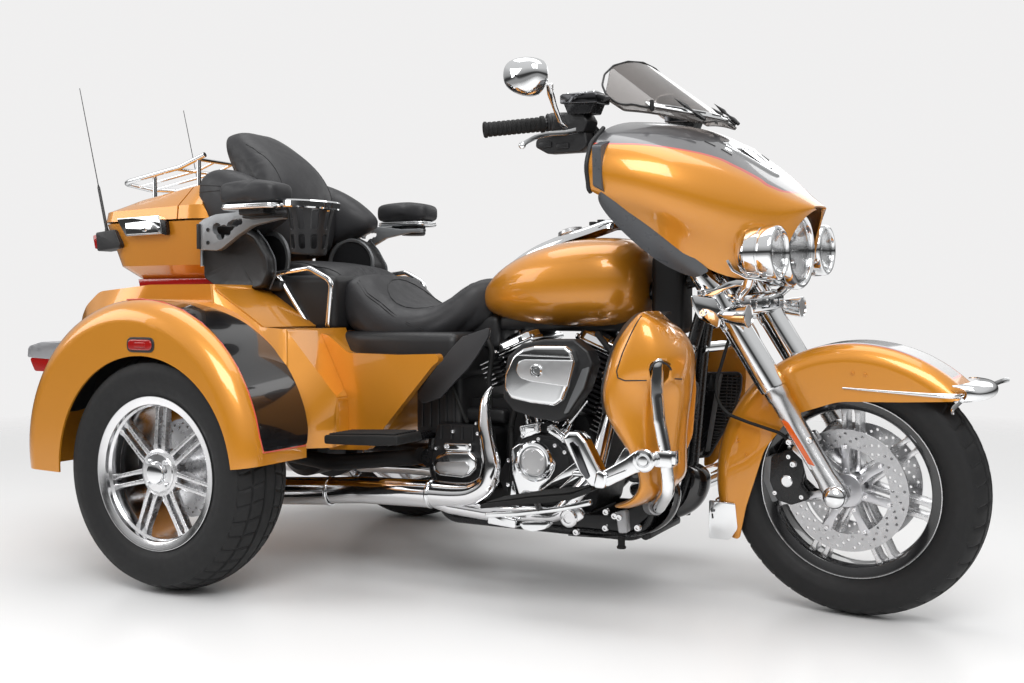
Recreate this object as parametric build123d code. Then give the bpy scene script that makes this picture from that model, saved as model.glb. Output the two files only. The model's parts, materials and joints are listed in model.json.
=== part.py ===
"""Full-dress touring trike: one steered front wheel, a 45 degree V-twin and two rear wheels on a live axle.

Every function below gives one node in millimetres. Stations count from the floor under the rear axle, +X ahead,
+Y to the rider's left and +Z up. Steered pieces are drawn straight ahead and turned to STEER_REST when written.
"""

import os
from functools import cache
from math import cos, radians, sin

from build123d import *

# --- driving dimensions ---------------------------------------------------------------------------------------
WHEELBASE = 1670.0
REAR_AXLE_X = -609.5  # where the rear axle lies in the finished frame, so that the length is centred on X = 0
HEAD_RAKE = 26.0  # lean of the steering axis, degrees
FORK_RAKE = 32.0  # lean of the fork legs, degrees
TRAIL = 99.0
STEER_REST = -7.2  # parked with the bars a little to the right, degrees

FRONT_TYRE_R = 320.0
FRONT_TYRE_W = 130.0
FRONT_SEAT_R = 206.0  # bead seat of the 16 inch front rim
FRONT_RIM_W = 94.0
REAR_TYRE_R = 321.5
REAR_TYRE_W = 205.0
REAR_SEAT_R = 190.5  # bead seat of the 15 inch rear rim
REAR_RIM_W = 180.0
REAR_WHEEL_Y = 590.0  # centre plane of each rear wheel
FLANGE_H = 15.0
FLANGE_T = 4.0
BARREL_T = 7.0
SPOKE_PAIRS = 7
RUNNING_GAP = 0.3
MOVING_GAP = 6.0

FRONT_AXLE_R = 12.5
REAR_AXLE_R = 19.0
DISC_R = 150.0
DISC_T = 5.0
DISC_Y = 62.0

FORK_Y = 125.0  # centre line of each fork leg
FORK_SLIDER_R = 27.0
FORK_COVER_R = 34.0
FORK_COVER_FROM = 300.0  # along the leg, from the axle
FORK_TOP = 690.0
HEAD_LOW = 850.0  # along the steering axis, from the floor
HEAD_HIGH = 1010.0
HEAD_TUBE_R = 31.0
STEM_R = 17.0
CLAMP_T = 26.0

HEADLAMP_X = 1530.0
HEADLAMP_Z = 904.0
HEADLAMP_R = 98.0
PASSING_LAMP_X = 1541.0
PASSING_LAMP_Y = 172.0
PASSING_LAMP_Z = 903.0
PASSING_LAMP_R = 62.0
SIGNAL_X = 1474.0
SIGNAL_Y = 185.0
SIGNAL_Z = 750.0
SIGNAL_R = 32.0

CRANK_X = 893.0
CRANK_Z = 350.0
CYLINDER_LEAN = 22.5
CYLINDER_FROM = 140.0  # along the cylinder, from the crank
HEAD_FROM = 250.0
HEAD_TO = 318.0
ROCKER_TO = 356.0
FIN_W = 146.0
FIN_PITCH = 14.0
FIN_T = 6.0
HEAD_W = 178.0

BODY_Y = 468.0  # side wall of the boot between the wheels
FENDER_OUT_Y = 705.0
FENDER_T = 6.0
ARCH_X = -19.0
ARCH_Z = 325.0
ARCH_R = 308.0
PANEL_T = 6.0

POD_OUT_Y = 318.0  # outer face of each speaker pod
SEAM_Z = 1025.0  # parting line between the top box and its lid
BOX_REAR_X = -640.0
BOX_FRONT_X = -168.0
BOX_HALF_W = 285.0
BOX_CORNER_R = 85.0
BOX_WALL = 5.0
LID_FRONT_X = -292.0  # the lid ends here, behind the fixed cowl that meets the backrest

TUBE_R = 16.0
RAIL_R = 8.0
GUARD_R = 16.0
BAR_R = 12.7
GRIP_R = 17.5


# --- shared forms -----------------------------------------------------------------------------------------------
def xz(y):
    """Plane at station y that draws (x, z)."""
    return Plane(origin=(0, y, 0), x_dir=(1, 0, 0), z_dir=(0, -1, 0))


def yz(x):
    """Plane at station x that draws (y, z)."""
    return Plane(origin=(x, 0, 0), x_dir=(0, 1, 0), z_dir=(1, 0, 0))


def outline(points, radius=None):
    """Closed face through corners; each corner is (a, b, its radius), or all share one radius."""
    if radius is None:
        return make_face(FilletPolyline(*[p[:2] for p in points], radius=[p[2] for p in points], close=True))
    return make_face(FilletPolyline(*[p[:2] for p in points], radius=radius, close=True))


def slab(points, y_low, y_high, radius=None):
    """Solid with an (x, z) outline between two y stations."""
    return extrude(xz(y_high) * outline(points, radius), amount=y_high - y_low, dir=(0, -1, 0))


def plan_slab(points, z_low, z_high, radius=None):
    """Solid with an (x, y) outline between two heights."""
    return extrude(Plane.XY.offset(z_low) * outline(points, radius), amount=z_high - z_low, dir=(0, 0, 1))


def spin(profile, center):
    """Solid of revolution about the line along Y through center; the profile holds (radius, y)."""
    face = Pos(center[0], 0, center[2]) * make_face(Polyline(*profile, close=True))
    return revolve(face, Axis((center[0], 0, center[2]), (0, 1, 0)), 360)


def rod(points, radius, bend=None):
    """Round bar along straight runs joined by tangent arcs."""
    path = Line(*points) if len(points) == 2 else FilletPolyline(*points, radius=bend)
    return sweep(Plane(origin=path @ 0, z_dir=path % 0) * Circle(radius), path=path)


def barrel(start, end, radius):
    """Cylinder from one centre to another."""
    axis = Vector(*end) - Vector(*start)
    return extrude(Plane(origin=start, z_dir=axis) * Circle(radius), amount=axis.length)


def cone(start, end, r_start, r_end):
    """Frustum from one centre to another."""
    axis = Vector(*end) - Vector(*start)
    near = Plane(origin=start, z_dir=axis) * Circle(r_start)
    far = Plane(origin=end, z_dir=axis) * Circle(r_end)
    return loft([near, far])


def cross_loft(stations, ruled=False):
    """Loft through closed (y, z) outlines; each station is (x, outline points, corner radius)."""
    return loft([yz(x) * outline(points, radius) for x, points, radius in stations], ruled=ruled)


def both(shape):
    """The right-hand piece and its mirror image on the left."""
    return shape + mirror(shape, about=Plane.XZ)


def box(x_low, x_high, y_low, y_high, z_low, z_high):
    size = (x_high - x_low, y_high - y_low, z_high - z_low)
    return Pos((x_low + x_high) / 2, (y_low + y_high) / 2, (z_low + z_high) / 2) * Box(*size)


# --- steering geometry ------------------------------------------------------------------------------------------
STEER_FOOT = Vector(WHEELBASE + TRAIL, 0, 0)
STEER_DIR = Vector(-sin(radians(HEAD_RAKE)), 0, cos(radians(HEAD_RAKE)))
FORK_DIR = Vector(-sin(radians(FORK_RAKE)), 0, cos(radians(FORK_RAKE)))
FRONT_HUB = (WHEELBASE, 0, FRONT_TYRE_R)


def on_stem(distance):
    """Point on the steering axis, measured from the floor."""
    return STEER_FOOT + STEER_DIR * distance


def on_fork(distance, side=-1):
    """Point on a fork leg's centre line, measured from the axle."""
    return Vector(WHEELBASE, side * FORK_Y, FRONT_TYRE_R) + FORK_DIR * distance


# --- wheels -----------------------------------------------------------------------------------------------------
def tyre(center, y_mid, radius, width, seat_r, rim_w):
    """Road tyre, a closed ring that fills the space over the rim."""
    half, seat = width / 2, rim_w / 2 - FLANGE_T - RUNNING_GAP
    bead_r = seat_r + FLANGE_H + 2
    crown_r = radius - 0.22 * (radius - seat_r)
    right = Line((seat_r, -seat), (bead_r, -seat)) + ThreePointArc(
        (bead_r, -seat), ((bead_r + crown_r) / 2, -half), (crown_r, -half * 0.93)
    )
    tread = ThreePointArc((crown_r, -half * 0.93), (radius, 0), (crown_r, half * 0.93))
    left = ThreePointArc((crown_r, half * 0.93), ((bead_r + crown_r) / 2, half), (bead_r, seat))
    close = Polyline((bead_r, seat), (seat_r, seat), (seat_r, -seat))
    face = Pos(center[0], y_mid, center[2]) * make_face(right + tread + left + close)
    return revolve(face, Axis((center[0], 0, center[2]), (0, 1, 0)), 360)


def rim_barrel(seat_r, rim_w):
    """Rim barrel with its two flanges, centred on y = 0."""
    half, top = rim_w / 2, seat_r - RUNNING_GAP
    inner = top - BARREL_T
    profile = [
        (inner, -half),
        (top + FLANGE_H, -half),
        (top + FLANGE_H, -half + FLANGE_T),
        (top, -half + FLANGE_T),
        (top, half - FLANGE_T),
        (top + FLANGE_H, half - FLANGE_T),
        (top + FLANGE_H, half),
        (inner, half),
    ]
    return spin(profile, (0, 0, 0))


def spokes(r_from, r_to, y_low, y_high, width, pitch):
    """Pairs of parallel spokes, evenly spaced round the hub."""
    bars = []
    for pair in range(SPOKE_PAIRS):
        for shift in (-pitch / 2, pitch / 2):
            bar = box(r_from, r_to, y_low, y_high, shift - width / 2, shift + width / 2)
            bars.append(bar.rotate(Axis.Y, 90 + pair * 360 / SPOKE_PAIRS))
    return bars


FRONT_HUB_R = 46.0
FRONT_HUB_HALF = 70.0
DISC_CARRIERS = 7


def front_rim():
    """Cast front wheel with its two brake discs on carriers."""
    inner = FRONT_SEAT_R - BARREL_T
    wheel = rim_barrel(FRONT_SEAT_R, FRONT_RIM_W)
    hub = Cylinder(FRONT_HUB_R, 2 * FRONT_HUB_HALF - 10, rotation=(90, 0, 0))
    wheel = wheel + hub + spokes(FRONT_HUB_R - 8, inner, -13, 13, 14, 34)
    for side in (-1, 1):
        ring_profile = [(DISC_R - 46, -DISC_T / 2), (DISC_R, -DISC_T / 2), (DISC_R, DISC_T / 2), (DISC_R - 46, DISC_T / 2)]
        wheel = wheel + Pos(0, side * DISC_Y, 0) * spin(ring_profile, (0, 0, 0))
        carrier = box(FRONT_HUB_R - 8, DISC_R - 40, -DISC_T / 2, DISC_T / 2, -13, 13)
        arms = [carrier.rotate(Axis.Y, n * 360 / DISC_CARRIERS) for n in range(DISC_CARRIERS)]
        wheel = wheel + [Pos(0, side * DISC_Y, 0) * arm for arm in arms]
    bore = Cylinder(FRONT_AXLE_R + RUNNING_GAP, 400, rotation=(90, 0, 0))
    return Pos(*FRONT_HUB) * (wheel - bore)


def front_tyre():
    return tyre(FRONT_HUB, 0, FRONT_TYRE_R, FRONT_TYRE_W, FRONT_SEAT_R, FRONT_RIM_W)


REAR_HUB_IN = 45.0  # from the wheel's centre plane to the hub's inner face
REAR_HUB_R = 62.0
REAR_ROTOR_R = 135.0
REAR_ROTOR_T = 8.0


def rear_rim(side):
    """Dished rear wheel: deep polished lip outside, brake rotor inside; drawn for the right side."""
    inner = REAR_SEAT_R - BARREL_T
    wheel = rim_barrel(REAR_SEAT_R, REAR_RIM_W)
    hub = spin([(0, -72), (REAR_HUB_R, -72), (REAR_HUB_R, -36), (46, -20), (46, REAR_HUB_IN), (0, REAR_HUB_IN)], (0, 0, 0))
    cap = spin([(0, -86), (26, -86), (29, -82), (29, -72), (0, -72)], (0, 0, 0))
    rotor = spin([(40, 37), (REAR_ROTOR_R, 37), (REAR_ROTOR_R, REAR_HUB_IN), (40, REAR_HUB_IN)], (0, 0, 0))
    wheel = wheel + hub + cap + rotor + spokes(REAR_HUB_R - 8, inner, -64, -42, 12, 26)
    wheel = wheel - spin([(0, -50), (REAR_AXLE_R + RUNNING_GAP, -50), (REAR_AXLE_R + RUNNING_GAP, 60), (0, 60)], (0, 0, 0))
    placed = Pos(0, -REAR_WHEEL_Y, REAR_TYRE_R) * wheel
    return placed if side < 0 else mirror(placed, about=Plane.XZ)


def rear_tyre(side):
    return tyre((0, 0, REAR_TYRE_R), side * REAR_WHEEL_Y, REAR_TYRE_R, REAR_TYRE_W, REAR_SEAT_R, REAR_RIM_W)


# --- frame, axle and engine -------------------------------------------------------------------------------------
PIVOT_X = 515.0
PIVOT_Z = 330.0
CRADLE_Y = 118.0
BACKBONE_R = 24.0
CRADLE_Z = 165.0
RAIL_Y = 150.0  # rear rails that carry the body and the shocks
AXLE_TUBE_R = 36.0
RAIL_TUBE_R = 14.0
HOLD_FRONT_X = -120.0  # front wall of the boot's hold
BODY_WALL = 8.0
RAIL_END_X = HOLD_FRONT_X + BODY_WALL + RAIL_TUBE_R + RUNNING_GAP


@cache
def frame():
    """Welded tube frame: head tube, backbone, cradle round the engine and rails back to the body."""
    head = barrel(on_stem(HEAD_LOW), on_stem(HEAD_HIGH), HEAD_TUBE_R)
    bore = barrel(on_stem(HEAD_LOW - 5), on_stem(HEAD_HIGH + 5), STEM_R + RUNNING_GAP)
    upper, lower = on_stem(HEAD_HIGH - 50), on_stem(HEAD_LOW + 75)
    tubes = [rod([tuple(upper), (1120, 0, 800), (690, 0, 742), (590, 0, 650)], BACKBONE_R, [120, 60])]
    for side in (-1, 1):
        y = side * CRADLE_Y
        tubes.append(
            rod(
                [
                    tuple(lower),
                    (1296, side * 26, 790),
                    (1262, side * 56, 640),
                    (1215, y, 330),
                    (1165, y, CRADLE_Z),
                    (PIVOT_X + 45, y, CRADLE_Z),
                    (PIVOT_X, y, PIVOT_Z),
                    (PIVOT_X + 35, y, 560),
                    (600, side * 20, 650),
                ],
                TUBE_R,
                [55, 90, 120, 70, 60, 90, 50],
            )
        )
        rail = [(PIVOT_X + 30, side * CRADLE_Y, 550), (430, side * RAIL_Y, 585), (RAIL_END_X, side * RAIL_Y, 598)]
        tubes.append(rod(rail, RAIL_TUBE_R, [90]))
    cross = barrel((PIVOT_X, -CRADLE_Y - 20, PIVOT_Z), (PIVOT_X, CRADLE_Y + 20, PIVOT_Z), 26)
    tail = barrel((RAIL_END_X, -170, 598), (RAIL_END_X, 170, 598), RAIL_TUBE_R)
    front_cross = barrel((1165, -CRADLE_Y, CRADLE_Z + 4), (1165, CRADLE_Y, CRADLE_Z + 4), 14)
    return head + tubes + cross + tail + front_cross - bore


def rear_axle():
    """Belt-driven rear axle: differential case, tubes, stub shafts, calipers and trailing arms."""
    case = spin([(0, -70), (70, -70), (92, -48), (92, 48), (70, 70), (0, 70)], (0, 0, REAR_TYRE_R))
    tube = Pos(0, 0, REAR_TYRE_R) * Cylinder(AXLE_TUBE_R, 2 * (REAR_WHEEL_Y - 90), rotation=(90, 0, 0))
    shaft = Pos(0, 0, REAR_TYRE_R) * Cylinder(REAR_AXLE_R, 2 * (REAR_WHEEL_Y + 44), rotation=(90, 0, 0))
    pulley = spin([(0, 82), (112, 82), (112, 112), (0, 112)], (0, 0, REAR_TYRE_R))
    axle = case + tube + shaft + pulley
    hub_in = REAR_WHEEL_Y - REAR_HUB_IN
    rotor_low, rotor_high = hub_in, hub_in + REAR_ROTOR_T
    for side in (-1, 1):
        flange = spin([(0, hub_in - 45), (66, hub_in - 45), (66, hub_in - MOVING_GAP), (0, hub_in - MOVING_GAP)], (0, 0, REAR_TYRE_R))
        grip = box(-160, -95, rotor_low - 22, rotor_high + 22, REAR_TYRE_R - 42, REAR_TYRE_R + 42)
        slot = box(-150, -90, rotor_low - MOVING_GAP, rotor_high + MOVING_GAP, 0, 600)
        bracket = box(-160, -20, hub_in - 30, hub_in - 12, REAR_TYRE_R - 20, REAR_TYRE_R + 20)
        brake = grip - slot + bracket + flange
        axle = axle + (brake if side > 0 else mirror(brake, about=Plane.XZ))
        arm = rod([(0, side * 175, REAR_TYRE_R), (200, side * 175, 300), (PIVOT_X - 90, side * 70, 318), (PIVOT_X - 48, side * 70, PIVOT_Z)], 24, [150, 60])
        axle = axle + arm
    yoke = barrel((PIVOT_X - 50, -95, PIVOT_Z), (PIVOT_X - 50, 95, PIVOT_Z), 23)
    return axle + yoke


def shock_absorbers():
    """Pair of rear shocks between the axle arms and the body rails."""
    low, high = Vector(0, -220, REAR_TYRE_R), Vector(120, -205, 600)
    run = high - low
    body = barrel(tuple(low), tuple(low + run * 0.6), 30)
    shaft = barrel(tuple(low + run * 0.55), tuple(high), 22)
    pin = barrel((120, -215, 590), (120, -RAIL_Y, 590), 10)
    axle_room = Pos(0, -220, REAR_TYRE_R) * Cylinder(AXLE_TUBE_R + RUNNING_GAP, 200, rotation=(90, 0, 0))
    return both(body + shaft + pin - axle_room - frame())


@cache
def engine_cases():
    """Crankcase, gearbox and oil pan as one closed block at their real place."""
    core = [
        (1010, 205, 40),
        (1035, 330, 40),
        (985, 470, 30),
        (800, 470, 30),
        (745, 505, 20),
        (585, 500, 30),
        (565, 300, 30),
        (590, 195, 20),
    ]
    block = slab(core, -92, 92)
    right = slab([(990, 235, 40), (1005, 380, 40), (930, 452, 30), (850, 452, 30), (760, 300, 30), (800, 235, 30)], -176, -91)
    gearbox = slab([(740, 250, 20), (745, 430, 20), (590, 430, 20), (575, 270, 20)], -160, -91)
    rear_mount = box(PIVOT_X, 590, -70, 70, PIVOT_Z - 25, PIVOT_Z + 25) - frame()
    return block + right + gearbox + rear_mount


def cylinder_axis(lean):
    return Vector(sin(radians(lean)), 0, cos(radians(lean)))


def at_cylinder(lean, distance):
    """Plane across a cylinder at a distance from the crank, x_dir fore and aft."""
    axis = cylinder_axis(lean)
    return Plane(origin=Vector(CRANK_X, 0, CRANK_Z) + axis * distance, x_dir=(axis.Z, 0, -axis.X), z_dir=axis)


def fin(lean, distance, size_x, size_y, thick):
    """One cooling fin with cut corners."""
    shape = at_cylinder(lean, distance) * chamfer(Rectangle(size_x, size_y).vertices(), 28)
    return extrude(shape, amount=thick)


@cache
def cylinders():
    """Two finned barrels with their finned heads, kept apart along the middle of the V."""
    wall = extrude(Plane.YZ.offset(CRANK_X - 1) * Rectangle(400, 1600), amount=2)
    both_cylinders = None
    for lean in (-CYLINDER_LEAN, CYLINDER_LEAN):
        core = extrude(at_cylinder(lean, CYLINDER_FROM) * Circle(58), amount=HEAD_TO - CYLINDER_FROM)
        stack = core
        count = int((HEAD_TO - FIN_T - CYLINDER_FROM - FIN_PITCH) / FIN_PITCH) + 1
        for n in range(count):
            distance = CYLINDER_FROM + FIN_PITCH + n * FIN_PITCH
            in_head = distance > HEAD_FROM
            stack = stack + fin(lean, distance, FIN_W, HEAD_W if in_head else FIN_W, FIN_T)
        both_cylinders = stack if both_cylinders is None else both_cylinders + stack
    return both_cylinders - wall - engine_cases()


def rocker_covers():
    """Two polished rocker covers, stepped in two layers."""
    covers = None
    for lean in (-CYLINDER_LEAN, CYLINDER_LEAN):
        low = extrude(at_cylinder(lean, HEAD_TO + 0.3) * RectangleRounded(138, 176, 30), amount=24)
        top = extrude(at_cylinder(lean, HEAD_TO + 24) * RectangleRounded(106, 150, 34), amount=ROCKER_TO - HEAD_TO - 24)
        cover = low + top
        covers = cover if covers is None else covers + cover
    return covers


def pushrod_tubes():
    """Pushrod tubes from the tappet blocks up to the heads, on the right of each cylinder."""
    tubes = None
    for lean in (-CYLINDER_LEAN, CYLINDER_LEAN):
        axis = cylinder_axis(lean)
        foot = Vector(CRANK_X, -112, CRANK_Z) + axis * 108
        block = extrude(Plane(origin=foot, x_dir=(axis.Z, 0, -axis.X), z_dir=axis) * Rectangle(64, 40), amount=34)
        piece = block
        for shift in (-17, 17):
            side_step = Vector(axis.Z, 0, -axis.X) * shift
            start = foot + axis * 30 + side_step
            end = Vector(CRANK_X, -100, CRANK_Z) + axis * (HEAD_FROM + 4) + side_step * 1.2
            piece = piece + barrel(tuple(start), tuple(end), 11)
        tubes = piece if tubes is None else tubes + piece
    return tubes


def drive_covers():
    """Bright covers: cam chest and gearbox end on the right, primary case on the left."""
    cam_outline = [
        (985, 255, 45),
        (1000, 370, 45),
        (940, 445, 40),
        (860, 445, 40),
        (800, 350, 50),
        (815, 262, 40),
    ]
    cam = slab(cam_outline, -200, -176)
    cam = cam + spin([(0, -214), (50, -214), (56, -208), (56, -200), (0, -200)], (895, 0, 345))
    end = slab([(722, 285, 30), (728, 385, 30), (600, 400, 30), (590, 290, 30)], -178, -160)
    end = end + spin([(0, -194), (44, -194), (52, -186), (52, -178), (0, -178)], (640, 0, 338))
    primary_outline = [
        (985, 245, 60),
        (1000, 420, 90),
        (880, 460, 60),
        (640, 430, 80),
        (555, 330, 70),
        (620, 225, 60),
    ]
    primary = slab(primary_outline, 92, 190)
    derby = spin([(0, 190), (82, 190), (78, 202), (0, 202)], (665, 0, 330))
    clutch = spin([(0, 190), (60, 190), (56, 200), (0, 200)], (900, 0, 350))
    return cam + end + (primary + derby + clutch)


def air_cleaner():
    """Air cleaner: back plate on the heads and its domed outer cover."""
    plate = [
        (815, 520, 30),
        (830, 640, 30),
        (1060, 655, 25),
        (1088, 627, 25),
        (1005, 475, 30),
        (850, 490, 40),
    ]
    cover = [(832, 560, 40), (870, 632, 45), (1010, 655, 30), (1034, 622, 30), (990, 525, 45), (880, 518, 45)]
    back = slab(plate, -246, -190)
    front = slab(cover, -286, -245)
    head_side = HEAD_W / 2 + RUNNING_GAP
    manifold = slab([(CRANK_X - 72, 602), (CRANK_X + 72, 602), (CRANK_X + 72, 638), (CRANK_X - 72, 638)], -191, -head_side, 12)
    return back + front + manifold


def exhaust():
    """Two headers joined into one pipe on the right, a crossover, and a silencer low on each side."""
    front = rod([(1040, -60, 575), (1090, -130, 540), (1060, -225, 330), (960, -232, 232), (560, -245, 236), (250, -255, 236)], 22, [40, 60, 60, 300])
    rear = rod([(735, -75, 560), (700, -190, 540), (770, -232, 400), (745, -240, 250), (640, -243, 236)], 22, [40, 60, 60])
    right = rod([(250, -255, 236), (-90, -300, 214), (-560, -300, 214)], 40, [400])
    cross = rod([(560, -245, 236), (440, -150, 232), (440, 150, 232), (250, 300, 222), (-90, 300, 214)], 22, [60, 90, 200])
    left = rod([(-60, 300, 214), (-560, 300, 214)], 40)
    return front + rear + right + cross + left - cylinders()


# --- tank and seats ---------------------------------------------------------------------------------------------
# columns: x, half width, low z, high z, corner radius
TANK_STATIONS = [
    (640, 62, 742, 800, 24),
    (720, 118, 726, 858, 45),
    (830, 158, 712, 916, 62),
    (960, 174, 705, 948, 72),
    (1060, 170, 712, 950, 72),
    (1122, 132, 742, 928, 60),
    (1142, 92, 775, 900, 45),
]


def rounded_station(half, low, high):
    return [(-half, low), (half, low), (half, high), (-half, high)]


@cache
def tank_solid(inset=0.0):
    stations = []
    for x, half, low, high, corner in TANK_STATIONS:
        stations.append((x, rounded_station(half - inset, low + inset, high - inset), corner))
    return cross_loft(stations)


def fuel_tank():
    """Teardrop tank, open along its belly for the backbone."""
    tunnel = slab([(600, 600), (600, 790), (900, 800), (1200, 880), (1200, 600)], -BACKBONE_R - RUNNING_GAP, BACKBONE_R + RUNNING_GAP, 5)
    return tank_solid() - tunnel


def tank_console():
    """Bright console strip along the top of the tank."""
    top = [(700, 850, 5), (816, 922, 60), (954, 980, 60), (1030, 1002, 12), (1046, 956, 12), (1100, 930, 5), (1000, 900, 5), (800, 850, 5)]
    return slab(top, -46, 46) - tank_solid(-0.4)


SEAT_HALF = 185.0


def rider_saddle():
    """Rider's dished saddle with its nose against the tank and its rear bolster."""
    side = [
        (700, 730, 12),
        (668, 850, 14),
        (610, 846, 24),
        (545, 768, 70),
        (440, 752, 90),
        (350, 800, 90),
        (296, 872, 22),
        (250, 866, 10),
        (250, 700, 12),
        (310, 662, 40),
        (520, 655, 60),
        (610, 700, 30),
    ]
    plan = [(705, -52, 20), (590, -120, 60), (470, -195, 60), (250, -195, 40), (250, 195, 40), (470, 195, 60), (590, 120, 60), (705, 52, 20)]
    body = slab(side, -200, 200) & plan_slab(plan, 600, 900)
    return body - tank_solid(-3.0) - trunk_body() - frame()


def passenger_seat():
    """Raised passenger seat behind the rider."""
    side = [(246, 705, 15), (246, 858, 40), (20, 892, 30), (-60, 886, 20), (-60, 824.3, 8), (20, 824.3, 8), (130, 812, 20), (190, 705, 15)]
    plan = [(250, -188, 50), (-70, -170, 30), (-70, 170, 30), (250, 188, 50)]
    return (slab(side, -200, 200) & plan_slab(plan, 650, 950)) - trunk_body()


def backrest():
    """Tall centre pad with a wing on each side that wraps forward."""
    centre_side = [(-10, 900, 20), (-60, 1120, 60), (-180, 1296, 50), (-284, 1320, 24), (-284, 1240, 20), (-162, 1030, 20), (-162, 900, 20)]
    centre_front = [(-190, 890, 20), (-165, 1150, 60), (-105, 1325, 60), (105, 1325, 60), (165, 1150, 60), (190, 890, 20)]
    centre = slab(centre_side, -200, 200) & extrude(yz(-300) * outline(centre_front), amount=400)
    wing_side = [(80, 1010, 14), (84, 1050, 20), (0, 1110, 60), (-120, 1168, 60), (-246, 1160, 20), (-186, 1030, 8), (-162, 1020, 4), (-140, 905, 20), (-30, 905, 30)]
    wing = slab(wing_side, -268, -150)
    pad = centre + wing + mirror(wing, about=Plane.XZ)
    return pad - speaker_pods() - top_box_tub()


# --- body -------------------------------------------------------------------------------------------------------
DOOR_HALF = 340.0
DOOR_T = 18.0
DOOR_TOP = 722.0
DOOR_HINGE = (-524.0, 719.0)  # (x, z) of the hatch's hinge line
LID_HINGE = (286.0, 1025.0)  # (y, z) of the case lid's hinge line
KNUCKLE_R = 7.0
KNUCKLE_HALF = 27.0
LUG_T = 8.0
PIN_R = 3.0
FLOOR_Z = 432.0


def hinge_room(radius, half_from, half_to):
    """Bars along Y on one hinge line, from half_from to half_to each side of its middle."""
    bar = barrel((0, half_from, 0), (0, half_to, 0), radius)
    return bar + mirror(bar, about=Plane.XZ) if half_from > 0 else barrel((0, -half_to, 0), (0, half_to, 0), radius)


def hinge_lugs():
    """Fixed half of a hinge: two lugs and the pin through them."""
    return hinge_room(KNUCKLE_R, KNUCKLE_HALF + RUNNING_GAP, KNUCKLE_HALF + RUNNING_GAP + LUG_T) + hinge_room(PIN_R, 0, KNUCKLE_HALF + 2)


def hinge_knuckle():
    """Moving half of a hinge: the knuckle that turns on the pin."""
    return hinge_room(KNUCKLE_R, 0, KNUCKLE_HALF) - hinge_room(PIN_R + RUNNING_GAP, 0, KNUCKLE_HALF + 2)


def knuckle_room():
    """Space that the fixed side leaves for the knuckle."""
    return hinge_room(KNUCKLE_R + 1, 0, KNUCKLE_HALF + RUNNING_GAP)


def lug_room():
    """Space that the moving side leaves for the lugs."""
    return hinge_room(KNUCKLE_R + 1, KNUCKLE_HALF, KNUCKLE_HALF + 2 * RUNNING_GAP + LUG_T) + hinge_room(PIN_R + RUNNING_GAP, 0, KNUCKLE_HALF + 2)


def at_door_hinges(shape):
    return [Pos(DOOR_HINGE[0], y, DOOR_HINGE[1]) * shape for y in (-220, 220)]


def at_lid_hinges(shape):
    return [Pos(x, LID_HINGE[0], LID_HINGE[1]) * Rot(0, 0, 90) * shape for x in (-520, -380)]


def body_side(inset):
    """(x, z) outline of the boot between the wheels, drawn in from the skin by an inset."""
    return [
        (372 - inset, 377 + inset, 20),
        (366 - inset, 511, 30),
        (268 - inset, 700 - inset, 30),
        (180, 802 - inset, 30),
        (11, 824 - inset, 40),
        (-219, 824 - inset, 40),
        (-424, 806 - inset, 60),
        (-520 + inset, 735 - inset / 2, 30),
        (-590 + inset, 640, 60),
        (-608 + inset, 520, 60),
        (-594 + inset, 425 + inset, 15),
        (-90, FLOOR_Z + inset, 20),
        (60, 470 + inset, 20),
        (250, 377 + inset, 20),
    ]


@cache
def trunk_body():
    """Painted boot between the wheels, hollow, with the hatch opening in its back."""
    plan = [
        (380, -350, 60),
        (260, -BODY_Y, 40),
        (-480, -BODY_Y, 60),
        (-612, -400, 60),
        (-612, 400, 60),
        (-480, BODY_Y, 60),
        (260, BODY_Y, 40),
        (380, 350, 60),
    ]
    outer = slab(body_side(0), -BODY_Y, BODY_Y) & plan_slab(plan, 300, 900)
    hold = [
        (HOLD_FRONT_X, 800, 20),
        (-424, 792, 40),
        (-570, 640, 40),
        (-590, 520, 40),
        (-580, FLOOR_Z + BODY_WALL, 15),
        (HOLD_FRONT_X, FLOOR_Z + BODY_WALL, 15),
    ]
    inside = slab(hold, -BODY_Y + 30, BODY_Y - 30)
    mouth = box(-700, -500, -DOOR_HALF - MOVING_GAP, DOOR_HALF + MOVING_GAP, FLOOR_Z + 2 * BODY_WALL, DOOR_TOP)
    front = HOLD_FRONT_X + BODY_WALL
    bay = [(364, 300, 1), (358, 509, 20), (262, 692, 20), (176, 792, 20), (front, 792, 20), (front, 300, 1)]
    wide = BODY_Y - BODY_WALL
    bay_plan = [
        (372, -345, 50),
        (256, -wide, 40),
        (front - 5, -wide, 1),
        (front - 5, wide, 1),
        (256, wide, 40),
        (372, 345, 50),
    ]
    under = slab(bay, -wide, wide) & plan_slab(bay_plan, 290, 800)
    seat_well = box(110, 400, -SEAT_HALF - 7, SEAT_HALF + 7, 640, 900)
    body = outer - inside - mouth - under - seat_well - frame()
    swing_room = hinge_room(KNUCKLE_R + 5, 0, KNUCKLE_HALF + RUNNING_GAP)
    return body - at_door_hinges(swing_room) + at_door_hinges(hinge_lugs())


def trunk_door():
    """Boot hatch, hinged along its top edge."""
    outer = slab(body_side(-1.5), -DOOR_HALF, DOOR_HALF) - slab(body_side(DOOR_T), -BODY_Y, BODY_Y)
    low = FLOOR_Z + 2 * BODY_WALL + MOVING_GAP
    zone = box(-700, -500, -DOOR_HALF, DOOR_HALF, low, DOOR_TOP - MOVING_GAP - 4)
    zone = zone + [box(-700, -500, y - KNUCKLE_HALF, y + KNUCKLE_HALF, 690, DOOR_TOP - MOVING_GAP) for y in (-220, 220)]
    return (outer & zone) - at_door_hinges(lug_room()) + at_door_hinges(hinge_knuckle())


FENDER_X = -72.0  # centre of the rear fender's crest
FENDER_Z = 370.0
FENDER_R = 412.0
FENDER_SHOULDER = 62.0


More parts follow.
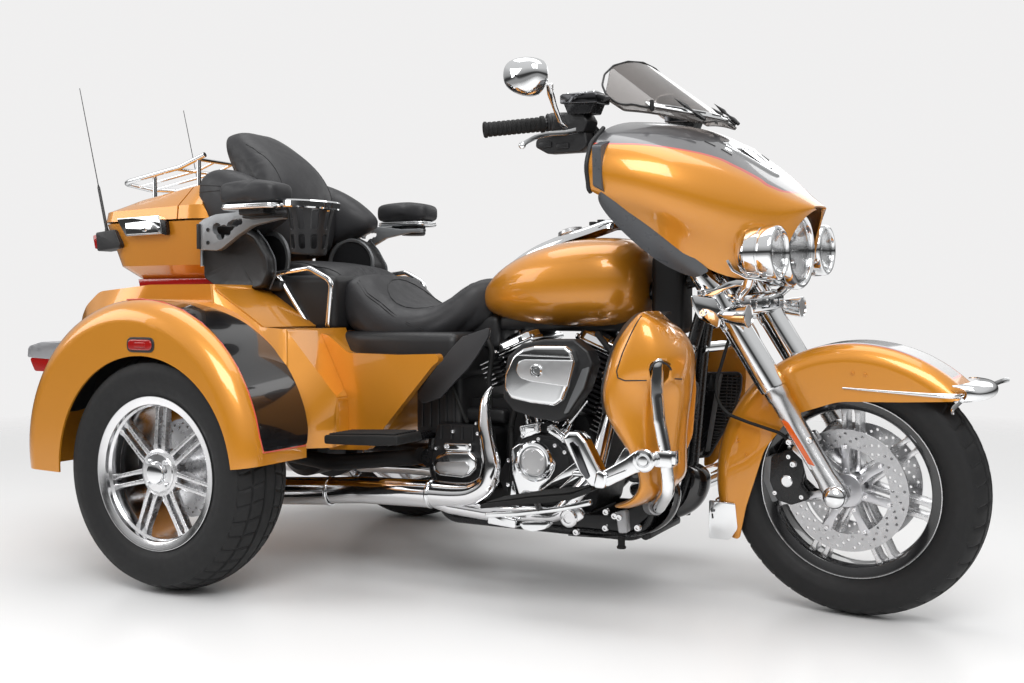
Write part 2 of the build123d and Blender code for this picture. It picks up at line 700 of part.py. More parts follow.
def fender_ring(crest_r, out_y, shoulder):
    """Ring under a fender's crest: flat across, rounded over its outer shoulder."""
    low_r = 180
    top = Line((crest_r, -BODY_Y), (crest_r, -out_y + shoulder))
    turn = RadiusArc((crest_r, -out_y + shoulder), (crest_r - shoulder, -out_y), shoulder)
    rest = Polyline((crest_r - shoulder, -out_y), (low_r, -out_y), (low_r, -BODY_Y), (crest_r, -BODY_Y))
    face = Pos(FENDER_X, 0, FENDER_Z) * make_face(top + turn + rest)
    return revolve(face, Axis((FENDER_X, 0, FENDER_Z), (0, 1, 0)), 360)


@cache
def fender():
    """Right rear fender: a wide shell of even wall round its own centre, with the wheel's opening outside."""
    skin = fender_ring(FENDER_R, FENDER_OUT_Y, FENDER_SHOULDER)
    lining = fender_ring(FENDER_R - FENDER_T, FENDER_OUT_Y - FENDER_T, FENDER_SHOULDER - FENDER_T)
    core = Pos(FENDER_X, -500, FENDER_Z) * Cylinder(200, 900, rotation=(90, 0, 0))
    arch = Pos(ARCH_X, -FENDER_OUT_Y, ARCH_Z) * Cylinder(ARCH_R, 240, rotation=(90, 0, 0))
    low = slab([(-700, -200), (-700, 313), (ARCH_X, 300), (262, 352), (500, 378), (500, -200)], -900, -300, 1)
    return skin - lining - core - arch - low


def rear_fenders():
    return both(fender())


COVER_OUT_Y = 318.0
COVER_T = 24.0


def side_covers():
    """Painted covers below the saddle, seated against the body's front edge."""
    side = [
        (686, 638, 12),
        (640, 604, 60),
        (506, 455, 30),
        (433, 369, 16),
        (300, 362, 10),
        (240, 500, 30),
        (200, 700, 10),
        (300, 682, 40),
        (368, 634, 40),
        (530, 632, 60),
    ]
    cover = slab(side, -COVER_OUT_Y, -COVER_OUT_Y + COVER_T)
    return both(cover - slab(body_side(-0.5), -500, 500))


def rear_lamps():
    """Tail lamps on the fender backs, side markers and the light strip under the top box."""
    crest = Pos(FENDER_X, -550, FENDER_Z) * Cylinder(FENDER_R, 300, rotation=(90, 0, 0))
    tail = slab([(-390, 570, 2), (-370, 660, 2), (-520, 650, 20), (-562, 625, 14), (-540, 575, 14)], -600, -500) - crest
    marker = Pos(-13, -FENDER_OUT_Y, 662) * extrude(xz(0) * SlotOverall(86, 30), amount=4)
    strip = slab([(-500, 826, 2), (-510, 845, 2), (-190, 845, 2), (-190, 826, 2)], -200, 200)
    return both(tail) + both(marker) + strip


def footboards():
    """Rubber-topped boards: the rider's ahead of the engine, the passenger's on the body sides."""
    rider = slab([(815, 256, 8), (1040, 262, 40), (1150, 330, 8), (1146, 345, 5), (1036, 282, 40), (815, 274, 8)], -440, -330)
    rider_arm = rod([(900, -350, 257), (900, -300, 190), (900, -CRADLE_Y - TUBE_R + 1, 170)], 10, [30])
    passenger = slab([(398, 400, 9), (398, 422, 9), (628, 434, 9), (630, 408, 9)], -470, -350)
    passenger_arm = barrel((520, -355, 408), (PIVOT_X + 11, -CRADLE_Y, 400), 12)
    return both((rider + rider_arm) - frame()) + both((passenger + passenger_arm) - frame())


# --- touring case, speakers and rests ---------------------------------------------------------------------------
def level(z_rear, z_front, x_rear, x_front, half, corner):
    """Rounded plan section of the top box on a plane that may slope fore and aft."""
    run = Vector(x_front - x_rear, 0, z_front - z_rear)
    across = Vector(0, 1, 0)
    middle = Vector((x_front + x_rear) / 2, 0, (z_front + z_rear) / 2)
    plane = Plane(origin=middle, x_dir=run, z_dir=run.cross(across))
    return plane * RectangleRounded(run.length, 2 * half, corner)


@cache
def tub_solid(inset):
    return loft(
        [
            level(845 + inset, 845 + inset, -532 + inset, -182 - inset, 215 - inset, 50),
            level(888, 888, -585 + inset, -174 - inset, 268 - inset, 70),
            level(SEAM_Z - 3, SEAM_Z - 3, BOX_REAR_X + inset, BOX_FRONT_X - inset, BOX_HALF_W - inset, 84),
        ],
        ruled=True,
    )


@cache
def top_box_tub():
    """Touring case below the seam, hollow, with its front carried on the backrest frame."""
    shell = tub_solid(0) - tub_solid(BOX_WALL) - box(-600, -200, -230, 230, SEAM_Z - 20, SEAM_Z + 20)
    ahead = slab([(LID_FRONT_X + MOVING_GAP, SEAM_Z - 3), (-186, SEAM_Z - 3), (-186, 1034), (-250, 1150), (LID_FRONT_X + MOVING_GAP, 1150)], -300, 300, 1)
    cowl = lid_solid(0) & ahead
    hollow = lid_solid(BOX_WALL) & (Pos(-BOX_WALL, 0, 0) * ahead) & box(LID_FRONT_X + MOVING_GAP + BOX_WALL, 0, -300, 300, 0, 1145)
    neck = box(LID_FRONT_X + MOVING_GAP, -174, -262, 262, SEAM_Z - 4, SEAM_Z + 4)
    neck_hollow = box(LID_FRONT_X + MOVING_GAP + BOX_WALL, -180, -257, 257, SEAM_Z - 8, SEAM_Z + 8)
    tub = shell + (cowl + neck - hollow - neck_hollow)
    return tub - at_lid_hinges(knuckle_room()) + at_lid_hinges(hinge_lugs())


@cache
def lid_solid(inset):
    return loft(
        [
            level(SEAM_Z + 3, SEAM_Z + 3, BOX_REAR_X - 2 + inset, BOX_FRONT_X - inset, BOX_HALF_W + 3 - inset, 84),
            level(1058, 1072, BOX_REAR_X + 2 + inset, BOX_FRONT_X - 2 - inset, BOX_HALF_W - 2 - inset, 84),
            level(1092 - inset, 1146 - inset, -560 + inset, -200 - inset, 215 - inset, 64),
        ],
        ruled=True,
    )


def top_box_lid():
    """Lid of the touring case, hinged on its left side."""
    lid = lid_solid(0) - (lid_solid(BOX_WALL) & box(-700, LID_FRONT_X - BOX_WALL, -400, 400, 0, 2000))
    mouth = box(-620, LID_FRONT_X - BOX_WALL, -260, 260, SEAM_Z - 10, SEAM_Z + 12)
    lid = lid - mouth - box(LID_FRONT_X, 0, -400, 400, 900, 1300)
    return lid - at_lid_hinges(lug_room()) + at_lid_hinges(hinge_knuckle())


def lid_rack():
    """Luggage rack of bright tube on the lid."""
    front_x = LID_FRONT_X - 12
    loop = rod([(front_x, -150, 1240), (-400, -160, 1205), (-640, -170, 1165), (-690, 0, 1160), (-640, 170, 1165), (-400, 160, 1205), (front_x, 150, 1240)], RAIL_R, [90, 50, 70, 50, 90])
    slats = []
    for y in (-80, 0, 80):
        slats.append(rod([(-330, y, 1226), (-400, y, 1203), (-672, y, 1160)], 5, [60]))
    bars = [rod([(x, -155, z), (x, 155, z)], 6) for x, z in ((-330, 1227), (-420, 1201))]
    posts = []
    for x, z_low, z_high in ((-330, 1110, 1226), (-520, 1085, 1184)):
        for y in (-150, 150):
            posts.append(barrel((x, y, z_low), (x, y, z_high), 7))
    return loop + slats + bars + posts - lid_solid(-0.3)


@cache
def speaker_pods():
    """Speaker pods at the front corners of the touring case, and two whip antennas behind."""
    pod = slab([(-165, 838, 20), (-165, 1000, 20), (-60, 1000, 60), (60, 930, 60), (82, 850, 30), (30, 812, 40), (-120, 812, 40)], -POD_OUT_Y, -195)
    mast = cone((-648, -234, 1000), (-767, -234, 1476), 5, 2)
    foot = box(-662, -625, -250, -218, 985, 1013)
    return both(pod - slab(body_side(-0.5), -500, 500)) + both(mast + foot - tub_solid(0))


def armrests():
    """Armrest brackets pierced with finger holes, their pads, and a cup holder ahead of each."""
    bracket = slab([(-150, 925, 8), (-150, 998, 8), (0, 1018, 40), (195, 1016, 6), (195, 1004, 6), (70, 985, 40), (-40, 930, 30)], -POD_OUT_Y - 18, -POD_OUT_Y)
    holes = slab([(-100, 950, 12), (-90, 985, 12), (10, 1000, 8), (30, 985, 8), (-50, 950, 12)], -360, -300)
    shelf = box(0, 205, -440, -330, 1016, 1030)
    pad = plan_slab([(2, -444, 40), (2, -330, 40), (208, -330, 40), (208, -444, 40)], 1042, 1110)
    neck = box(60, 150, -410, -360, 1029, 1043)
    cup_out = cone((262, -360, 905), (274, -360, 1050), 48, 72)
    cup_in = cone((263, -360, 912), (274.4, -360, 1056), 44, 68)
    rim = Pos(274, -360, 1040) * Cylinder(78, 16)
    cup = (cup_out + rim) - cup_in
    tie = box(195, 215, -372, -POD_OUT_Y - 6, 1008, 1020)
    return both(bracket - holes + shelf + pad + neck + tie + cup)


def grab_rails():
    """Bright grab rails each side of the passenger seat."""
    rail = rod([(75, -235, 840), (49, -250, 855), (185, -252, 870), (259, -248, 834), (240, -240, 700)], RAIL_R, [12, 60, 40])
    stay = rod([(70, -240, 848), (173, -240, 706)], 6)
    return both(rail + stay) - trunk_body() - speaker_pods()


# --- front of the chassis ---------------------------------------------------------------------------------------
@cache
def guard_hoop(radius):
    """Right half of the engine guard, from the downtube round to the cradle."""
    route = [
        (1290, -60, 690),
        (1296, -330, 665),
        (1300, -370, 500),
        (1325, -372, 335),
        (1250, -300, 262),
        (1190, -135, 250),
    ]
    return rod(route, radius, [60, 60, 60, 50])


def lower_fairings():
    """Painted leg fairings around the guard, hollow-backed."""
    side = [
        (1144, 540, 40),
        (1158, 660, 60),
        (1200, 738, 30),
        (1250, 752, 30),
        (1312, 736, 30),
        (1352, 660, 50),
        (1362, 590, 60),
        (1345, 477, 30),
        (1336, 432, 20),
        (1238, 380, 20),
        (1236, 326, 20),
        (1172, 282, 12),
        (1160, 300, 12),
    ]
    plan = [(1130, -440, 50), (1130, -300, 10), (1180, -215, 30), (1330, -215, 40), (1375, -300, 60), (1340, -440, 60)]
    body = slab(side, -440, -215) & plan_slab(plan, 200, 800)
    hole = slab([(1275, 480, 12), (1275, 640, 12), (1312, 640, 12), (1322, 480, 12)], -460, -330)
    return both(body - hole - guard_hoop(GUARD_R + 1))


def radiators():
    """Radiators at the inner front of the leg fairings."""
    core = slab([(1165, 312, 8), (1195, 590, 8), (1330, 590, 8), (1318, 495, 8), (1232, 325, 8)], -215, -190)
    return both(core)


def engine_guard():
    """Engine guard hoop of bright tube with the pegs clamped to it."""
    hoop = guard_hoop(GUARD_R)
    peg = barrel((1080, -470, 466), (1080, -350, 466), 17)
    arm = rod([(1080, -456, 466), (1175, -456, 352), (1262, -446, 358), (1308, -396, 384)], 8, [20, 30])
    return both(hoop + peg + arm - frame())


def chin_cover():
    """Black cover below the front of the cradle."""
    side = [(1296, 310, 10), (1290, 224, 20), (1168, 158, 8), (1160, 184, 5), (1185, 196, 5), (1235, 300, 20), (1262, 340, 8)]
    return slab(side, -100, 100) - frame()


def foot_controls():
    """Brake pedal on the right and shift lever on the left."""
    lever = rod([(1000, -CRADLE_Y - 10, 172), (1010, -300, 215), (1095, -308, 330), (1105, -335, 374)], 8, [40, 25])
    pad = box(1082, 1132, -385, -312, 372, 384)
    return both(lever + pad - frame())


# --- steered assembly -------------------------------------------------------------------------------------------
@cache
def front_fork():
    """Fork legs, bright covers, clamps, stem and the front axle."""
    legs = None
    for side in (-1, 1):
        foot = on_fork(-24, side)
        slider = barrel(tuple(foot), tuple(on_fork(FORK_COVER_FROM + 5, side)), FORK_SLIDER_R)
        cover = barrel(tuple(on_fork(FORK_COVER_FROM, side)), tuple(on_fork(FORK_TOP, side)), FORK_COVER_R)
        leg = slider + cover
        legs = leg if legs is None else legs + leg
    axle = Pos(*FRONT_HUB) * Cylinder(FRONT_AXLE_R, 2 * (FORK_Y + FORK_SLIDER_R + 6), rotation=(90, 0, 0))
    stem = barrel(tuple(on_stem(HEAD_LOW - 30)), tuple(on_stem(HEAD_HIGH + 30)), STEM_R)
    clamps = None
    for at, sign in ((HEAD_LOW - 4 - CLAMP_T, 1), (HEAD_HIGH + 4, 1)):
        plane = Plane(origin=on_stem(at), x_dir=(cos(radians(HEAD_RAKE)), 0, sin(radians(HEAD_RAKE))), z_dir=STEER_DIR)
        plate = extrude(plane * RectangleRounded(72, 2 * FORK_Y + 70, 30), amount=CLAMP_T)
        clamps = plate if clamps is None else clamps + plate
    return legs + axle + stem + clamps


def brake_calipers():
    """Four-piston calipers behind the fork sliders, bridging the discs' rims."""
    side = [(1488, 392, 14), (1540, 416, 16), (1584, 404, 12), (1566, 330, 20), (1594, 296, 12), (1540, 274, 16), (1502, 284, 14), (1484, 330, 20)]
    grip = slab(side, -DISC_Y - 22, -DISC_Y + 22)
    slot = Pos(WHEELBASE, -DISC_Y, FRONT_TYRE_R) * Cylinder(DISC_R + MOVING_GAP, DISC_T + 2 * MOVING_GAP, rotation=(90, 0, 0))
    lug = barrel((1568, -DISC_Y - 22, 392), (1610, -FORK_Y + 10, 396), 9)
    foot_lug = barrel((1582, -DISC_Y - 22, 306), (1648, -FORK_Y + 9, 336), 8)
    return both((grip - slot + lug + foot_lug) - front_fork())


FRONT_CREST = (1688.0, 0.0, 322.0)
FRONT_CREST_R = 357.0
FRONT_FENDER_HALF = 88.0
FRONT_FENDER_T = 4.0


def front_fender_ring(crest_r, half, shoulder):
    """Ring with rounded shoulders round the front fender's own centre."""
    low_r = 150
    edge = [(low_r, -half, 0), (crest_r, -half, shoulder), (crest_r, half, shoulder), (low_r, half, 0)]
    face = Pos(*FRONT_CREST) * outline(edge)
    return revolve(face, Axis(FRONT_CREST, (0, 1, 0)), 360)


def front_fender():
    """Deep front fender: rounded crown, skirts down to the rim, cut away ahead and behind."""
    skin = front_fender_ring(FRONT_CREST_R, FRONT_FENDER_HALF, 44)
    lining = front_fender_ring(FRONT_CREST_R - FRONT_FENDER_T, FRONT_FENDER_HALF - FRONT_FENDER_T, 40)
    skirt = [
        (2100, 560, 5),
        (1965, 556, 40),
        (1804, 546, 200),
        (1660, 540, 160),
        (1545, 500, 90),
        (1474, 410, 100),
        (1424, 260, 60),
        (1404, 172, 12),
        (1200, 172, 5),
        (1200, 800, 5),
        (2100, 800, 5),
    ]
    shell = (skin - lining) & slab(skirt, -200, 200)
    bolt = on_fork(FORK_COVER_FROM - 50)
    boss = barrel((bolt.X, -FRONT_FENDER_HALF + 2, bolt.Z), (bolt.X, bolt.Y + 15, bolt.Z), 12)
    return shell + both(boss - front_fork())


FAIRING_T = 5.0
# columns: x, then half widths and heights of the crown, shoulder, tip top, tip bottom, cheek and belly
FAIRING_STATIONS = [
    (1160, 396, 1240, 1172, 1072, 1006, 190),
    (1250, 388, 1240, 1165, 1022, 960, 172),
    (1350, 335, 1205, 1140, 975, 885, 166),
    (1440, 250, 1130, 1092, 968, 838, 150),
    (1515, 165, 1070, 1048, 985, 840, 92),
    (1578, 80, 1032, 1022, 990, 978, 40),
]


def fairing_section(half, crown, tip_top, tip_low, belly, belly_half, inset):
    h = half - inset
    return [
        (0, crown - inset),
        (0.62 * h, (0.65 * crown + 0.35 * tip_top) - inset),
        (h, tip_top - inset),
        (h, tip_low + inset),
        (max(belly_half - inset, 10), belly + inset),
        (-max(belly_half - inset, 10), belly + inset),
        (-h, tip_low + inset),
        (-h, tip_top - inset),
        (-0.62 * h, (0.65 * crown + 0.35 * tip_top) - inset),
    ]


@cache
def fairing_solid(inset):
    stations = []
    for x, half, crown, tip_top, tip_low, belly, belly_half in FAIRING_STATIONS:
        x_in = x - inset if x > 1550 else x
        points = fairing_section(half, crown, tip_top, tip_low, belly, belly_half, inset)
        stations.append((x_in, points, 8))
    return cross_loft(stations)


def fork_fairing():
    """Wide fork-mounted fairing shell, open at the back, with the headlamp's opening."""
    shell = fairing_solid(0) - fairing_solid(FAIRING_T)
    back = box(1100, 1170, -500, 500, 700, 1300) & fairing_solid(FAIRING_T)
    lamp_hole = barrel((1400, 0, HEADLAMP_Z), (1700, 0, HEADLAMP_Z), HEADLAMP_R + 1)
    fork_room = box(1100, 1436, -166, 166, 700, 990)
    can_room = [barrel((1425, y, PASSING_LAMP_Z), (1700, y, PASSING_LAMP_Z), PASSING_LAMP_R + 2) for y in (-PASSING_LAMP_Y, PASSING_LAMP_Y)]
    return shell - back - lamp_hole - fork_room - can_room


def inner_fairing():
    """Dashboard that closes the fairing behind, with room for the bars."""
    plate = fairing_solid(FAIRING_T + 0.4) & box(1172, 1196, -500, 500, 700, 1300)
    for side in (-1, 1):
        plate = plate - rod(bar_route(side), BAR_R + RUNNING_GAP, BAR_BENDS)
    return plate


WIND_R = 440.0
WIND_T = 5.0


WIND_BASE = Vector(1350, 0, 1232)
WIND_SLOPE = Vector(-250, 0, 189).normalized()
WIND_NORMAL = Vector(WIND_SLOPE.Z, 0, -WIND_SLOPE.X)


def wind_ring(r_in, r_out):
    """Curved sheet the screen is cut from, between two radii."""
    plane = Plane(origin=WIND_BASE - WIND_NORMAL * WIND_R, x_dir=(0, 1, 0), z_dir=WIND_SLOPE)
    return extrude(plane * (Circle(r_out) - Circle(r_in)), amount=330)


def wind_cut(shape):
    """Solid that cuts a (y, up the slope) outline through the sheet."""
    plane = Plane(origin=WIND_BASE + WIND_NORMAL * 60, x_dir=(0, 1, 0), z_dir=WIND_NORMAL)
    return extrude(plane * outline(shape), amount=-250)


def windshield():
    """Short curved screen that leans back from the fairing."""
    shape = [
        (-246, 150, 20),
        (-250, 215, 40),
        (-150, 300, 90),
        (150, 300, 90),
        (250, 215, 40),
        (246, 150, 20),
        (120, 12, 90),
        (-120, 12, 90),
    ]
    return wind_ring(WIND_R - WIND_T, WIND_R) & wind_cut(shape)


def screen_trim():
    """Bright strip that carries the screen's lower edge on the fairing."""
    band = [
        (-205, 122, 8),
        (-120, 14, 80),
        (120, 14, 80),
        (205, 122, 8),
        (188, 136, 8),
        (112, 42, 70),
        (-112, 42, 70),
        (-188, 136, 8),
    ]
    strip = wind_ring(WIND_R - 75, WIND_R - WIND_T) & wind_cut(band)
    return strip - fairing_solid(0)


def headlamp():
    """Round headlamp with its bright bezel."""
    at = (HEADLAMP_X, 0, HEADLAMP_Z)
    can = barrel((1445, 0, HEADLAMP_Z), (1500, 0, HEADLAMP_Z), HEADLAMP_R - 6)
    bezel = barrel((1500, 0, HEADLAMP_Z), (HEADLAMP_X + 14, 0, HEADLAMP_Z), HEADLAMP_R)
    bowl = cone((HEADLAMP_X + 4, 0, HEADLAMP_Z), (HEADLAMP_X + 16, 0, HEADLAMP_Z), HEADLAMP_R - 18, HEADLAMP_R - 8)
    return can + bezel - bowl


def lamp_bar():
    """Light bar with two passing lamps and the turn signals."""
    lamps = None
    for side in (-1, 1):
        y = side * PASSING_LAMP_Y
        can = cone((PASSING_LAMP_X - 90, y, PASSING_LAMP_Z), (PASSING_LAMP_X - 30, y, PASSING_LAMP_Z), 34, PASSING_LAMP_R - 2)
        ring = barrel((PASSING_LAMP_X - 31, y, PASSING_LAMP_Z), (PASSING_LAMP_X + 10, y, PASSING_LAMP_Z), PASSING_LAMP_R)
        stalk = rod([(PASSING_LAMP_X - 60, y, PASSING_LAMP_Z - 40), (1470, y, 790), (1440, side * 125, 772)], 12, [30])
        sig = cone((SIGNAL_X - 70, side * SIGNAL_Y, SIGNAL_Z), (SIGNAL_X, side * SIGNAL_Y, SIGNAL_Z), 10, SIGNAL_R)
        lamps = (can + ring + stalk + sig) if lamps is None else lamps + (can + ring + stalk + sig)
    bar = rod([(1440, -185, 772), (1440, 185, 772)], 14)
    return lamps + bar - front_fork()


BAR_BENDS = [30, 60, 50, 60]


def bar_route(side):
    """Centre line of one half of the bars, from the riser out to the grip."""
    riser = on_stem(HEAD_HIGH + 4 + CLAMP_T)
    return [
        (riser.X, side * 10, riser.Z + 20),
        (riser.X - 10, side * 70, riser.Z + 26),
        (1150, side * 190, 1120),
        (1078, side * 248, 1238),
        (1020, side * 300, 1240),
        (885, side * 425, 1224),
    ]


@cache
def handlebar():
    """Bars, grips, levers, switch housings and the brake reservoir."""
    riser = on_stem(HEAD_HIGH + 4 + CLAMP_T)
    half = None
    for side in (-1, 1):
        bar = rod(bar_route(side), BAR_R, BAR_BENDS)
        grip = barrel((995, side * 322, 1237), (885, side * 425, 1224), GRIP_R)
        housing = barrel((1052, side * 270, 1240), (1010, side * 308, 1238), 26)
        reservoir = box(1066, 1124, side * 288 - 30, side * 288 + 30, 1258, 1294)
        mount = box(1058, 1106, side * 270 - 20, side * 270 + 20, 1225, 1259)
        lever = rod([(1090, side * 272, 1224), (1040, side * 360, 1205), (948, side * 440, 1194)], 7, [60])
        piece = bar + grip + housing + reservoir + mount + lever
        half = piece if half is None else half + piece
    clamp = box(riser.X - 25, riser.X + 20, -40, 40, riser.Z - 4, riser.Z + 40)
    return half + clamp - front_fork()


def mirrors():
    """Oval mirrors on slim stems."""
    half = None
    for side in (-1, 1):
        stem = rod([(1068, side * 292, 1228), (1010, side * 400, 1320)], 6)
        shell = Pos(1003, side * 430, 1342) * Rot(0, -12, side * -18) * extrude(Plane.YZ * Ellipse(72, 46), amount=24, both=True)
        half = (stem + shell) if half is None else half + (stem + shell)
    return half - handlebar()


# --- writing ----------------------------------------------------------------------------------------------------
CHASSIS = {
    "frame": frame,
    "rear_axle": rear_axle,
    "shock_absorbers": shock_absorbers,
    "engine_cases": engine_cases,
    "cylinders": cylinders,
    "rocker_covers": rocker_covers,
    "pushrod_tubes": pushrod_tubes,
    "drive_covers": drive_covers,
    "air_cleaner": air_cleaner,
    "exhaust": exhaust,
    "fuel_tank": fuel_tank,
    "tank_console": tank_console,
    "rider_saddle": rider_saddle,
    "passenger_seat": passenger_seat,
    "backrest": backrest,
    "trunk_body": trunk_body,
    "trunk_door": trunk_door,
    "rear_fenders": rear_fenders,
    "side_covers": side_covers,
    "rear_lamps": rear_lamps,
    "footboards": footboards,
    "top_box_tub": top_box_tub,
    "top_box_lid": top_box_lid,
    "lid_rack": lid_rack,
    "speaker_pods": speaker_pods,
    "armrests": armrests,
    "grab_rails": grab_rails,
    "lower_fairings": lower_fairings,
    "radiators": radiators,
    "engine_guard": engine_guard,
    "chin_cover": chin_cover,
    "foot_controls": foot_controls,
    "rear_rim_right": lambda: rear_rim(-1),
    "rear_tyre_right": lambda: rear_tyre(-1),
    "rear_rim_left": lambda: rear_rim(1),
    "rear_tyre_left": lambda: rear_tyre(1),
}
STEERED = {
    "front_rim": front_rim,
    "front_tyre": front_tyre,
    "front_fork": front_fork,
    "brake_calipers": brake_calipers,
    "front_fender": front_fender,
    "fork_fairing": fork_fairing,
    "inner_fairing": inner_fairing,
    "windshield": windshield,
    "screen_trim": screen_trim,
    "headlamp": headlamp,
    "lamp_bar": lamp_bar,
    "handlebar": handlebar,
    "mirrors": mirrors,
}


def write(name, shape):
    export_step(Pos(REAR_AXLE_X, 0, 0) * shape, f"parts/{name}.step")


def main():
    os.makedirs("parts", exist_ok=True)
    steering_axis = Axis(STEER_FOOT, STEER_DIR)
    for name, make in CHASSIS.items():
        write(name, make())
    for name, make in STEERED.items():
        write(name, make().rotate(steering_axis, STEER_REST))


if __name__ == "__main__":
    main()
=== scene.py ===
import json
from math import cos, pi, radians, sin, sqrt, tan

import bpy
from mathutils import Matrix, Vector
from mathutils.bvhtree import BVHTree

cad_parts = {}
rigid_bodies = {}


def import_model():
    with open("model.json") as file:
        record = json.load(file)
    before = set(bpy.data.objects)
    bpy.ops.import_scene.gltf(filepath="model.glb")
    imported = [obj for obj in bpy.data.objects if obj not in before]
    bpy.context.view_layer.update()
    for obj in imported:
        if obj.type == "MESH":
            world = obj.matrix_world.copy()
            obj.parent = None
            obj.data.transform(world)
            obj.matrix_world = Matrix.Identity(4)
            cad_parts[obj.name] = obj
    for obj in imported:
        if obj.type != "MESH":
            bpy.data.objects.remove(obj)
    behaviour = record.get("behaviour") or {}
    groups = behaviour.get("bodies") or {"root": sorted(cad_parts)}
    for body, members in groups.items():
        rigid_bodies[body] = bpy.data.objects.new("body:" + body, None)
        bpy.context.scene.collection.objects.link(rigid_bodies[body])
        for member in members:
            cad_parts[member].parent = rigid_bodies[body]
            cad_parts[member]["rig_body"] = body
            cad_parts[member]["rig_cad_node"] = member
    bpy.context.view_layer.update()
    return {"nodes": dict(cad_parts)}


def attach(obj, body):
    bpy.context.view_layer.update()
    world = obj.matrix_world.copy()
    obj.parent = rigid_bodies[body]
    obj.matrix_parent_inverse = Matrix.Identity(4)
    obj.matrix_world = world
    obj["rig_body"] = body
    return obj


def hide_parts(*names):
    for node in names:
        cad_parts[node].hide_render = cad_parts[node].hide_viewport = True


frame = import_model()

bl_info = {
    "name": "Touring trike dresser",
    "version": (1, 0, 0),
    "blender": (4, 5, 0),
    "location": "View3D > Sidebar > Trike",
    "description": "Paint, chrome, seats, wheels and small trim round the packed touring trike",
    "category": "Object",
}

NODES = frame["nodes"]
MM = 0.001

# Where the rear axle and the steering axis lie in the frame, in metres.
REAR_AXLE_X = -0.6095
STEER_FOOT = Vector((1.769 + REAR_AXLE_X, 0, 0))
STEER_AXIS = Vector((-sin(radians(26)), 0, cos(radians(26))))
STEER_REST = radians(-7.2)
STEER = Matrix.Translation(STEER_FOOT) @ Matrix.Rotation(STEER_REST, 4, STEER_AXIS) @ Matrix.Translation(-STEER_FOOT)


def at(x, y, z):
    """A point by its stations in millimetres, counted from the floor under the rear axle."""
    return Vector((x * MM + REAR_AXLE_X, y * MM, z * MM))


# --- modelling helpers ------------------------------------------------------------------------------------------
def clear_selection():
    if bpy.context.object and bpy.context.object.mode != "OBJECT":
        bpy.ops.object.mode_set(mode="OBJECT")
    bpy.ops.object.select_all(action="DESELECT")


def only(obj):
    clear_selection()
    obj.select_set(True)
    bpy.context.view_layer.objects.active = obj


def apply_all(obj):
    """Applies the place and every modifier, so the object stands at the origin, unturned and unscaled."""
    only(obj)
    bpy.ops.object.transform_apply(location=True, rotation=True, scale=True)
    for modifier in list(obj.modifiers):
        bpy.ops.object.modifier_apply(modifier=modifier.name)


def ngon(name, points):
    """Face through the given points, as a filled circle whose rim is moved to them."""
    clear_selection()
    bpy.ops.mesh.primitive_circle_add(vertices=len(points), radius=1, fill_type="NGON")
    obj = bpy.context.object
    obj.name = name
    for vertex, point in zip(obj.data.vertices, points):
        vertex.co = point
    return obj


def rounded(points, radius, steps=5):
    """Corners of a closed outline turned into arcs; radius is one value or one for each corner."""
    count = len(points)
    radii = radius if isinstance(radius, (list, tuple)) else [radius] * count
    out = []
    for n, corner in enumerate(points):
        corner = Vector(corner)
        before = Vector(points[n - 1]) - corner
        after = Vector(points[(n + 1) % count]) - corner
        turn = before.angle(after, pi)
        size = radii[n]
        if size <= 0 or turn > radians(178):
            out.append(corner)
            continue
        reach = min(size / tan(turn / 2), before.length * 0.49, after.length * 0.49)
        start, end = corner + before.normalized() * reach, corner + after.normalized() * reach
        for step in range(steps + 1):
            t = step / steps
            out.append(start * (1 - t) ** 2 + corner * 2 * t * (1 - t) + end * t**2)
    return out


def flip_out(obj):
    """Merges doubles and turns every face of a closed shape outwards."""
    only(obj)
    bpy.ops.object.mode_set(mode="EDIT")
    bpy.ops.mesh.select_all(action="SELECT")
    bpy.ops.mesh.remove_doubles(threshold=0.00001)
    bpy.ops.mesh.normals_make_consistent(inside=False)
    bpy.ops.object.mode_set(mode="OBJECT")


def bevel(obj, width, segments=2, angle=30):
    if width <= 0:
        return
    modifier = obj.modifiers.new("Bevel", "BEVEL")
    modifier.width = width * MM
    modifier.segments = segments
    modifier.limit_method = "ANGLE"
    modifier.angle_limit = radians(angle)
    modifier.use_clamp_overlap = True


def smooth(obj, angle=35):
    only(obj)
    bpy.ops.object.shade_smooth_by_angle(angle=radians(angle))


def plate(name, outline, low, high, plane="XZ", edge=1.5, segments=2):
    """Slab whose outline is given in millimetre stations on a plane, between two stations across it."""
    spots = {
        "XZ": lambda a, b: at(a, low, b),
        "XY": lambda a, b: at(a, b, low),
        "YZ": lambda a, b: at(low, a, b),
    }[plane]
    obj = ngon(name, [spots(*p[:2]) for p in outline])
    step = {"XZ": (0, high - low, 0), "XY": (0, 0, high - low), "YZ": (high - low, 0, 0)}[plane]
    only(obj)
    bpy.ops.object.mode_set(mode="EDIT")
    bpy.ops.mesh.select_all(action="SELECT")
    bpy.ops.mesh.extrude_region_move(TRANSFORM_OT_translate={"value": Vector(step) * MM})
    bpy.ops.object.mode_set(mode="OBJECT")
    flip_out(obj)
    bevel(obj, edge, segments)
    apply_all(obj)
    smooth(obj)
    return obj


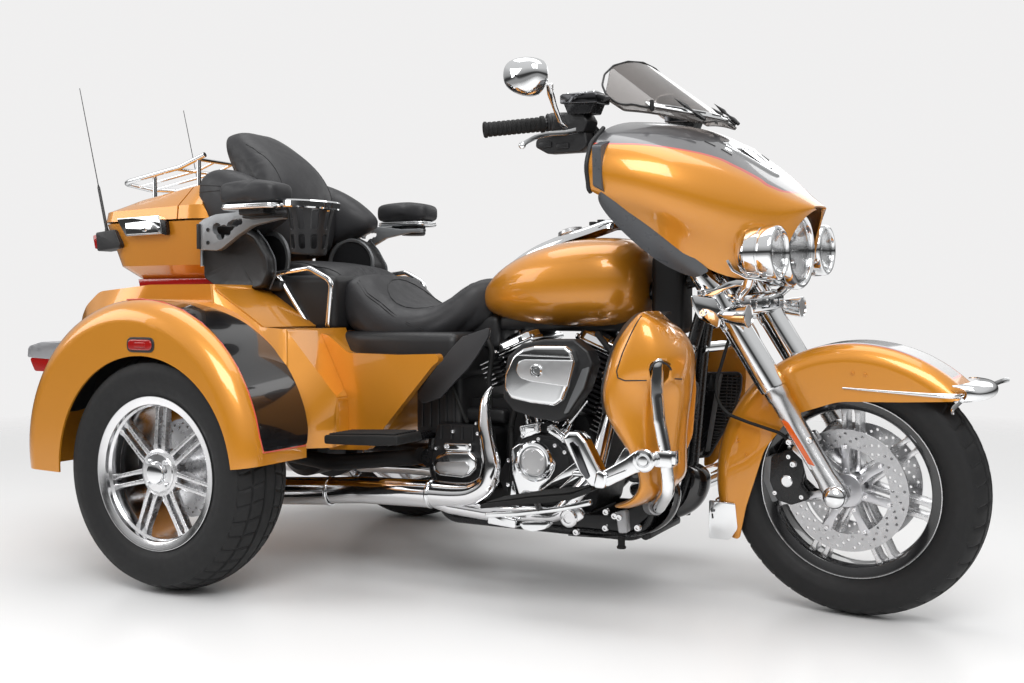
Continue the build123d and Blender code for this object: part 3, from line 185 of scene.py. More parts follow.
def turned(name, profile, foot, axis, steps=64, angle=30):
    """Shape spun from (radius, distance) pairs about an axis through foot; it closes where the radius is 0."""
    axis = Vector(axis).normalized()
    side = axis.orthogonal().normalized()
    clear_selection()
    bpy.ops.mesh.primitive_circle_add(vertices=len(profile), radius=1, fill_type="NOTHING")
    obj = bpy.context.object
    obj.name = name
    for vertex, (radius, distance) in zip(obj.data.vertices, profile):
        vertex.co = foot + side * (radius * MM) + axis * (distance * MM)
    only(obj)
    bpy.ops.object.mode_set(mode="EDIT")
    bpy.ops.mesh.select_all(action="SELECT")
    bpy.ops.mesh.spin(steps=steps, angle=2 * pi, center=foot, axis=axis, use_auto_merge=True)
    bpy.ops.object.mode_set(mode="OBJECT")
    flip_out(obj)
    smooth(obj, angle)
    return obj


def turned_y(name, profile, centre, steps=64, angle=30):
    """Wheel-like shape about a line along Y; the profile holds (radius, y station)."""
    foot = at(centre[0], 0, centre[2])
    return turned(name, profile, foot, (0, 1, 0), steps, angle)


def arc_path(points, bends, steps=6):
    """Open path with its inner corners rounded, in frame metres."""
    radii = bends if isinstance(bends, (list, tuple)) else [bends] * (len(points) - 2)
    spots = [Vector(p) for p in points]
    out = [spots[0]]
    for n in range(1, len(spots) - 1):
        before, after = spots[n - 1] - spots[n], spots[n + 1] - spots[n]
        turn = before.angle(after, pi)
        if radii[n - 1] <= 0 or turn > radians(178):
            out.append(spots[n])
            continue
        reach = min(radii[n - 1] * MM / tan(turn / 2), before.length * 0.49, after.length * 0.49)
        start, end = spots[n] + before.normalized() * reach, spots[n] + after.normalized() * reach
        for step in range(steps + 1):
            t = step / steps
            out.append(start * (1 - t) ** 2 + spots[n] * 2 * t * (1 - t) + end * t**2)
    out.append(spots[-1])
    return out


def tube(name, points, radius, bends=(), sides=6, taper=None):
    """Round bar along stations joined by arcs, closed at both ends."""
    path = arc_path([at(*p) for p in points], bends or [0] * max(len(points) - 2, 0))
    curve = bpy.data.curves.new(name, "CURVE")
    curve.dimensions = "3D"
    curve.bevel_depth = radius * MM
    curve.bevel_resolution = sides
    curve.use_fill_caps = True
    spline = curve.splines.new("POLY")
    spline.points.add(len(path) - 1)
    for n, (spot, point) in enumerate(zip(spline.points, path)):
        spot.co = (*point, 1)
        if taper:
            spot.radius = taper[n] if len(taper) > 2 else taper[0] + (taper[1] - taper[0]) * n / (len(path) - 1)
    obj = bpy.data.objects.new(name, curve)
    bpy.context.collection.objects.link(obj)
    only(obj)
    bpy.ops.object.convert(target="MESH")
    obj = bpy.context.object
    flip_out(obj)
    smooth(obj, 50)
    return obj


def rod(name, start, end, radius, sides=24, edge=0.6):
    """Plain round bar from one station to another with broken edges."""
    a, b = at(*start), at(*end)
    length = (b - a).length / MM
    profile = [(0, 0), (radius - edge, 0), (radius, edge), (radius, length - edge), (radius - edge, length),
        (0, length)]
    return turned(name, profile, a, b - a, sides)


def block(name, low, high, edge=2.0, segments=2):
    """Box between two corner stations with rounded edges."""
    clear_selection()
    a, b = at(*low), at(*high)
    bpy.ops.mesh.primitive_cube_add(size=1, location=(a + b) / 2, scale=b - a)
    obj = bpy.context.object
    obj.name = name
    bpy.ops.object.transform_apply(location=True, rotation=True, scale=True)
    bevel(obj, edge, segments)
    apply_all(obj)
    smooth(obj)
    return obj


def skin(name, rows, levels=2, wall=0.0, closed=False, caps=False, smooth_angle=60, offset=-1):
    """Surface through a net of stations: rows of equal length, bridged and subdivided, with an optional wall."""
    width = len(rows[0])
    points = [at(*p) for row in rows for p in row]
    faces = []
    for r in range(len(rows) - 1):
        for c in range(width if closed else width - 1):
            d = (c + 1) % width
            faces.append((r * width + c, r * width + d, (r + 1) * width + d, (r + 1) * width + c))
    if caps:
        faces.append(tuple(range(width))[::-1])
        faces.append(tuple(range((len(rows) - 1) * width, len(rows) * width)))
    mesh = bpy.data.meshes.new(name)
    mesh.from_pydata([tuple(p) for p in points], [], faces)
    obj = bpy.data.objects.new(name, mesh)
    bpy.context.collection.objects.link(obj)
    flip_out(obj)
    if levels:
        modifier = obj.modifiers.new("Round", "SUBSURF")
        modifier.levels = modifier.render_levels = levels
    if wall:
        modifier = obj.modifiers.new("Wall", "SOLIDIFY")
        modifier.thickness = wall * MM
        modifier.offset = offset
    apply_all(obj)
    smooth(obj, smooth_angle)
    return obj


def mirrored(obj, join=True):
    """Adds the mirror image on the other side of the trike, in the same mesh or as a copy of its own."""
    clear_selection()
    copy = obj.copy()
    copy.data = obj.data.copy()
    copy.name = obj.name + "_left"
    bpy.context.collection.objects.link(copy)
    copy.data.transform(Matrix.Scale(-1, 4, (0, 1, 0)))
    copy.data.flip_normals()
    if not join:
        return copy
    return joined(obj.name, [obj, copy])


def joined(name, objects):
    clear_selection()
    for obj in objects:
        obj.select_set(True)
    bpy.context.view_layer.objects.active = objects[0]
    bpy.ops.object.join()
    result = bpy.context.object
    result.name = name
    return result


def cut(obj, cutter, operation="DIFFERENCE"):
    modifier = obj.modifiers.new("Cut", "BOOLEAN")
    modifier.operation = operation
    modifier.solver = "EXACT"
    modifier.object = cutter
    only(obj)
    bpy.ops.object.modifier_apply(modifier=modifier.name)
    bpy.data.objects.remove(cutter)
    return obj


def cad_copy(name, node, angle=30):
    """Merged copy of a CAD node's mesh, to cut up or round off."""
    copy = NODES[node].copy()
    copy.data = NODES[node].data.copy()
    copy.name = name
    copy.parent = None
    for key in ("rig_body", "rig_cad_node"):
        del copy[key]
    bpy.context.collection.objects.link(copy)
    copy.data.materials.clear()
    flip_out(copy)
    smooth(copy, angle)
    return copy


def finish_piece(obj, material, body, replaces=(), steered=False):
    """Gives a piece its material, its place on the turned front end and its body."""
    if steered:
        obj.data.transform(STEER)
    if material:
        obj.data.materials.clear()
        obj.data.materials.append(bpy.data.materials[material])
    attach(obj, body)
    if replaces:
        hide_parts(*replaces)
    return obj


# --- finishes ---------------------------------------------------------------------------------------------------
class Finish:
    """Small node tree builder round one shader."""

    def __init__(self, name, color, metallic=0.0, roughness=0.5, coat=0.0, specular=0.5, ior=1.45):
        packed = bpy.data.materials.get(name)
        if packed:
            packed.name = name + "_packed"
        self.material = bpy.data.materials.new(name)
        self.material.use_nodes = True
        self.nodes = self.material.node_tree.nodes
        self.links = self.material.node_tree.links
        self.shader = self.nodes["Principled BSDF"]
        self.place = self.nodes.new("ShaderNodeTexCoord")
        self.color = (*color, 1)
        self.set("Base Color", self.color)
        self.set("Metallic", metallic)
        self.set("Roughness", roughness)
        self.set("Coat Weight", coat)
        self.set("Coat Roughness", 0.03)
        self.set("Specular IOR Level", specular)
        self.set("IOR", ior)
        self.material.diffuse_color = self.color

    def set(self, socket, value):
        self.shader.inputs[socket].default_value = value

    def noise(self, scale, detail=4, rough=0.55, stretch=(1, 1, 1)):
        node = self.nodes.new("ShaderNodeTexNoise")
        node.inputs["Scale"].default_value = scale
        node.inputs["Detail"].default_value = detail
        node.inputs["Roughness"].default_value = rough
        turn = self.nodes.new("ShaderNodeMapping")
        turn.inputs["Scale"].default_value = stretch
        self.links.new(self.place.outputs["Object"], turn.inputs["Vector"])
        self.links.new(turn.outputs["Vector"], node.inputs["Vector"])
        return node.outputs["Fac"]

    def cells(self, scale, feature="F1", stretch=(1, 1, 1)):
        node = self.nodes.new("ShaderNodeTexVoronoi")
        node.feature = feature
        node.inputs["Scale"].default_value = scale
        turn = self.nodes.new("ShaderNodeMapping")
        turn.inputs["Scale"].default_value = stretch
        self.links.new(self.place.outputs["Object"], turn.inputs["Vector"])
        self.links.new(turn.outputs["Vector"], node.inputs["Vector"])
        return node.outputs["Distance"]

    def stations(self, steered):
        """Sockets of x, y and z in the frame, with the parked turn of the front end taken out."""
        split = self.nodes.new("ShaderNodeSeparateXYZ")
        source = self.place.outputs["Object"]
        if steered:
            back = STEER.inverted()
            turn = self.nodes.new("ShaderNodeMapping")
            turn.inputs["Rotation"].default_value = back.to_euler("XYZ")
            turn.inputs["Location"].default_value = back.to_translation()
            self.links.new(source, turn.inputs["Vector"])
            source = turn.outputs["Vector"]
        self.links.new(source, split.inputs["Vector"])
        return split.outputs["X"], split.outputs["Y"], split.outputs["Z"]

    def math(self, operation, first, second=0.0):
        node = self.nodes.new("ShaderNodeMath")
        node.operation = operation
        for socket, value in zip(node.inputs, (first, second)):
            if isinstance(value, (int, float)):
                socket.default_value = value
            else:
                self.links.new(value, socket)
        return node.outputs[0]

    def line(self, source, points):
        """Height of a smooth line through (position, height) pairs in metres, at the source's position."""
        low, high = points[0][0], points[-1][0]
        floor, top = min(p[1] for p in points), max(p[1] for p in points)
        node = self.nodes.new("ShaderNodeFloatCurve")
        curve = node.mapping.curves[0]
        for n, (position, height) in enumerate(points):
            spot = ((position - low) / (high - low), (height - floor) / (top - floor))
            if n in (0, len(points) - 1):
                curve.points[0 if n == 0 else -1].location = spot
            else:
                curve.points.new(*spot)
        node.mapping.update()
        self.links.new(self.spread(source, low, high, 0, 1), node.inputs["Value"])
        return self.spread(node.outputs["Value"], 0, 1, floor, top)

    def mix(self, factor, first, second):
        node = self.nodes.new("ShaderNodeMix")
        node.data_type = "RGBA"
        self.links.new(factor, node.inputs["Factor"])
        for socket, value in zip((node.inputs[6], node.inputs[7]), (first, second)):
            if isinstance(value, tuple):
                socket.default_value = (*value, 1)
            else:
                self.links.new(value, socket)
        return node.outputs[2]

    def two_tone(self, gap, crown, pin, half_line=0.0016):
        """Crown paint where the gap is positive, the base paint elsewhere, and a pinstripe along the join."""
        blend = 0.0003
        over = self.spread(gap, -blend, blend, 0, 1)
        edge = self.spread(self.math("ABSOLUTE", gap), half_line, half_line + blend, 1, 0)
        flake = self.noise(900, 2)
        base = self.mix(flake, tuple(c * 0.92 for c in self.color[:3]),
            tuple(min(c * 1.08, 1) for c in self.color[:3]))
        top = self.mix(flake, tuple(c * 0.85 for c in crown), tuple(c * 1.2 for c in crown))
        self.links.new(self.mix(edge, self.mix(over, base, top), tuple(pin)), self.shader.inputs["Base Color"])
        return self

    def spread(self, source, low, high, to_low, to_high):
        node = self.nodes.new("ShaderNodeMapRange")
        for socket, value in zip(("From Min", "From Max", "To Min", "To Max"), (low, high, to_low, to_high)):
            node.inputs[socket].default_value = value
        self.links.new(source, node.inputs["Value"])
        return node.outputs["Result"]

    def tint(self, source, dark, light):
        """Base colour runs from dark to light times itself with the source."""
        ramp = self.nodes.new("ShaderNodeValToRGB")
        for element, factor in zip(ramp.color_ramp.elements, (dark, light)):
            element.color = (*[min(c * factor, 1) for c in self.color[:3]], 1)
        self.links.new(source, ramp.inputs["Fac"])
        self.links.new(ramp.outputs["Color"], self.shader.inputs["Base Color"])
        return self

    def rough(self, source, low, high):
        self.links.new(self.spread(source, 0.25, 0.75, low, high), self.shader.inputs["Roughness"])
        return self

    def bump(self, source, strength, depth=0.001):
        node = self.nodes.new("ShaderNodeBump")
        node.inputs["Strength"].default_value = strength
        node.inputs["Distance"].default_value = depth
        self.links.new(source, node.inputs["Height"])
        self.links.new(node.outputs["Normal"], self.shader.inputs["Normal"])
        return self


def paint(name, color, metallic=0.35, roughness=0.32, flakes=0.05):
    """Clear-coated car paint with fine metallic flake and a slight unevenness."""
    finish = Finish(name, color, metallic=metallic, roughness=roughness, coat=1.0)
    finish.tint(finish.noise(900, 2), 1 - flakes * 2, 1 + flakes * 2)
    finish.rough(finish.noise(2500, 1), roughness - 0.06, roughness + 0.08)
    finish.bump(finish.noise(160, 2), 0.012, 0.0005)
    return finish


def bright(name, color, roughness, spread=0.03, scale=40, stretch=(1, 1, 1)):
    """Plated or polished metal with faint smears."""
    finish = Finish(name, color, metallic=1.0, roughness=roughness)
    finish.rough(finish.noise(scale, 5, stretch=stretch), max(roughness - spread, 0.01), roughness + spread)
    finish.tint(finish.noise(scale * 0.3, 3), 0.94, 1.03)
    finish.bump(finish.noise(scale * 6, 3, stretch=stretch), 0.02, 0.0004)
    return finish


def dull(name, color, roughness, grain=900, depth=0.12, metallic=0.0, specular=0.5):
    """Moulded plastic, cast or powder-coated surface with an even grain."""
    finish = Finish(name, color, metallic=metallic, roughness=roughness, specular=specular)
    finish.tint(finish.noise(18, 4), 0.85, 1.15)
    finish.rough(finish.noise(60, 3), roughness - 0.06, roughness + 0.08)
    finish.bump(finish.noise(grain, 2), depth, 0.0005)
    return finish


def hide(name, color, roughness=0.48, grain=520):
    """Smooth motorcycle seat vinyl: pebbled grain with fine creases."""
    finish = Finish(name, color, roughness=roughness, specular=0.45)
    pebble = finish.cells(grain)
    crease = finish.noise(70, 6, 0.6)
    mix = finish.nodes.new("ShaderNodeMath")
    mix.operation = "MULTIPLY_ADD"
    mix.inputs[1].default_value = 0.6
    finish.links.new(crease, mix.inputs[0])
    finish.links.new(pebble, mix.inputs[2])
    finish.tint(finish.noise(9, 5), 0.8, 1.25)
    finish.rough(finish.noise(30, 4), roughness - 0.08, roughness + 0.1)
    finish.bump(mix.outputs[0], 0.22, 0.0006)
    return finish


def lens(name, color, roughness=0.06, ior=1.5, alpha=1.0, transmission=0.9):
    finish = Finish(name, color, roughness=roughness, coat=0.6, ior=ior)
    finish.set("Transmission Weight", transmission)
    finish.set("Alpha", alpha)
    finish.bump(finish.cells(160), 0.15, 0.001)
    return finish


AMBER = (0.64, 0.25, 0.017)
CROWN_GREY = (0.10, 0.10, 0.105)
PIN_RED = (0.62, 0.07, 0.05)

# Height of the join between the two paints along the fairing, and half its width along the front fender.
FAIRING_JOIN = (
    (1100, 1176), (1157, 1174), (1205, 1170), (1282, 1163), (1352, 1149), (1400, 1133), (1440, 1110), (1482, 1081),
    (1515, 1056), (1540, 1045), (1600, 1043),
)
FENDER_JOIN = ((1450, 10), (1540, 40), (1600, 52), (1750, 56), (1850, 50), (1920, 38), (1950, 20), (1962, 0),
    (2000, -60))


def split_paints(colours):
    fairing = Finish("fairing_paint", tuple(colours.amber), metallic=0.35, roughness=0.32, coat=1.0)
    x, y, z = fairing.stations(True)
    join = [(px * MM + REAR_AXLE_X, pz * MM) for px, pz in FAIRING_JOIN]
    fairing.two_tone(fairing.math("SUBTRACT", z, fairing.line(x, join)), tuple(colours.crown),
        tuple(colours.pinstripe))
    fairing.bump(fairing.noise(160, 2), 0.012, 0.0005)
    fender = Finish("fender_paint", tuple(colours.amber), metallic=0.35, roughness=0.32, coat=1.0)
    x, y, z = fender.stations(True)
    join = [(px * MM + REAR_AXLE_X, half * MM) for px, half in FENDER_JOIN]
    across = fender.math("SUBTRACT", fender.line(x, join), fender.math("ABSOLUTE", y))
    gap = fender.math("MINIMUM", across, fender.math("SUBTRACT", z, 0.6))
    fender.two_tone(gap, tuple(colours.crown), tuple(colours.pinstripe))
    fender.bump(fender.noise(160, 2), 0.012, 0.0005)


def make_finishes(colours):
    paint("amber_paint", colours.amber)
    paint("crown_grey_paint", colours.crown, metallic=0.6, roughness=0.35)
    paint("pinstripe_red", colours.pinstripe, metallic=0.0)
    split_paints(colours)
    dull("edge_rubber", (0.02, 0.02, 0.021), 0.5, 600, 0.1, specular=0.35)
    bright("slider_alloy", (0.70, 0.70, 0.71), 0.24, 0.04, 50)
    paint("black_gloss_paint", (0.006, 0.006, 0.007), metallic=0.0, roughness=0.2, flakes=0.02)
    bright("chrome_plate", (0.86, 0.87, 0.88), 0.05)
    bright("polished_alloy", (0.80, 0.80, 0.81), 0.16, 0.05, 60)
    bright("machined_alloy", (0.72, 0.72, 0.73), 0.28, 0.06, 90)
    bright("silver_paint", (0.62, 0.62, 0.64), 0.34, 0.05, 120)
    bright("disc_steel", (0.52, 0.52, 0.53), 0.30, 0.08, 70)
    bright("pipe_chrome", (0.82, 0.82, 0.83), 0.08, 0.04, 25)
    dull("black_cast", (0.012, 0.012, 0.013), 0.42, 1400, 0.2, specular=0.4)
    dull("black_steel", (0.008, 0.008, 0.009), 0.26, 700, 0.04)
    dull("black_plastic", (0.014, 0.014, 0.015), 0.44, 1600, 0.18)
    dull("grey_plastic", (0.075, 0.08, 0.088), 0.3, 1200, 0.04)
    dull("bracket_grey", (0.16, 0.165, 0.17), 0.42, 1000, 0.1, metallic=0.5)
    dull("board_rubber", (0.012, 0.012, 0.012), 0.62, 500, 0.3, specular=0.3)
    dull("tyre_rubber", (0.013, 0.013, 0.0135), 0.58, 420, 0.22, specular=0.35)
    hide("seat_vinyl", (0.022, 0.022, 0.024))
    dull("speaker_cloth", (0.008, 0.008, 0.009), 0.75, 1100, 0.5, specular=0.2)
    lens("clear_lens", (0.95, 0.95, 0.95), transmission=1.0)
    dull("rest_grey", (0.27, 0.28, 0.29), 0.36, 1000, 0.1, metallic=0.4)
    dull("grey_black", (0.032, 0.032, 0.034), 0.42, 1300, 0.16)
    bright("satin_alloy", (0.60, 0.60, 0.605), 0.36, 0.05, 80)
    dull("cast_alloy", (0.40, 0.40, 0.41), 0.4, 1200, 0.2, metallic=0.8)
    dull("signal_lens", (0.34, 0.35, 0.36), 0.22, 900, 0.25, specular=0.6)
    bright("black_chrome", (0.10, 0.10, 0.105), 0.1, 0.03, 30)
    bright("mirror_silver", (0.93, 0.93, 0.94), 0.01, 0.005, 10)
    lens("red_lens", (0.42, 0.01, 0.008), 0.12, transmission=0.25)
    lens("amber_lens", (0.75, 0.12, 0.01), 0.15, transmission=0.2)
    smoke = Finish("smoked_screen", (0.28, 0.25, 0.235), roughness=0.04, ior=1.3, coat=0.5)
    smoke.set("Transmission Weight", 0.85)
    smoke.rough(smoke.noise(14, 3), 0.02, 0.07)


CAD_FINISH = {
    "frame": "black_steel",
    "rear_axle": "black_cast",
    "shock_absorbers": "black_steel",
    "engine_cases": "black_cast",
    "cylinders": "black_cast",
    "rocker_covers": "chrome_plate",
    "pushrod_tubes": "chrome_plate",
    "drive_covers": "chrome_plate",
    "air_cleaner": "chrome_plate",
    "exhaust": "pipe_chrome",
    "fuel_tank": "amber_paint",
    "tank_console": "chrome_plate",
    "rider_saddle": "seat_vinyl",
    "passenger_seat": "seat_vinyl",
    "backrest": "seat_vinyl",
    "trunk_body": "amber_paint",
    "trunk_door": "amber_paint",
    "rear_fenders": "amber_paint",
    "side_covers": "amber_paint",
    "rear_lamps": "red_lens",
    "footboards": "board_rubber",
    "top_box_tub": "amber_paint",
    "top_box_lid": "amber_paint",
    "lid_rack": "chrome_plate",
    "speaker_pods": "black_plastic",
    "armrests": "black_plastic",
    "grab_rails": "chrome_plate",
    "lower_fairings": "amber_paint",
    "radiators": "black_cast",
    "engine_guard": "chrome_plate",
    "chin_cover": "black_plastic",
    "foot_controls": "chrome_plate",
    "rear_rim_right": "machined_alloy",
    "rear_tyre_right": "tyre_rubber",
    "rear_rim_left": "machined_alloy",
    "rear_tyre_left": "tyre_rubber",
    "front_rim": "machined_alloy",
    "front_tyre": "tyre_rubber",
    "front_fork": "chrome_plate",
    "brake_calipers": "black_cast",
    "front_fender": "fender_paint",
    "fork_fairing": "amber_paint",
    "inner_fairing": "grey_plastic",
    "windshield": "smoked_screen",
    "screen_trim": "chrome_plate",
    "headlamp": "chrome_plate",
    "lamp_bar": "chrome_plate",
    "handlebar": "black_steel",
    "mirrors": "chrome_plate",
}


# --- properties -------------------------------------------------------------------------------------------------
class TrikeColours(bpy.types.PropertyGroup):
    amber: bpy.props.FloatVectorProperty(
        name="Body paint", description="Main paint of the fenders, fairing, tank and touring case",
        default=AMBER, subtype="COLOR", min=0, max=1)
    crown: bpy.props.FloatVectorProperty(
        name="Crown paint", description="Second paint on top of the fairing and the front fender",
        default=CROWN_GREY, subtype="COLOR", min=0, max=1)
    pinstripe: bpy.props.FloatVectorProperty(
        name="Pinstripe", description="Thin line between the two paints",
        default=PIN_RED, subtype="COLOR", min=0, max=1)
    floor: bpy.props.FloatVectorProperty(
        name="Floor", description="Studio floor and backdrop",
        default=(0.80, 0.80, 0.80), subtype="COLOR", min=0, max=1)


class TrikeSizes(bpy.types.PropertyGroup):
    lens_length: bpy.props.FloatProperty(
        name="Camera lens", description="Focal length of the studio camera, in millimetres",
        default=38.99, min=10, max=300)


# --- wheels -----------------------------------------------------------------------------------------------------
FRONT_HUB = (1670, 0, 320)
FRONT_SEAT_R, FRONT_RIM_HALF = 206, 47
REAR_HUB = (0, -590, 321.5)
REAR_SEAT_R, REAR_RIM_HALF = 190.5, 90
SPOKE_PAIRS = 7
GROOVE = 5.0


def from_net(name, points, faces):
    """Mesh object from stations and faces."""
    mesh = bpy.data.meshes.new(name)
    mesh.from_pydata([tuple(at(*p)) for p in points], [], faces)
    obj = bpy.data.objects.new(name, mesh)
    bpy.context.collection.objects.link(obj)
    return obj


def tyre(name, centre, radius, width, seat_r, rim_half, pitches, rings, slant):
    """Tyre with moulded sidewall ribs and real grooves between its tread blocks."""
    half, seat = width / 2, rim_half - 4.5
    bead_r, crown_r = seat_r + 16.5, radius - 0.22 * (radius - seat_r)
    sag, chord = radius - crown_r, 0.93 * half
    arc = (chord**2 + sag**2) / (2 * sag)
    wall = []
    for n in range(15):
        t = n / 14
        y = seat * (1 - t) * (1 - 2 * t) + half * 4 * t * (1 - t) + chord * t * (2 * t - 1)
        rib = 0.9 if n in (2, 3, 10) else 0
        wall.append((bead_r + (crown_r - bead_r) * t, min(y + rib, half)))
    lines = sorted({-chord, chord, *[ring * half + edge for ring in rings for edge in (-4.2, -2.6, 2.6, 4.2)]})
    tread = []
    for low, high in zip(lines, lines[1:]):
        steps = max(int((high - low) / 6), 1)
        tread += [low + (high - low) * n / steps for n in range(steps)]
    tread.append(chord)
    count = pitches * 7
    grid = []
    for k in range(count):
        turn = 2 * pi * k / count
        row = [(r, -y, turn) for r, y in wall]
        for y in tread[1:-1]:
            base = radius - arc + sqrt(arc**2 - y**2)
            base -= 5 * max((abs(y) - 0.8 * half) / (0.13 * half), 0) ** 2
            ring = any(abs(y - line * half) < 3 for line in rings)
            cross = k % 7 == (0 if y < 0 else 3) and abs(y) > 0.2 * half
            depth = GROOVE if ring else (GROOVE * 0.8 if cross else 0)
            row.append((base - depth, y, turn + slant * y / half * (1 if y < 0 else -1)))
        row += [(r, y, turn) for r, y in reversed(wall)]
        row += [(seat_r + 1, seat, turn), (seat_r + 1, -seat, turn)]
        grid.append(row)
    width_n = len(grid[0])
    points = [(centre[0] + r * cos(a), centre[1] + y, centre[2] + r * sin(a)) for row in grid for r, y, a in row]
    faces = []
    for k in range(count):
        m = (k + 1) % count
        for c in range(width_n):
            d = (c + 1) % width_n
            faces.append((k * width_n + c, k * width_n + d, m * width_n + d, m * width_n + c))
    obj = from_net(name, points, faces)
    flip_out(obj)
    smooth(obj, 28)
    return obj


def beam(name, rows, edge=1.5, segments=2):
    """Solid bar lofted through four-cornered sections, with rounded edges."""
    points = [p for row in rows for p in row]
    faces = [(0, 1, 2, 3), tuple(len(points) - 4 + n for n in (3, 2, 1, 0))]
    for r in range(len(rows) - 1):
        for c in range(4):
            d = (c + 1) % 4
            faces.append((r * 4 + c, r * 4 + d, r * 4 + 4 + d, r * 4 + 4 + c))
    obj = from_net(name, points, faces)
    flip_out(obj)
    bevel(obj, edge, segments)
    apply_all(obj)
    smooth(obj)
    return obj


def turn_copies(obj, count, centre, name, first=0.0, join=True):
    """Copies of a piece spun evenly about the line along Y through centre."""
    foot = at(*centre)
    copies = [obj]
    base = obj.data.copy()
    for n in range(1, count):
        copy = bpy.data.objects.new(name, base.copy())
        bpy.context.collection.objects.link(copy)
        place = Matrix.Translation(foot) @ Matrix.Rotation(2 * pi * n / count, 4, "Y") @ Matrix.Translation(-foot)
        copy.data.transform(place)
        copies.append(copy)
    result = joined(name, copies) if join else copies
    if first:
        place = Matrix.Translation(foot) @ Matrix.Rotation(first, 4, "Y") @ Matrix.Translation(-foot)
        result.data.transform(place)
    return result


def spoke_pairs(name, centre, r_in, r_out, face_in, face_out, depth_in, depth_out, width, pitch):
    """Pairs of parallel cast spokes; face is the outer station across the wheel and depth runs inwards."""
    x, y, z = centre
    bars = []
    for side in (-1, 1):
        rows = []
        for r, face, depth, flare in (
            (r_in, face_in, depth_in, 1.2),
            (r_in + 0.25 * (r_out - r_in), face_in * 0.85 + face_out * 0.15, depth_in, 1.0),
            (r_out - 14, face_out, depth_out, 0.9),
            (r_out, face_out, depth_out, 1.5),
        ):
            mid, half = side * pitch / 2, width / 2 * flare
            rows.append([
                (x + mid - half, y + face, z + r),
                (x + mid + half, y + face, z + r),
                (x + mid + half * 1.15, y + face + depth, z + r),
                (x + mid - half * 1.15, y + face + depth, z + r),
            ])
        bars.append(beam("spoke", rows, 2.0, 3))
    return turn_copies(joined("spoke", bars), SPOKE_PAIRS, centre, name)


def bolts(name, spots, radius, height, axis=(0, -1, 0), recess=True):
    """Button-headed bolts with a hexagon socket, at stations along one axis."""
    heads = []
    for spot in spots:
        profile = [(0, -2), (radius, -2), (radius, height * 0.45), (radius * 0.82, height), (radius * 0.5, height)]
        if recess:
            profile += [(radius * 0.46, height * 0.4), (0, height * 0.4)]
        else:
            profile += [(0, height)]
        heads.append(turned(name, profile, at(*spot), axis, 18))
    return joined(name, heads)


def ring_of(centre, radius, count, y, first=0.0):
    return [
        (centre[0] + radius * sin(first + 2 * pi * n / count), y,
        centre[2] + radius * cos(first + 2 * pi * n / count))
        for n in range(count)
    ]


def brake_disc(name, centre, y_mid, r_out, r_in, thick, holes):
    """Drilled disc; holes lists (radius, count, first angle)."""
    half = thick / 2
    profile = [(r_in, y_mid - half), (r_out, y_mid - half), (r_out, y_mid + half), (r_in, y_mid + half)]
    disc = turned_y(name, profile, centre, 96)
    drills = []
    for radius, count, first in holes:
        for spot in ring_of(centre, radius, count, y_mid, radians(first)):
            clear_selection()
            bpy.ops.mesh.primitive_cylinder_add(
                vertices=12, radius=3.6 * MM, depth=3 * thick * MM, location=at(*spot), rotation=(pi / 2, 0, 0))
            drills.append(bpy.context.object)
    drill = joined("drill", drills)
    apply_all(drill)
    cut(disc, drill)
    smooth(disc)
    return disc


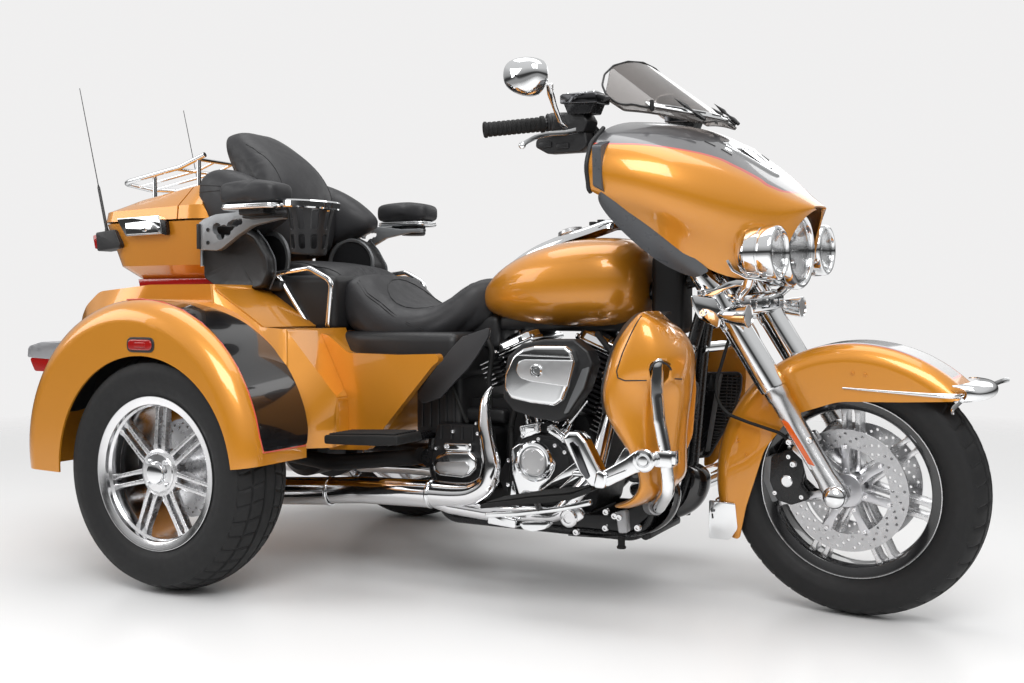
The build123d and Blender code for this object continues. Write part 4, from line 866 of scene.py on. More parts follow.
def front_wheel_pieces():
    body = "front_wheel"
    tread = tyre("front_tread", FRONT_HUB, 320, 130, FRONT_SEAT_R, FRONT_RIM_HALF, 40, (-0.34, 0, 0.34), 0.07)
    finish_piece(tread, "tyre_rubber", body, ("front_tyre",), True)
    top, inner = 205.7, 196
    profile = rounded([
        Vector((inner, -40)), Vector((top + 11, -46.5)), Vector((top + 15, -46.8)), Vector((top + 15, -43.2)),
        Vector((top + 3, -42.8)), Vector((top, -38)), Vector((top, 38)), Vector((top + 3, 42.8)),
        Vector((top + 15, 43.2)), Vector((top + 15, 46.8)), Vector((top + 11, 46.5)), Vector((inner, 40)),
        Vector((inner - 4, 14)), Vector((inner - 4, -14)),
    ], 2.5, 2)
    barrel = turned_y("front_barrel", [tuple(p) for p in profile], FRONT_HUB, 112)
    finish_piece(barrel, "black_gloss_paint", body, ("front_rim",), True)
    lip = [(top + 8, -45), (top + 15.3, -47.2), (top + 15.6, -45.5), (top + 15.4, -43.5), (top + 8, -42.9)]
    lips = mirrored(turned_y("front_lip", lip, FRONT_HUB, 112))
    finish_piece(lips, "machined_alloy", body, (), True)
    spokes = spoke_pairs("front_spokes", FRONT_HUB, 40, inner - 1, -24, -22, 48, 44, 13, 33)
    finish_piece(spokes, "machined_alloy", body, (), True)
    hub = turned_y("front_hub", [
        (12.9, -66), (40, -66), (44, -62), (44, -50), (40, -38), (40, 38), (44, 50), (44, 62), (40, 66), (12.9, 66)
    ], FRONT_HUB, 48)
    finish_piece(hub, "silver_paint", body, (), True)
    holes = [(113, 21, 0), (122, 21, 5.7), (131, 21, 11.4), (140, 21, 0)]
    disc = mirrored(brake_disc("front_discs", FRONT_HUB, -62, 150, 106, 5, holes))
    finish_piece(disc, "disc_steel", body, (), True)
    x, z = FRONT_HUB[0], FRONT_HUB[2]
    arm = beam("carrier", [
        [(x - 11, -65, z + 40), (x + 11, -65, z + 40), (x + 11, -59.5, z + 40), (x - 11, -59.5, z + 40)],
        [(x - 8, -65, z + 76), (x + 8, -65, z + 76), (x + 8, -59.5, z + 76), (x - 8, -59.5, z + 76)],
        [(x - 12, -65, z + 112), (x + 12, -65, z + 112), (x + 12, -59.5, z + 112), (x - 12, -59.5, z + 112)],
    ], 1.2)
    arms = mirrored(turn_copies(arm, SPOKE_PAIRS, FRONT_HUB, "disc_carriers"))
    finish_piece(arms, "silver_paint", body, (), True)
    rivets = mirrored(bolts("disc_bolts", ring_of(FRONT_HUB, 107, SPOKE_PAIRS, -65) + ring_of(FRONT_HUB, 50,
        SPOKE_PAIRS, -65), 5.5, 3.5))
    finish_piece(rivets, "polished_alloy", body, (), True)


def rear_wheel_pieces():
    y = REAR_HUB[1]
    top, inner = 190.2, 182.5
    tread = tyre("rear_tread_right", REAR_HUB, 321.5, 205, REAR_SEAT_R, REAR_RIM_HALF, 44, (-0.56, -0.19, 0.19, 0.56),
        0.10)
    profile = rounded([
        Vector((inner, y - 84)), Vector((top + 9, y - 88)), Vector((top + 15, y - 90)),
        Vector((top + 15.3, y - 86.2)),
        Vector((top + 3, y - 85.8)), Vector((top, y - 80)), Vector((top, y + 82)), Vector((top + 15, y + 86)),
        Vector((top + 15, y + 90)), Vector((inner, y + 88)), Vector((inner, y - 30)), Vector((inner - 6, y - 36)),
        Vector((inner - 6, y - 66)), Vector((inner, y - 72)),
    ], 2.5, 2)
    barrel = turned_y("rear_barrel_right", [tuple(p) for p in profile], REAR_HUB, 128)
    spokes = spoke_pairs("rear_spokes_right", REAR_HUB, 52, inner - 5, -68, -60, 26, 20, 12, 27)
    hub = turned_y("rear_hub_right", [
        (0, y - 70), (56, y - 71), (63, y - 67), (66, y - 60), (66, y - 38), (48, y - 20), (48, y + 36), (66, y + 37),
        (66, y + 44), (0, y + 44)
    ], REAR_HUB, 64)
    cap = turned_y("rear_cap_right", [
        (0, y - 88), (20, y - 88), (27, y - 85.5), (30, y - 80), (31, y - 71), (0, y - 71)
    ], REAR_HUB, 48)
    seat = turned_y("rear_hub_ring_right", [(31, y - 74.5), (50, y - 73.5), (53, y - 70.5), (31, y - 70.5)], REAR_HUB,
        64)
    lugs = bolts("rear_lugs_right", ring_of(REAR_HUB, 42, 4, y - 73, radians(45)), 6.5, 9, recess=False)
    holes = [(112, 24, 0), (122, 24, 7.5)]
    rotor = brake_disc("rear_rotor_right", REAR_HUB, y + 41, 135, 62, 7.6, holes)
    pieces = (
        (tread, "tyre_rubber", "tyre", "rear_tyre_"),
        (barrel, "polished_alloy", "cast_alloy", "rear_rim_"),
        (spokes, "machined_alloy", "cast_alloy", None),
        (hub, "machined_alloy", "cast_alloy", None),
        (cap, "chrome_plate", "cast_alloy", None),
        (seat, "polished_alloy", "cast_alloy", None),
        (lugs, "chrome_plate", "cast_alloy", None),
        (rotor, "disc_steel", "cast_alloy", None),
    )
    for obj, material, slot, node in pieces:
        twin = mirrored(obj, join=False)
        twin.name = obj.name.replace("right", "left")
        finish_piece(obj, material, "rear_wheel_right", (node + "right",) if node else ())
        finish_piece(twin, material, "rear_wheel_left", (node + "left",) if node else ())


# --- front end --------------------------------------------------------------------------------------------------
def face_away(obj, centre):
    """Turns an open surface so that its faces look away from a station inside it."""
    inside = at(*centre)
    total = sum((face.center - inside).dot(face.normal) * face.area for face in obj.data.polygons)
    if total < 0:
        obj.data.flip_normals()


def shell(name, rows, inside, wall, levels=2, closed=False):
    """Smooth thin wall through a net of stations; the wall grows towards the inside."""
    width = len(rows[0])
    points = [p for row in rows for p in row]
    faces = []
    for r in range(len(rows) - 1):
        for c in range(width if closed else width - 1):
            d = (c + 1) % width
            faces.append((r * width + c, r * width + d, (r + 1) * width + d, (r + 1) * width + c))
    obj = from_net(name, points, faces)
    flip_out(obj)
    face_away(obj, inside)
    modifier = obj.modifiers.new("Round", "SUBSURF")
    modifier.levels = modifier.render_levels = levels
    modifier = obj.modifiers.new("Wall", "SOLIDIFY")
    modifier.thickness = wall * MM
    modifier.offset = -1
    apply_all(obj)
    smooth(obj, 50)
    return obj


def drill_out(obj, start, end, radius, sides=64):
    """Cuts a round hole through a piece between two stations."""
    cutter = rod("cutter", start, end, radius, sides, 0.01)
    return cut(obj, cutter)


def surface_of(obj):
    return BVHTree.FromObject(obj, bpy.context.evaluated_depsgraph_get())


def drape(tree, station, toward, lift=0.0):
    """Station of the first point of a surface met from a station along a direction, raised off it by lift."""
    direction = Vector(toward).normalized()
    hit = tree.ray_cast(at(*station), direction)[0]
    if hit is None:
        return station
    spot = hit - direction * (lift * MM)
    return ((spot.x - REAR_AXLE_X) / MM, spot.y / MM, spot.z / MM)


# columns: x, half width, then the heights of the crown, its shoulder, the upper edge of the side, the side's
# middle and its crease, then (y, z) of the hollow below the crease and of the lower edge
FAIRING = (
    (1157, 395, 1250, 1243, 1215, 1175, 1120, 1078, (385, 1066), (374, 1058)),
    (1205, 393, 1247, 1238, 1207, 1169, 1112, 1064, (378, 1048), (366, 1036)),
    (1282, 380, 1231, 1217, 1183, 1153, 1092, 1036, (338, 1004), (312, 972)),
    (1352, 342, 1198, 1184, 1150, 1126, 1066, 1008, (274, 950), (240, 886)),
    (1420, 284, 1144, 1138, 1120, 1096, 1036, 984, (212, 908), (176, 840)),
    (1482, 212, 1090, 1087, 1080, 1062, 1010, 966, (158, 890), (132, 834)),
    (1535, 142, 1052, 1047, 1038, 1028, 998, 966, (118, 905), (108, 846)),
    (1572, 90, 1026, 1023, 1018, 1012, 1002, 990, (72, 984), (62, 980)),
    (1590, 46, 1012, 1011, 1010, 1008, 1006, 1004, (30, 1003), (20, 1003)),
)


def fairing_half(x, half, crown, shoulder, edge, stripe, side, crease, hollow, low):
    return [
        (x, 0, crown), (x, 0.45 * half, shoulder), (x, 0.77 * half, edge), (x, 0.93 * half, stripe),
        (x, half, side), (x, 0.975 * half, crease), (x, hollow[0], hollow[1]), (x, low[0], low[1]),
    ]


def fairing_pieces():
    rows = []
    for station in FAIRING:
        left = fairing_half(*station)
        right = [(x, -y, z) for x, y, z in reversed(left[1:])]
        rows.append(right + left)
    body = shell("fairing_shell", rows, (1300, 0, 1060), 4.5)
    drill_out(body, (1400, 0, 904), (1700, 0, 904), 101)
    cut(body, block("room", (1100, -166, 700), (1436, 166, 985), 0.1, 1))
    smooth(body, 40)
    tree = surface_of(body)
    finish_piece(body, "fairing_paint", "steering", ("fork_fairing",), True)
    edge = [Vector(p) for p in rows[0]]
    loop = [(p[0] - 1.5, p[1], p[2]) for p in edge[:6]]
    seal = mirrored(tube("fairing_edge", loop, 5.5, 60))
    finish_piece(seal, "edge_rubber", "steering", (), True)
    # Bright vent on the crown with two dark louvres, narrowing forwards.
    frame_line = [(1384, 92), (1376, 60), (1374, 0), (1376, -60), (1384, -92), (1432, -62), (1478, -22), (1486, 0),
        (1478, 22), (1432, 62)]
    ring = [drape(tree, (x, y, 1400), (0, 0, -1), 7) for x, y in frame_line]
    foot = [drape(tree, (x, y, 1400), (0, 0, -1), -3) for x, y in frame_line]
    hole = [(1432 + (x - 1432) * 0.62 - 6, y * 0.66) for x, y in frame_line]
    inner = [drape(tree, (x, y, 1400), (0, 0, -1), 5) for x, y in hole]
    well = [drape(tree, (x, y, 1400), (0, 0, -1), 1.5) for x, y in hole]
    count = len(ring)
    points = foot + ring + inner + well
    faces = [
        (k * count + n, k * count + (n + 1) % count, (k + 1) * count + (n + 1) % count, (k + 1) * count + n)
        for k in range(3) for n in range(count)
    ]
    bezel = from_net("vent_bezel", points, faces)
    flip_out(bezel)
    face_away(bezel, (1430, 0, 1000))
    bevel(bezel, 1.2, 2)
    apply_all(bezel)
    smooth(bezel, 40)
    finish_piece(bezel, "chrome_plate", "steering", (), True)
    pit = from_net("vent_pit", well, [tuple(range(count))])
    flip_out(pit)
    face_away(pit, (1430, 0, 1000))
    finish_piece(pit, "black_plastic", "steering", (), True)
    bars = []
    for y in (-22, 0, 22):
        a = drape(tree, (1398, y, 1400), (0, 0, -1), 5)
        b = drape(tree, (1462, y * 0.5, 1400), (0, 0, -1), 5)
        bars.append(tube("vent_bar", [a, b], 3.2))
    finish_piece(joined("vent_bars", bars), "chrome_plate", "steering", (), True)
    # Small dark slots in the crown paint, beside the vent.
    slots = [
        tube("slot", [drape(tree, (x, y, 1400), (0, 0, -1), 0.4),
        drape(tree, (x + 24, y * 0.93, 1400), (0, 0, -1), 0.4)], 1.6)
        for x, y in ((1352, -150), (1388, -132), (1352, 150), (1388, 132))
    ]
    finish_piece(joined("crown_slots", slots), "black_plastic", "steering", (), True)
    return tree


WIND_BASE = Vector((1350, 0, 1232))
WIND_SLOPE = Vector((-250, 0, 189)).normalized()
WIND_NORMAL = Vector((WIND_SLOPE.z, 0, -WIND_SLOPE.x))


def on_screen(y, up, lift=0.0):
    """Station on the curved screen at a distance across and up its slope."""
    turn = y / 440
    spot = WIND_BASE + WIND_SLOPE * up + WIND_NORMAL * ((440 + lift) * cos(turn) - 440)
    return (spot.x, (440 + lift) * sin(turn), spot.z)


def screen_pieces():
    rim = [
        (-205, 118), (-222, 136), (-232, 152), (-250, 160), (-262, 178), (-262, 214), (-243, 248), (-205, 276),
        (-150, 294), (-80, 300), (0, 301),
    ]
    path = [on_screen(y, up, 1) for y, up in rim]
    edge = mirrored(tube("screen_rim", path, 2.6, 40))
    finish_piece(edge, "edge_rubber", "steering", (), True)
    # Bright strip at the foot of the screen with sunk dark slots and rubber ends.
    line = [(y, 14 + 108 * (abs(y) / 205) ** 1.9) for y in range(-205, 206, 10)]
    low = [on_screen(y, up, 3) for y, up in line]
    high = [on_screen(y * 0.985, up + 24 - 8 * (abs(y) / 205) ** 2, 4) for y, up in line]
    count = len(line)
    strip = from_net("screen_strip", low + high, [(n, n + 1, count + n + 1, count + n) for n in range(count - 1)])
    flip_out(strip)
    face_away(strip, (1200, 0, 1150))
    modifier = strip.modifiers.new("Wall", "SOLIDIFY")
    modifier.thickness = 5 * MM
    modifier.offset = 0
    bevel(strip, 1.6, 2)
    apply_all(strip)
    smooth(strip)
    finish_piece(strip, "chrome_plate", "steering", ("screen_trim",), True)
    slots = []
    for y in (-150, -88, -26, 26, 88, 150):
        up = 14 + 108 * (abs(y) / 205) ** 1.9 + 11
        side = 1 if y > 0 else -1
        a = on_screen(y - side * 19, 14 + 108 * ((abs(y) - 19) / 205) ** 1.9 + 11, 5.8)
        b = on_screen(y + side * 19, 14 + 108 * ((abs(y) + 19) / 205) ** 1.9 + 10, 5.8)
        slots.append(tube("slot", [a, on_screen(y, up - 0.6, 6), b], 2.2, 40))
    finish_piece(joined("strip_slots", slots), "black_plastic", "steering", (), True)
    # Slim leaf-shaped black clips across the strip.
    leaves = []
    for y, up, lean in ((-112, 42, -16), (60, 30, 12), (150, 74, 20)):
        foot, top = Vector(on_screen(y, up - 34, 9)), Vector(on_screen(y + lean, up + 58, 15))
        profile = [(0, 0), (4.5, 3), (6.5, 24), (3, 40), (3, 52), (6, 62), (2.5, 84), (0, 102)]
        leaves.append(turned("leaf", profile, at(*foot), top - foot, 16))
    finish_piece(joined("screen_clips", leaves), "black_steel", "steering", (), True)
    ends = mirrored(block("strip_end", on_screen(-210, 104, 2),
        tuple(Vector(on_screen(-210, 128, 2)) + Vector((10, 12, 14))), 3))
    finish_piece(ends, "edge_rubber", "steering", (), True)


def dash_pieces():
    """Dark grey cheeks under the fairing's wings."""
    outer = [
        (1176, 1052, 372), (1168, 1034, 366), (1188, 985, 330), (1236, 925, 290), (1290, 872, 252), (1352, 842, 214),
    ]
    inner = [
        (1196, 1072, 378), (1222, 1046, 366), (1262, 1006, 332), (1300, 962, 296), (1346, 906, 250), (1392, 862, 208),
    ]
    rows = []
    for bend, lift in ((0.0, 0), (0.35, 7), (0.7, 6), (1.0, 0)):
        rows.append([
            (a[0] + (b[0] - a[0]) * bend, -(a[2] + (b[2] - a[2]) * bend) - lift, a[1] + (b[1] - a[1]) * bend)
            for a, b in zip(outer, inner)
        ])
    cheek = shell("dash_cheeks", rows, (1280, 0, 960), 4)
    finish_piece(mirrored(cheek), "grey_plastic", "steering", (), True)


FORK_DIR = Vector((-sin(radians(32)), 0, cos(radians(32))))


def on_fork(distance, side=-1):
    spot = Vector((1670, side * 125, 320)) + FORK_DIR * distance
    return (spot.x, spot.y, spot.z)


def fork_pieces():
    cover = turned("fork_cover", [
        (28, 292), (33, 292), (34, 296), (34.2, 470), (36, 478), (36, 560), (38.5, 566), (38.5, 640), (34, 646),
        (34, 690), (0, 690), (0, 300), (28, 300)
    ], at(*on_fork(0)), FORK_DIR, 56)
    finish_piece(mirrored(cover), "chrome_plate", "steering", ("front_fork",), True)
    slider = turned("fork_slider", [
        (0, -22), (20, -22), (26, -16), (30, 0), (30, 26), (26.5, 48), (25.5, 180), (26, 262), (29, 268), (29, 290),
        (27, 293), (0, 293)
    ], at(*on_fork(0)), FORK_DIR, 48)
    finish_piece(mirrored(slider), "slider_alloy", "steering", (), True)
    # Long raised boss down the outer face that carries the reflector.
    side_boss = beam("slider_boss", [
        [(*on_fork(72)[:1], -148, on_fork(72)[2]), (on_fork(72)[0] - 21, -148, on_fork(72)[2] + 0),
        (on_fork(72)[0] - 23, -138, on_fork(72)[2]), (on_fork(72)[0] + 2, -138, on_fork(72)[2])],
        [(*on_fork(216)[:1], -148, on_fork(216)[2]), (on_fork(216)[0] - 21, -148, on_fork(216)[2]),
        (on_fork(216)[0] - 23, -138, on_fork(216)[2]), (on_fork(216)[0] + 2, -138, on_fork(216)[2])],
    ], 2)
    finish_piece(mirrored(side_boss), "slider_alloy", "steering", (), True)
    a, b = on_fork(84), on_fork(204)
    reflector = beam("fork_reflectors", [
        [(a[0] - 1, -152.5, a[2]), (a[0] - 18, -152.5, a[2] + 4), (a[0] - 18, -146, a[2] + 4),
        (a[0] - 1, -146, a[2])],
        [(b[0] - 3, -152.5, b[2]), (b[0] - 20, -152.5, b[2] + 4), (b[0] - 20, -146, b[2] + 4),
        (b[0] - 3, -146, b[2])],
    ], 1.2)
    finish_piece(mirrored(reflector), "amber_lens", "steering", (), True)
    foot = at(1670, 0, 320)
    dome = turned("axle_dome", [(0, 171), (10, 170.4), (20, 166), (26, 158), (28, 150), (28, 140), (0, 140)], foot,
        (0, -1, 0), 48)
    finish_piece(mirrored(dome), "chrome_plate", "steering", (), True)
    axle = rod("front_axle_bar", (1670, -145, 320), (1670, 145, 320), 12.4, 32)
    finish_piece(axle, "polished_alloy", "steering", (), True)
    for distance, thick, name in ((820, 26, "lower"), (1014, 26, "upper")):
        spot = Vector((1769, 0, 0)) + Vector((-sin(radians(26)), 0, cos(radians(26)))) * distance
        forward = Vector((cos(radians(26)), 0, sin(radians(26))))
        up = Vector((-sin(radians(26)), 0, cos(radians(26))))
        outline = rounded([Vector((-30, -160, 0)), Vector((34, -160, 0)), Vector((40, 0, 0)), Vector((34, 160, 0)),
            Vector((-30, 160, 0)), Vector((-34, 0, 0))], [28, 28, 60, 28, 28, 60])
        clamp = ngon(name + "_clamp", [at(*(spot + forward * p.x + Vector((0, p.y, 0)))) for p in outline])
        only(clamp)
        bpy.ops.object.mode_set(mode="EDIT")
        bpy.ops.mesh.select_all(action="SELECT")
        bpy.ops.mesh.extrude_region_move(TRANSFORM_OT_translate={"value": up * thick * MM})
        bpy.ops.object.mode_set(mode="OBJECT")
        flip_out(clamp)
        bevel(clamp, 3, 3)
        apply_all(clamp)
        smooth(clamp)
        finish_piece(clamp, "black_steel" if name == "upper" else "chrome_plate", "steering", (), True)
    # Bolts and the brake pipe on the near leg.
    heads = bolts("caliper_bolts", [(1612, -149, 452), (1560, -146, 444), (1568, -142, 390)], 8, 6)
    finish_piece(mirrored(heads), "polished_alloy", "steering", (), True)
    pipe = tube("brake_pipe", [
        (1440, -128, 745), (1398, -122, 690), (1352, -112, 560), (1372, -108, 500), (1440, -104, 478),
        (1530, -104, 455), (1556, -100, 420), (1572, -90, 400)
    ], 4.2, 90)
    finish_piece(pipe, "board_rubber", "steering", (), True)


def caliper_pieces():
    """Black four-piston calipers with their bright pads, bolts and bridge."""
    side = [(1488, 392), (1540, 416), (1584, 404), (1566, 330), (1594, 296), (1540, 274), (1502, 284), (1484, 330)]
    pads = []
    for y_low, y_high in ((-84.5, -71), (-54, -40)):
        outline = rounded([Vector((x, z)) for x, z in side], 14)
        pads.append(plate("caliper", [tuple(p) for p in outline], y_low, y_high, "XZ", 4, 3))
    body = joined("calipers", pads)
    finish_piece(mirrored(body), "black_steel", "steering", ("brake_calipers",), True)
    bridge = rounded([Vector((1474, 388)), Vector((1492, 396)), Vector((1486, 330)), Vector((1506, 282)),
        Vector((1492, 276)), Vector((1470, 330))], 6)
    back = plate("caliper_bridge", [tuple(p) for p in bridge], -84, -40, "XZ", 2)
    finish_piece(mirrored(back), "bracket_grey", "steering", (), True)
    lug = plate("caliper_lugs", [tuple(p) for p in rounded([
        Vector((1550, 420)), Vector((1586, 462)), Vector((1606, 470)), Vector((1622, 448)), Vector((1600, 420)),
        Vector((1612, 380)), Vector((1640, 340)), Vector((1618, 326)), Vector((1590, 350)), Vector((1578, 396))
    ], 10)], -112, -84, "XZ", 3)
    finish_piece(mirrored(lug), "slider_alloy", "steering", (), True)
    caps = bolts("piston_caps", [(1530, -84.5, 334)], 15, 4, recess=False)
    small = bolts("caliper_screws", [(1536, -84.5, 396), (1500, -84.5, 302), (1568, -84.5, 298), (1578, -84.5, 392),
        (1600, -112, 452)], 6.5, 5)
    finish_piece(mirrored(joined("caliper_bolts_small", [caps, small])), "polished_alloy", "steering", (),
        True)


def fender_pieces():
    """Bright tip, side strips and ribbed tail of the front fender."""
    fender = cad_copy("probe", "front_fender")
    fender.data.transform(STEER.inverted())
    tree = surface_of(fender)
    rows = []
    steps = 26
    for n in range(steps + 1):
        t = n / steps
        x, z, half = 1672 + 300 * t, 574 - 12 * t, 1.5 + 4.5 * t
        y = drape(tree, (x, -300, z), (0, 1, 0), 0)[1]
        rows.append([
            (x, y + 1, z - half), (x, y - 2.5, z - half * 0.6), (x, y - 4, z),
            (x, y - 2.5, z + half * 0.6), (x, y + 1, z + half),
        ])
    strip = shell("fender_strip", rows, (1800, 0, 560), 1.5, 1)
    finish_piece(mirrored(strip), "chrome_plate", "steering", (), True)
    # Rounded bright bumper round the front tip.
    rows = []
    for n in range(13):
        turn = -pi / 2 + pi * n / 12
        y, reach = 89 * sin(turn), cos(turn)
        x = 1952 + 46 * reach**0.7
        rows.append([
            (x - 40, y * 0.96, 596 - 6 * (1 - reach)), (x - 12, y * 1.0, 592 - 4 * (1 - reach)),
            (x + 2, y * 1.01, 578), (x, y * 1.01, 562), (x - 12, y, 553), (x - 36, y * 0.96, 552)
        ])
    tip = shell("fender_tip", rows, (1930, 0, 570), 3)
    finish_piece(tip, "chrome_plate", "steering", (), True)
    # Ribbed bright tail under the rear tip.
    rows = []
    for n in range(17):
        y = -84 + 168 * n / 16
        bow = 1 - (abs(y) / 84) ** 6
        row = []
        for m in range(19):
            z = 166 + 100 * m / 18
            lean = 1322 - 2 + (z - 166) * 0.06
            rib = 2.5 if m % 3 == 1 and abs(y) < 78 else 0
            row.append((lean - rib - 8 * bow + 12, y, z))
        rows.append(row)
    tail = shell("fender_tail", rows, (1500, 0, 210), 2.5, 1)
    cheek = plate("fender_tail_side", [tuple(p) for p in rounded([
        Vector((1324, 266)), Vector((1396, 266)), Vector((1402, 200)), Vector((1380, 168)), Vector((1322, 166))
    ], [4, 6, 20, 20, 6])], -92.5, -88, "XZ", 1.5)
    finish_piece(joined("fender_tail", [tail, mirrored(cheek)]), "chrome_plate", "steering", (), True)
    screws = bolts("fender_screws", [(1405, -89, 428), (1425, -89, 392), (1695, -89, 610), (1725, -89, 608)], 4.5,
        2.5)
    finish_piece(mirrored(screws), "amber_paint", "steering", (), True)
    bpy.data.objects.remove(fender)


# --- lamps and controls -----------------------------------------------------------------------------------------
FORWARD = Vector((1, 0, 0))


def lamp_glass(name, foot, radius, dome):
    """Thin domed front glass."""
    outer = [(0, dome), (radius * 0.5, dome * 0.8), (radius * 0.85, dome * 0.3), (radius, 0)]
    inner = [(r * 0.97, d - 2.5) for r, d in reversed(outer[1:])]
    return turned(name, outer + inner + [(0, dome - 2.5)], foot, FORWARD, 56, 60)


def headlamp_pieces():
    foot = at(1440, 0, 904)
    shell_profile = [
        (0, 0), (60, 2), (84, 12), (90, 30), (90, 64), (92, 68), (96, 70), (98, 74), (98.5, 90), (97, 99), (93, 104),
        (87, 105), (82.5, 102), (81, 97), (81, 92), (76, 84), (60, 66), (38, 50), (16, 42), (0, 42),
    ]
    bezel = turned("headlamp_shell", shell_profile, foot, FORWARD, 96, 40)
    finish_piece(bezel, "chrome_plate", "steering", ("headlamp",), True)
    glass = lamp_glass("headlamp_glass", at(1536, 0, 904), 80.6, 8)
    finish_piece(glass, "clear_lens", "steering", (), True)
    # Two stacked reflector bowls with their bulb shields, parted by a bright web.
    parts = []
    for z in (34, -36):
        parts.append(turned("bulb_shield", [(0, 0), (13, 0), (17, 6), (17, 12), (12, 22), (0, 26)],
            at(1500, 0, 904 + z), FORWARD, 32))
    parts.append(block("lamp_web", (1496, -78, 901), (1524, 78, 905), 1))
    finish_piece(joined("headlamp_inner", parts), "polished_alloy", "steering", (), True)


def passing_lamp_pieces():
    foot = at(1447, -172, 901)
    can = turned("passing_lamp", [
        (0, 0), (22, 1.5), (42, 8), (54, 18), (60.5, 31), (61, 33), (59, 34), (59, 36), (61.5, 37), (62.5, 48),
        (62.5, 62), (60.5, 64), (60.5, 67), (64, 69), (65.5, 74), (66, 96), (65, 102), (62, 105), (58, 105.5),
        (55, 103), (54, 98), (48, 84), (30, 72), (12, 68), (0, 68),
    ], foot, FORWARD, 80, 40)
    finish_piece(mirrored(can), "chrome_plate", "steering", ("lamp_bar",), True)
    glass = lamp_glass("passing_glass", at(1546, -172, 901), 54.5, 6)
    finish_piece(mirrored(glass), "clear_lens", "steering", (), True)
    bulb = turned("passing_bulb", [(0, 0), (9, 0), (11, 5), (10, 14), (5, 19), (0, 20)], at(1515, -172, 901), FORWARD,
        24)
    finish_piece(mirrored(bulb), "polished_alloy", "steering", (), True)
    # Curved plate under each lamp, and the flat arm that carries it from the clamp.
    saddle = plate("lamp_saddle", [tuple(p) for p in rounded([
        Vector(p) for p in ((1424, 884), (1438, 858), (1470, 841), (1526, 833), (1526, 839), (1472, 847), (1444, 863),
        (1430, 887))
    ], [1, 14, 20, 1, 1, 20, 14, 1])], -196, -148, "XZ", 1.5)
    arm = plate("lamp_arm", [tuple(p) for p in rounded([
        Vector(p) for p in ((1336, 797), (1384, 799), (1420, 816), (1444, 821), (1478, 819), (1478, 835), (1440, 837),
        (1412, 831), (1380, 815), (1336, 813))
    ], [3, 40, 30, 20, 3, 3, 20, 30, 40, 3])], -172, -152, "XZ", 2.5)
    post = tube("lamp_post", [(1474, -172, 842), (1466, -166, 824), (1440, -150, 800), (1430, -128, 786)], 13, 24, 8)
    finish_piece(mirrored(joined("lamp_arms", [saddle, arm, post])), "chrome_plate", "steering", (), True)
    heads = bolts("lamp_arm_bolts", [(1466, -172, 828), (1352, -172, 805)], 8, 6)
    finish_piece(mirrored(heads), "polished_alloy", "steering", (), True)


def signal_pieces():
    bullet = turned("signal_bullet", [
        (0, 0), (4, 2), (11, 11), (17.5, 26), (22.5, 44), (25.5, 62), (26.8, 74), (28.2, 80), (28.4, 83), (26.6, 84),
        (25, 81), (24, 77), (0, 77),
    ], at(1394, -187, 752), Vector((1, 0, -0.02)), 56, 40)
    stalk = tube("signal_stalk", [(1440, -183, 748), (1436, -160, 760), (1428, -128, 772)], 9, 18)
    finish_piece(mirrored(joined("turn_signals", [bullet, stalk])), "chrome_plate", "steering", (), True)
    face = turned("signal_glass", [(0, 0), (25, 0), (25, 2), (20, 4), (0, 5)], at(1473, -187, 750.5), FORWARD, 40)
    finish_piece(mirrored(face), "signal_lens", "steering", (), True)


def clamp_cover_pieces():
    """Bright nacelle below the headlamp with its recessed windows and side brackets."""
    rows = []
    for y in (-150, -128, -64, 0, 64, 128, 150):
        bow = 1 - (abs(y) / 150) ** 3
        x = 1424 + 36 * bow
        rows.append([(x - 34, y, 800), (x - 6, y, 802), (x + 4, y, 792), (x + 6, y, 770), (x + 2, y, 748),
            (x - 34, y, 742)])
    cover = shell("clamp_cover", rows, (1390, 0, 770), 4, 2)
    windows = []
    for y in (-104, -36, 36, 104):
        cutter = block("window", (1400, y - 24, 760), (1520, y + 24, 784), 5)
        windows.append(cutter)
    cut(cover, joined("windows", windows))
    smooth(cover, 40)
    finish_piece(cover, "chrome_plate", "steering", (), True)
    back = block("clamp_core", (1380, -140, 752), (1444, 140, 790), 4)
    finish_piece(back, "polished_alloy", "steering", (), True)
    side = plate("clamp_side", [tuple(p) for p in rounded([
        Vector(p) for p in ((1318, 800), (1380, 792), (1400, 762), (1392, 716), (1340, 742), (1322, 770))
    ], [6, 10, 14, 8, 14, 10])], -172, -164, "XZ", 2.5)
    finish_piece(mirrored(side), "chrome_plate", "steering", (), True)
    heads = bolts("clamp_bolts", [(1352, -172, 756), (1440, -150, 800)], 9, 6)
    finish_piece(mirrored(heads), "polished_alloy", "steering", (), True)
    # Lower housing of the headlamp, seen between the lamp and the clamp.
    throat = turned("lamp_throat", [(70, 0), (74, 0), (78, 34), (84, 60), (80, 62), (70, 40)], at(1432, 0, 904),
        FORWARD, 64)
    finish_piece(throat, "chrome_plate", "steering", (), True)


BAR_ROUTE = [(1102, -10, 1096), (1096, -70, 1104), (1150, -190, 1120), (1078, -248, 1238), (1020, -300, 1240),
    (990, -330, 1236)]


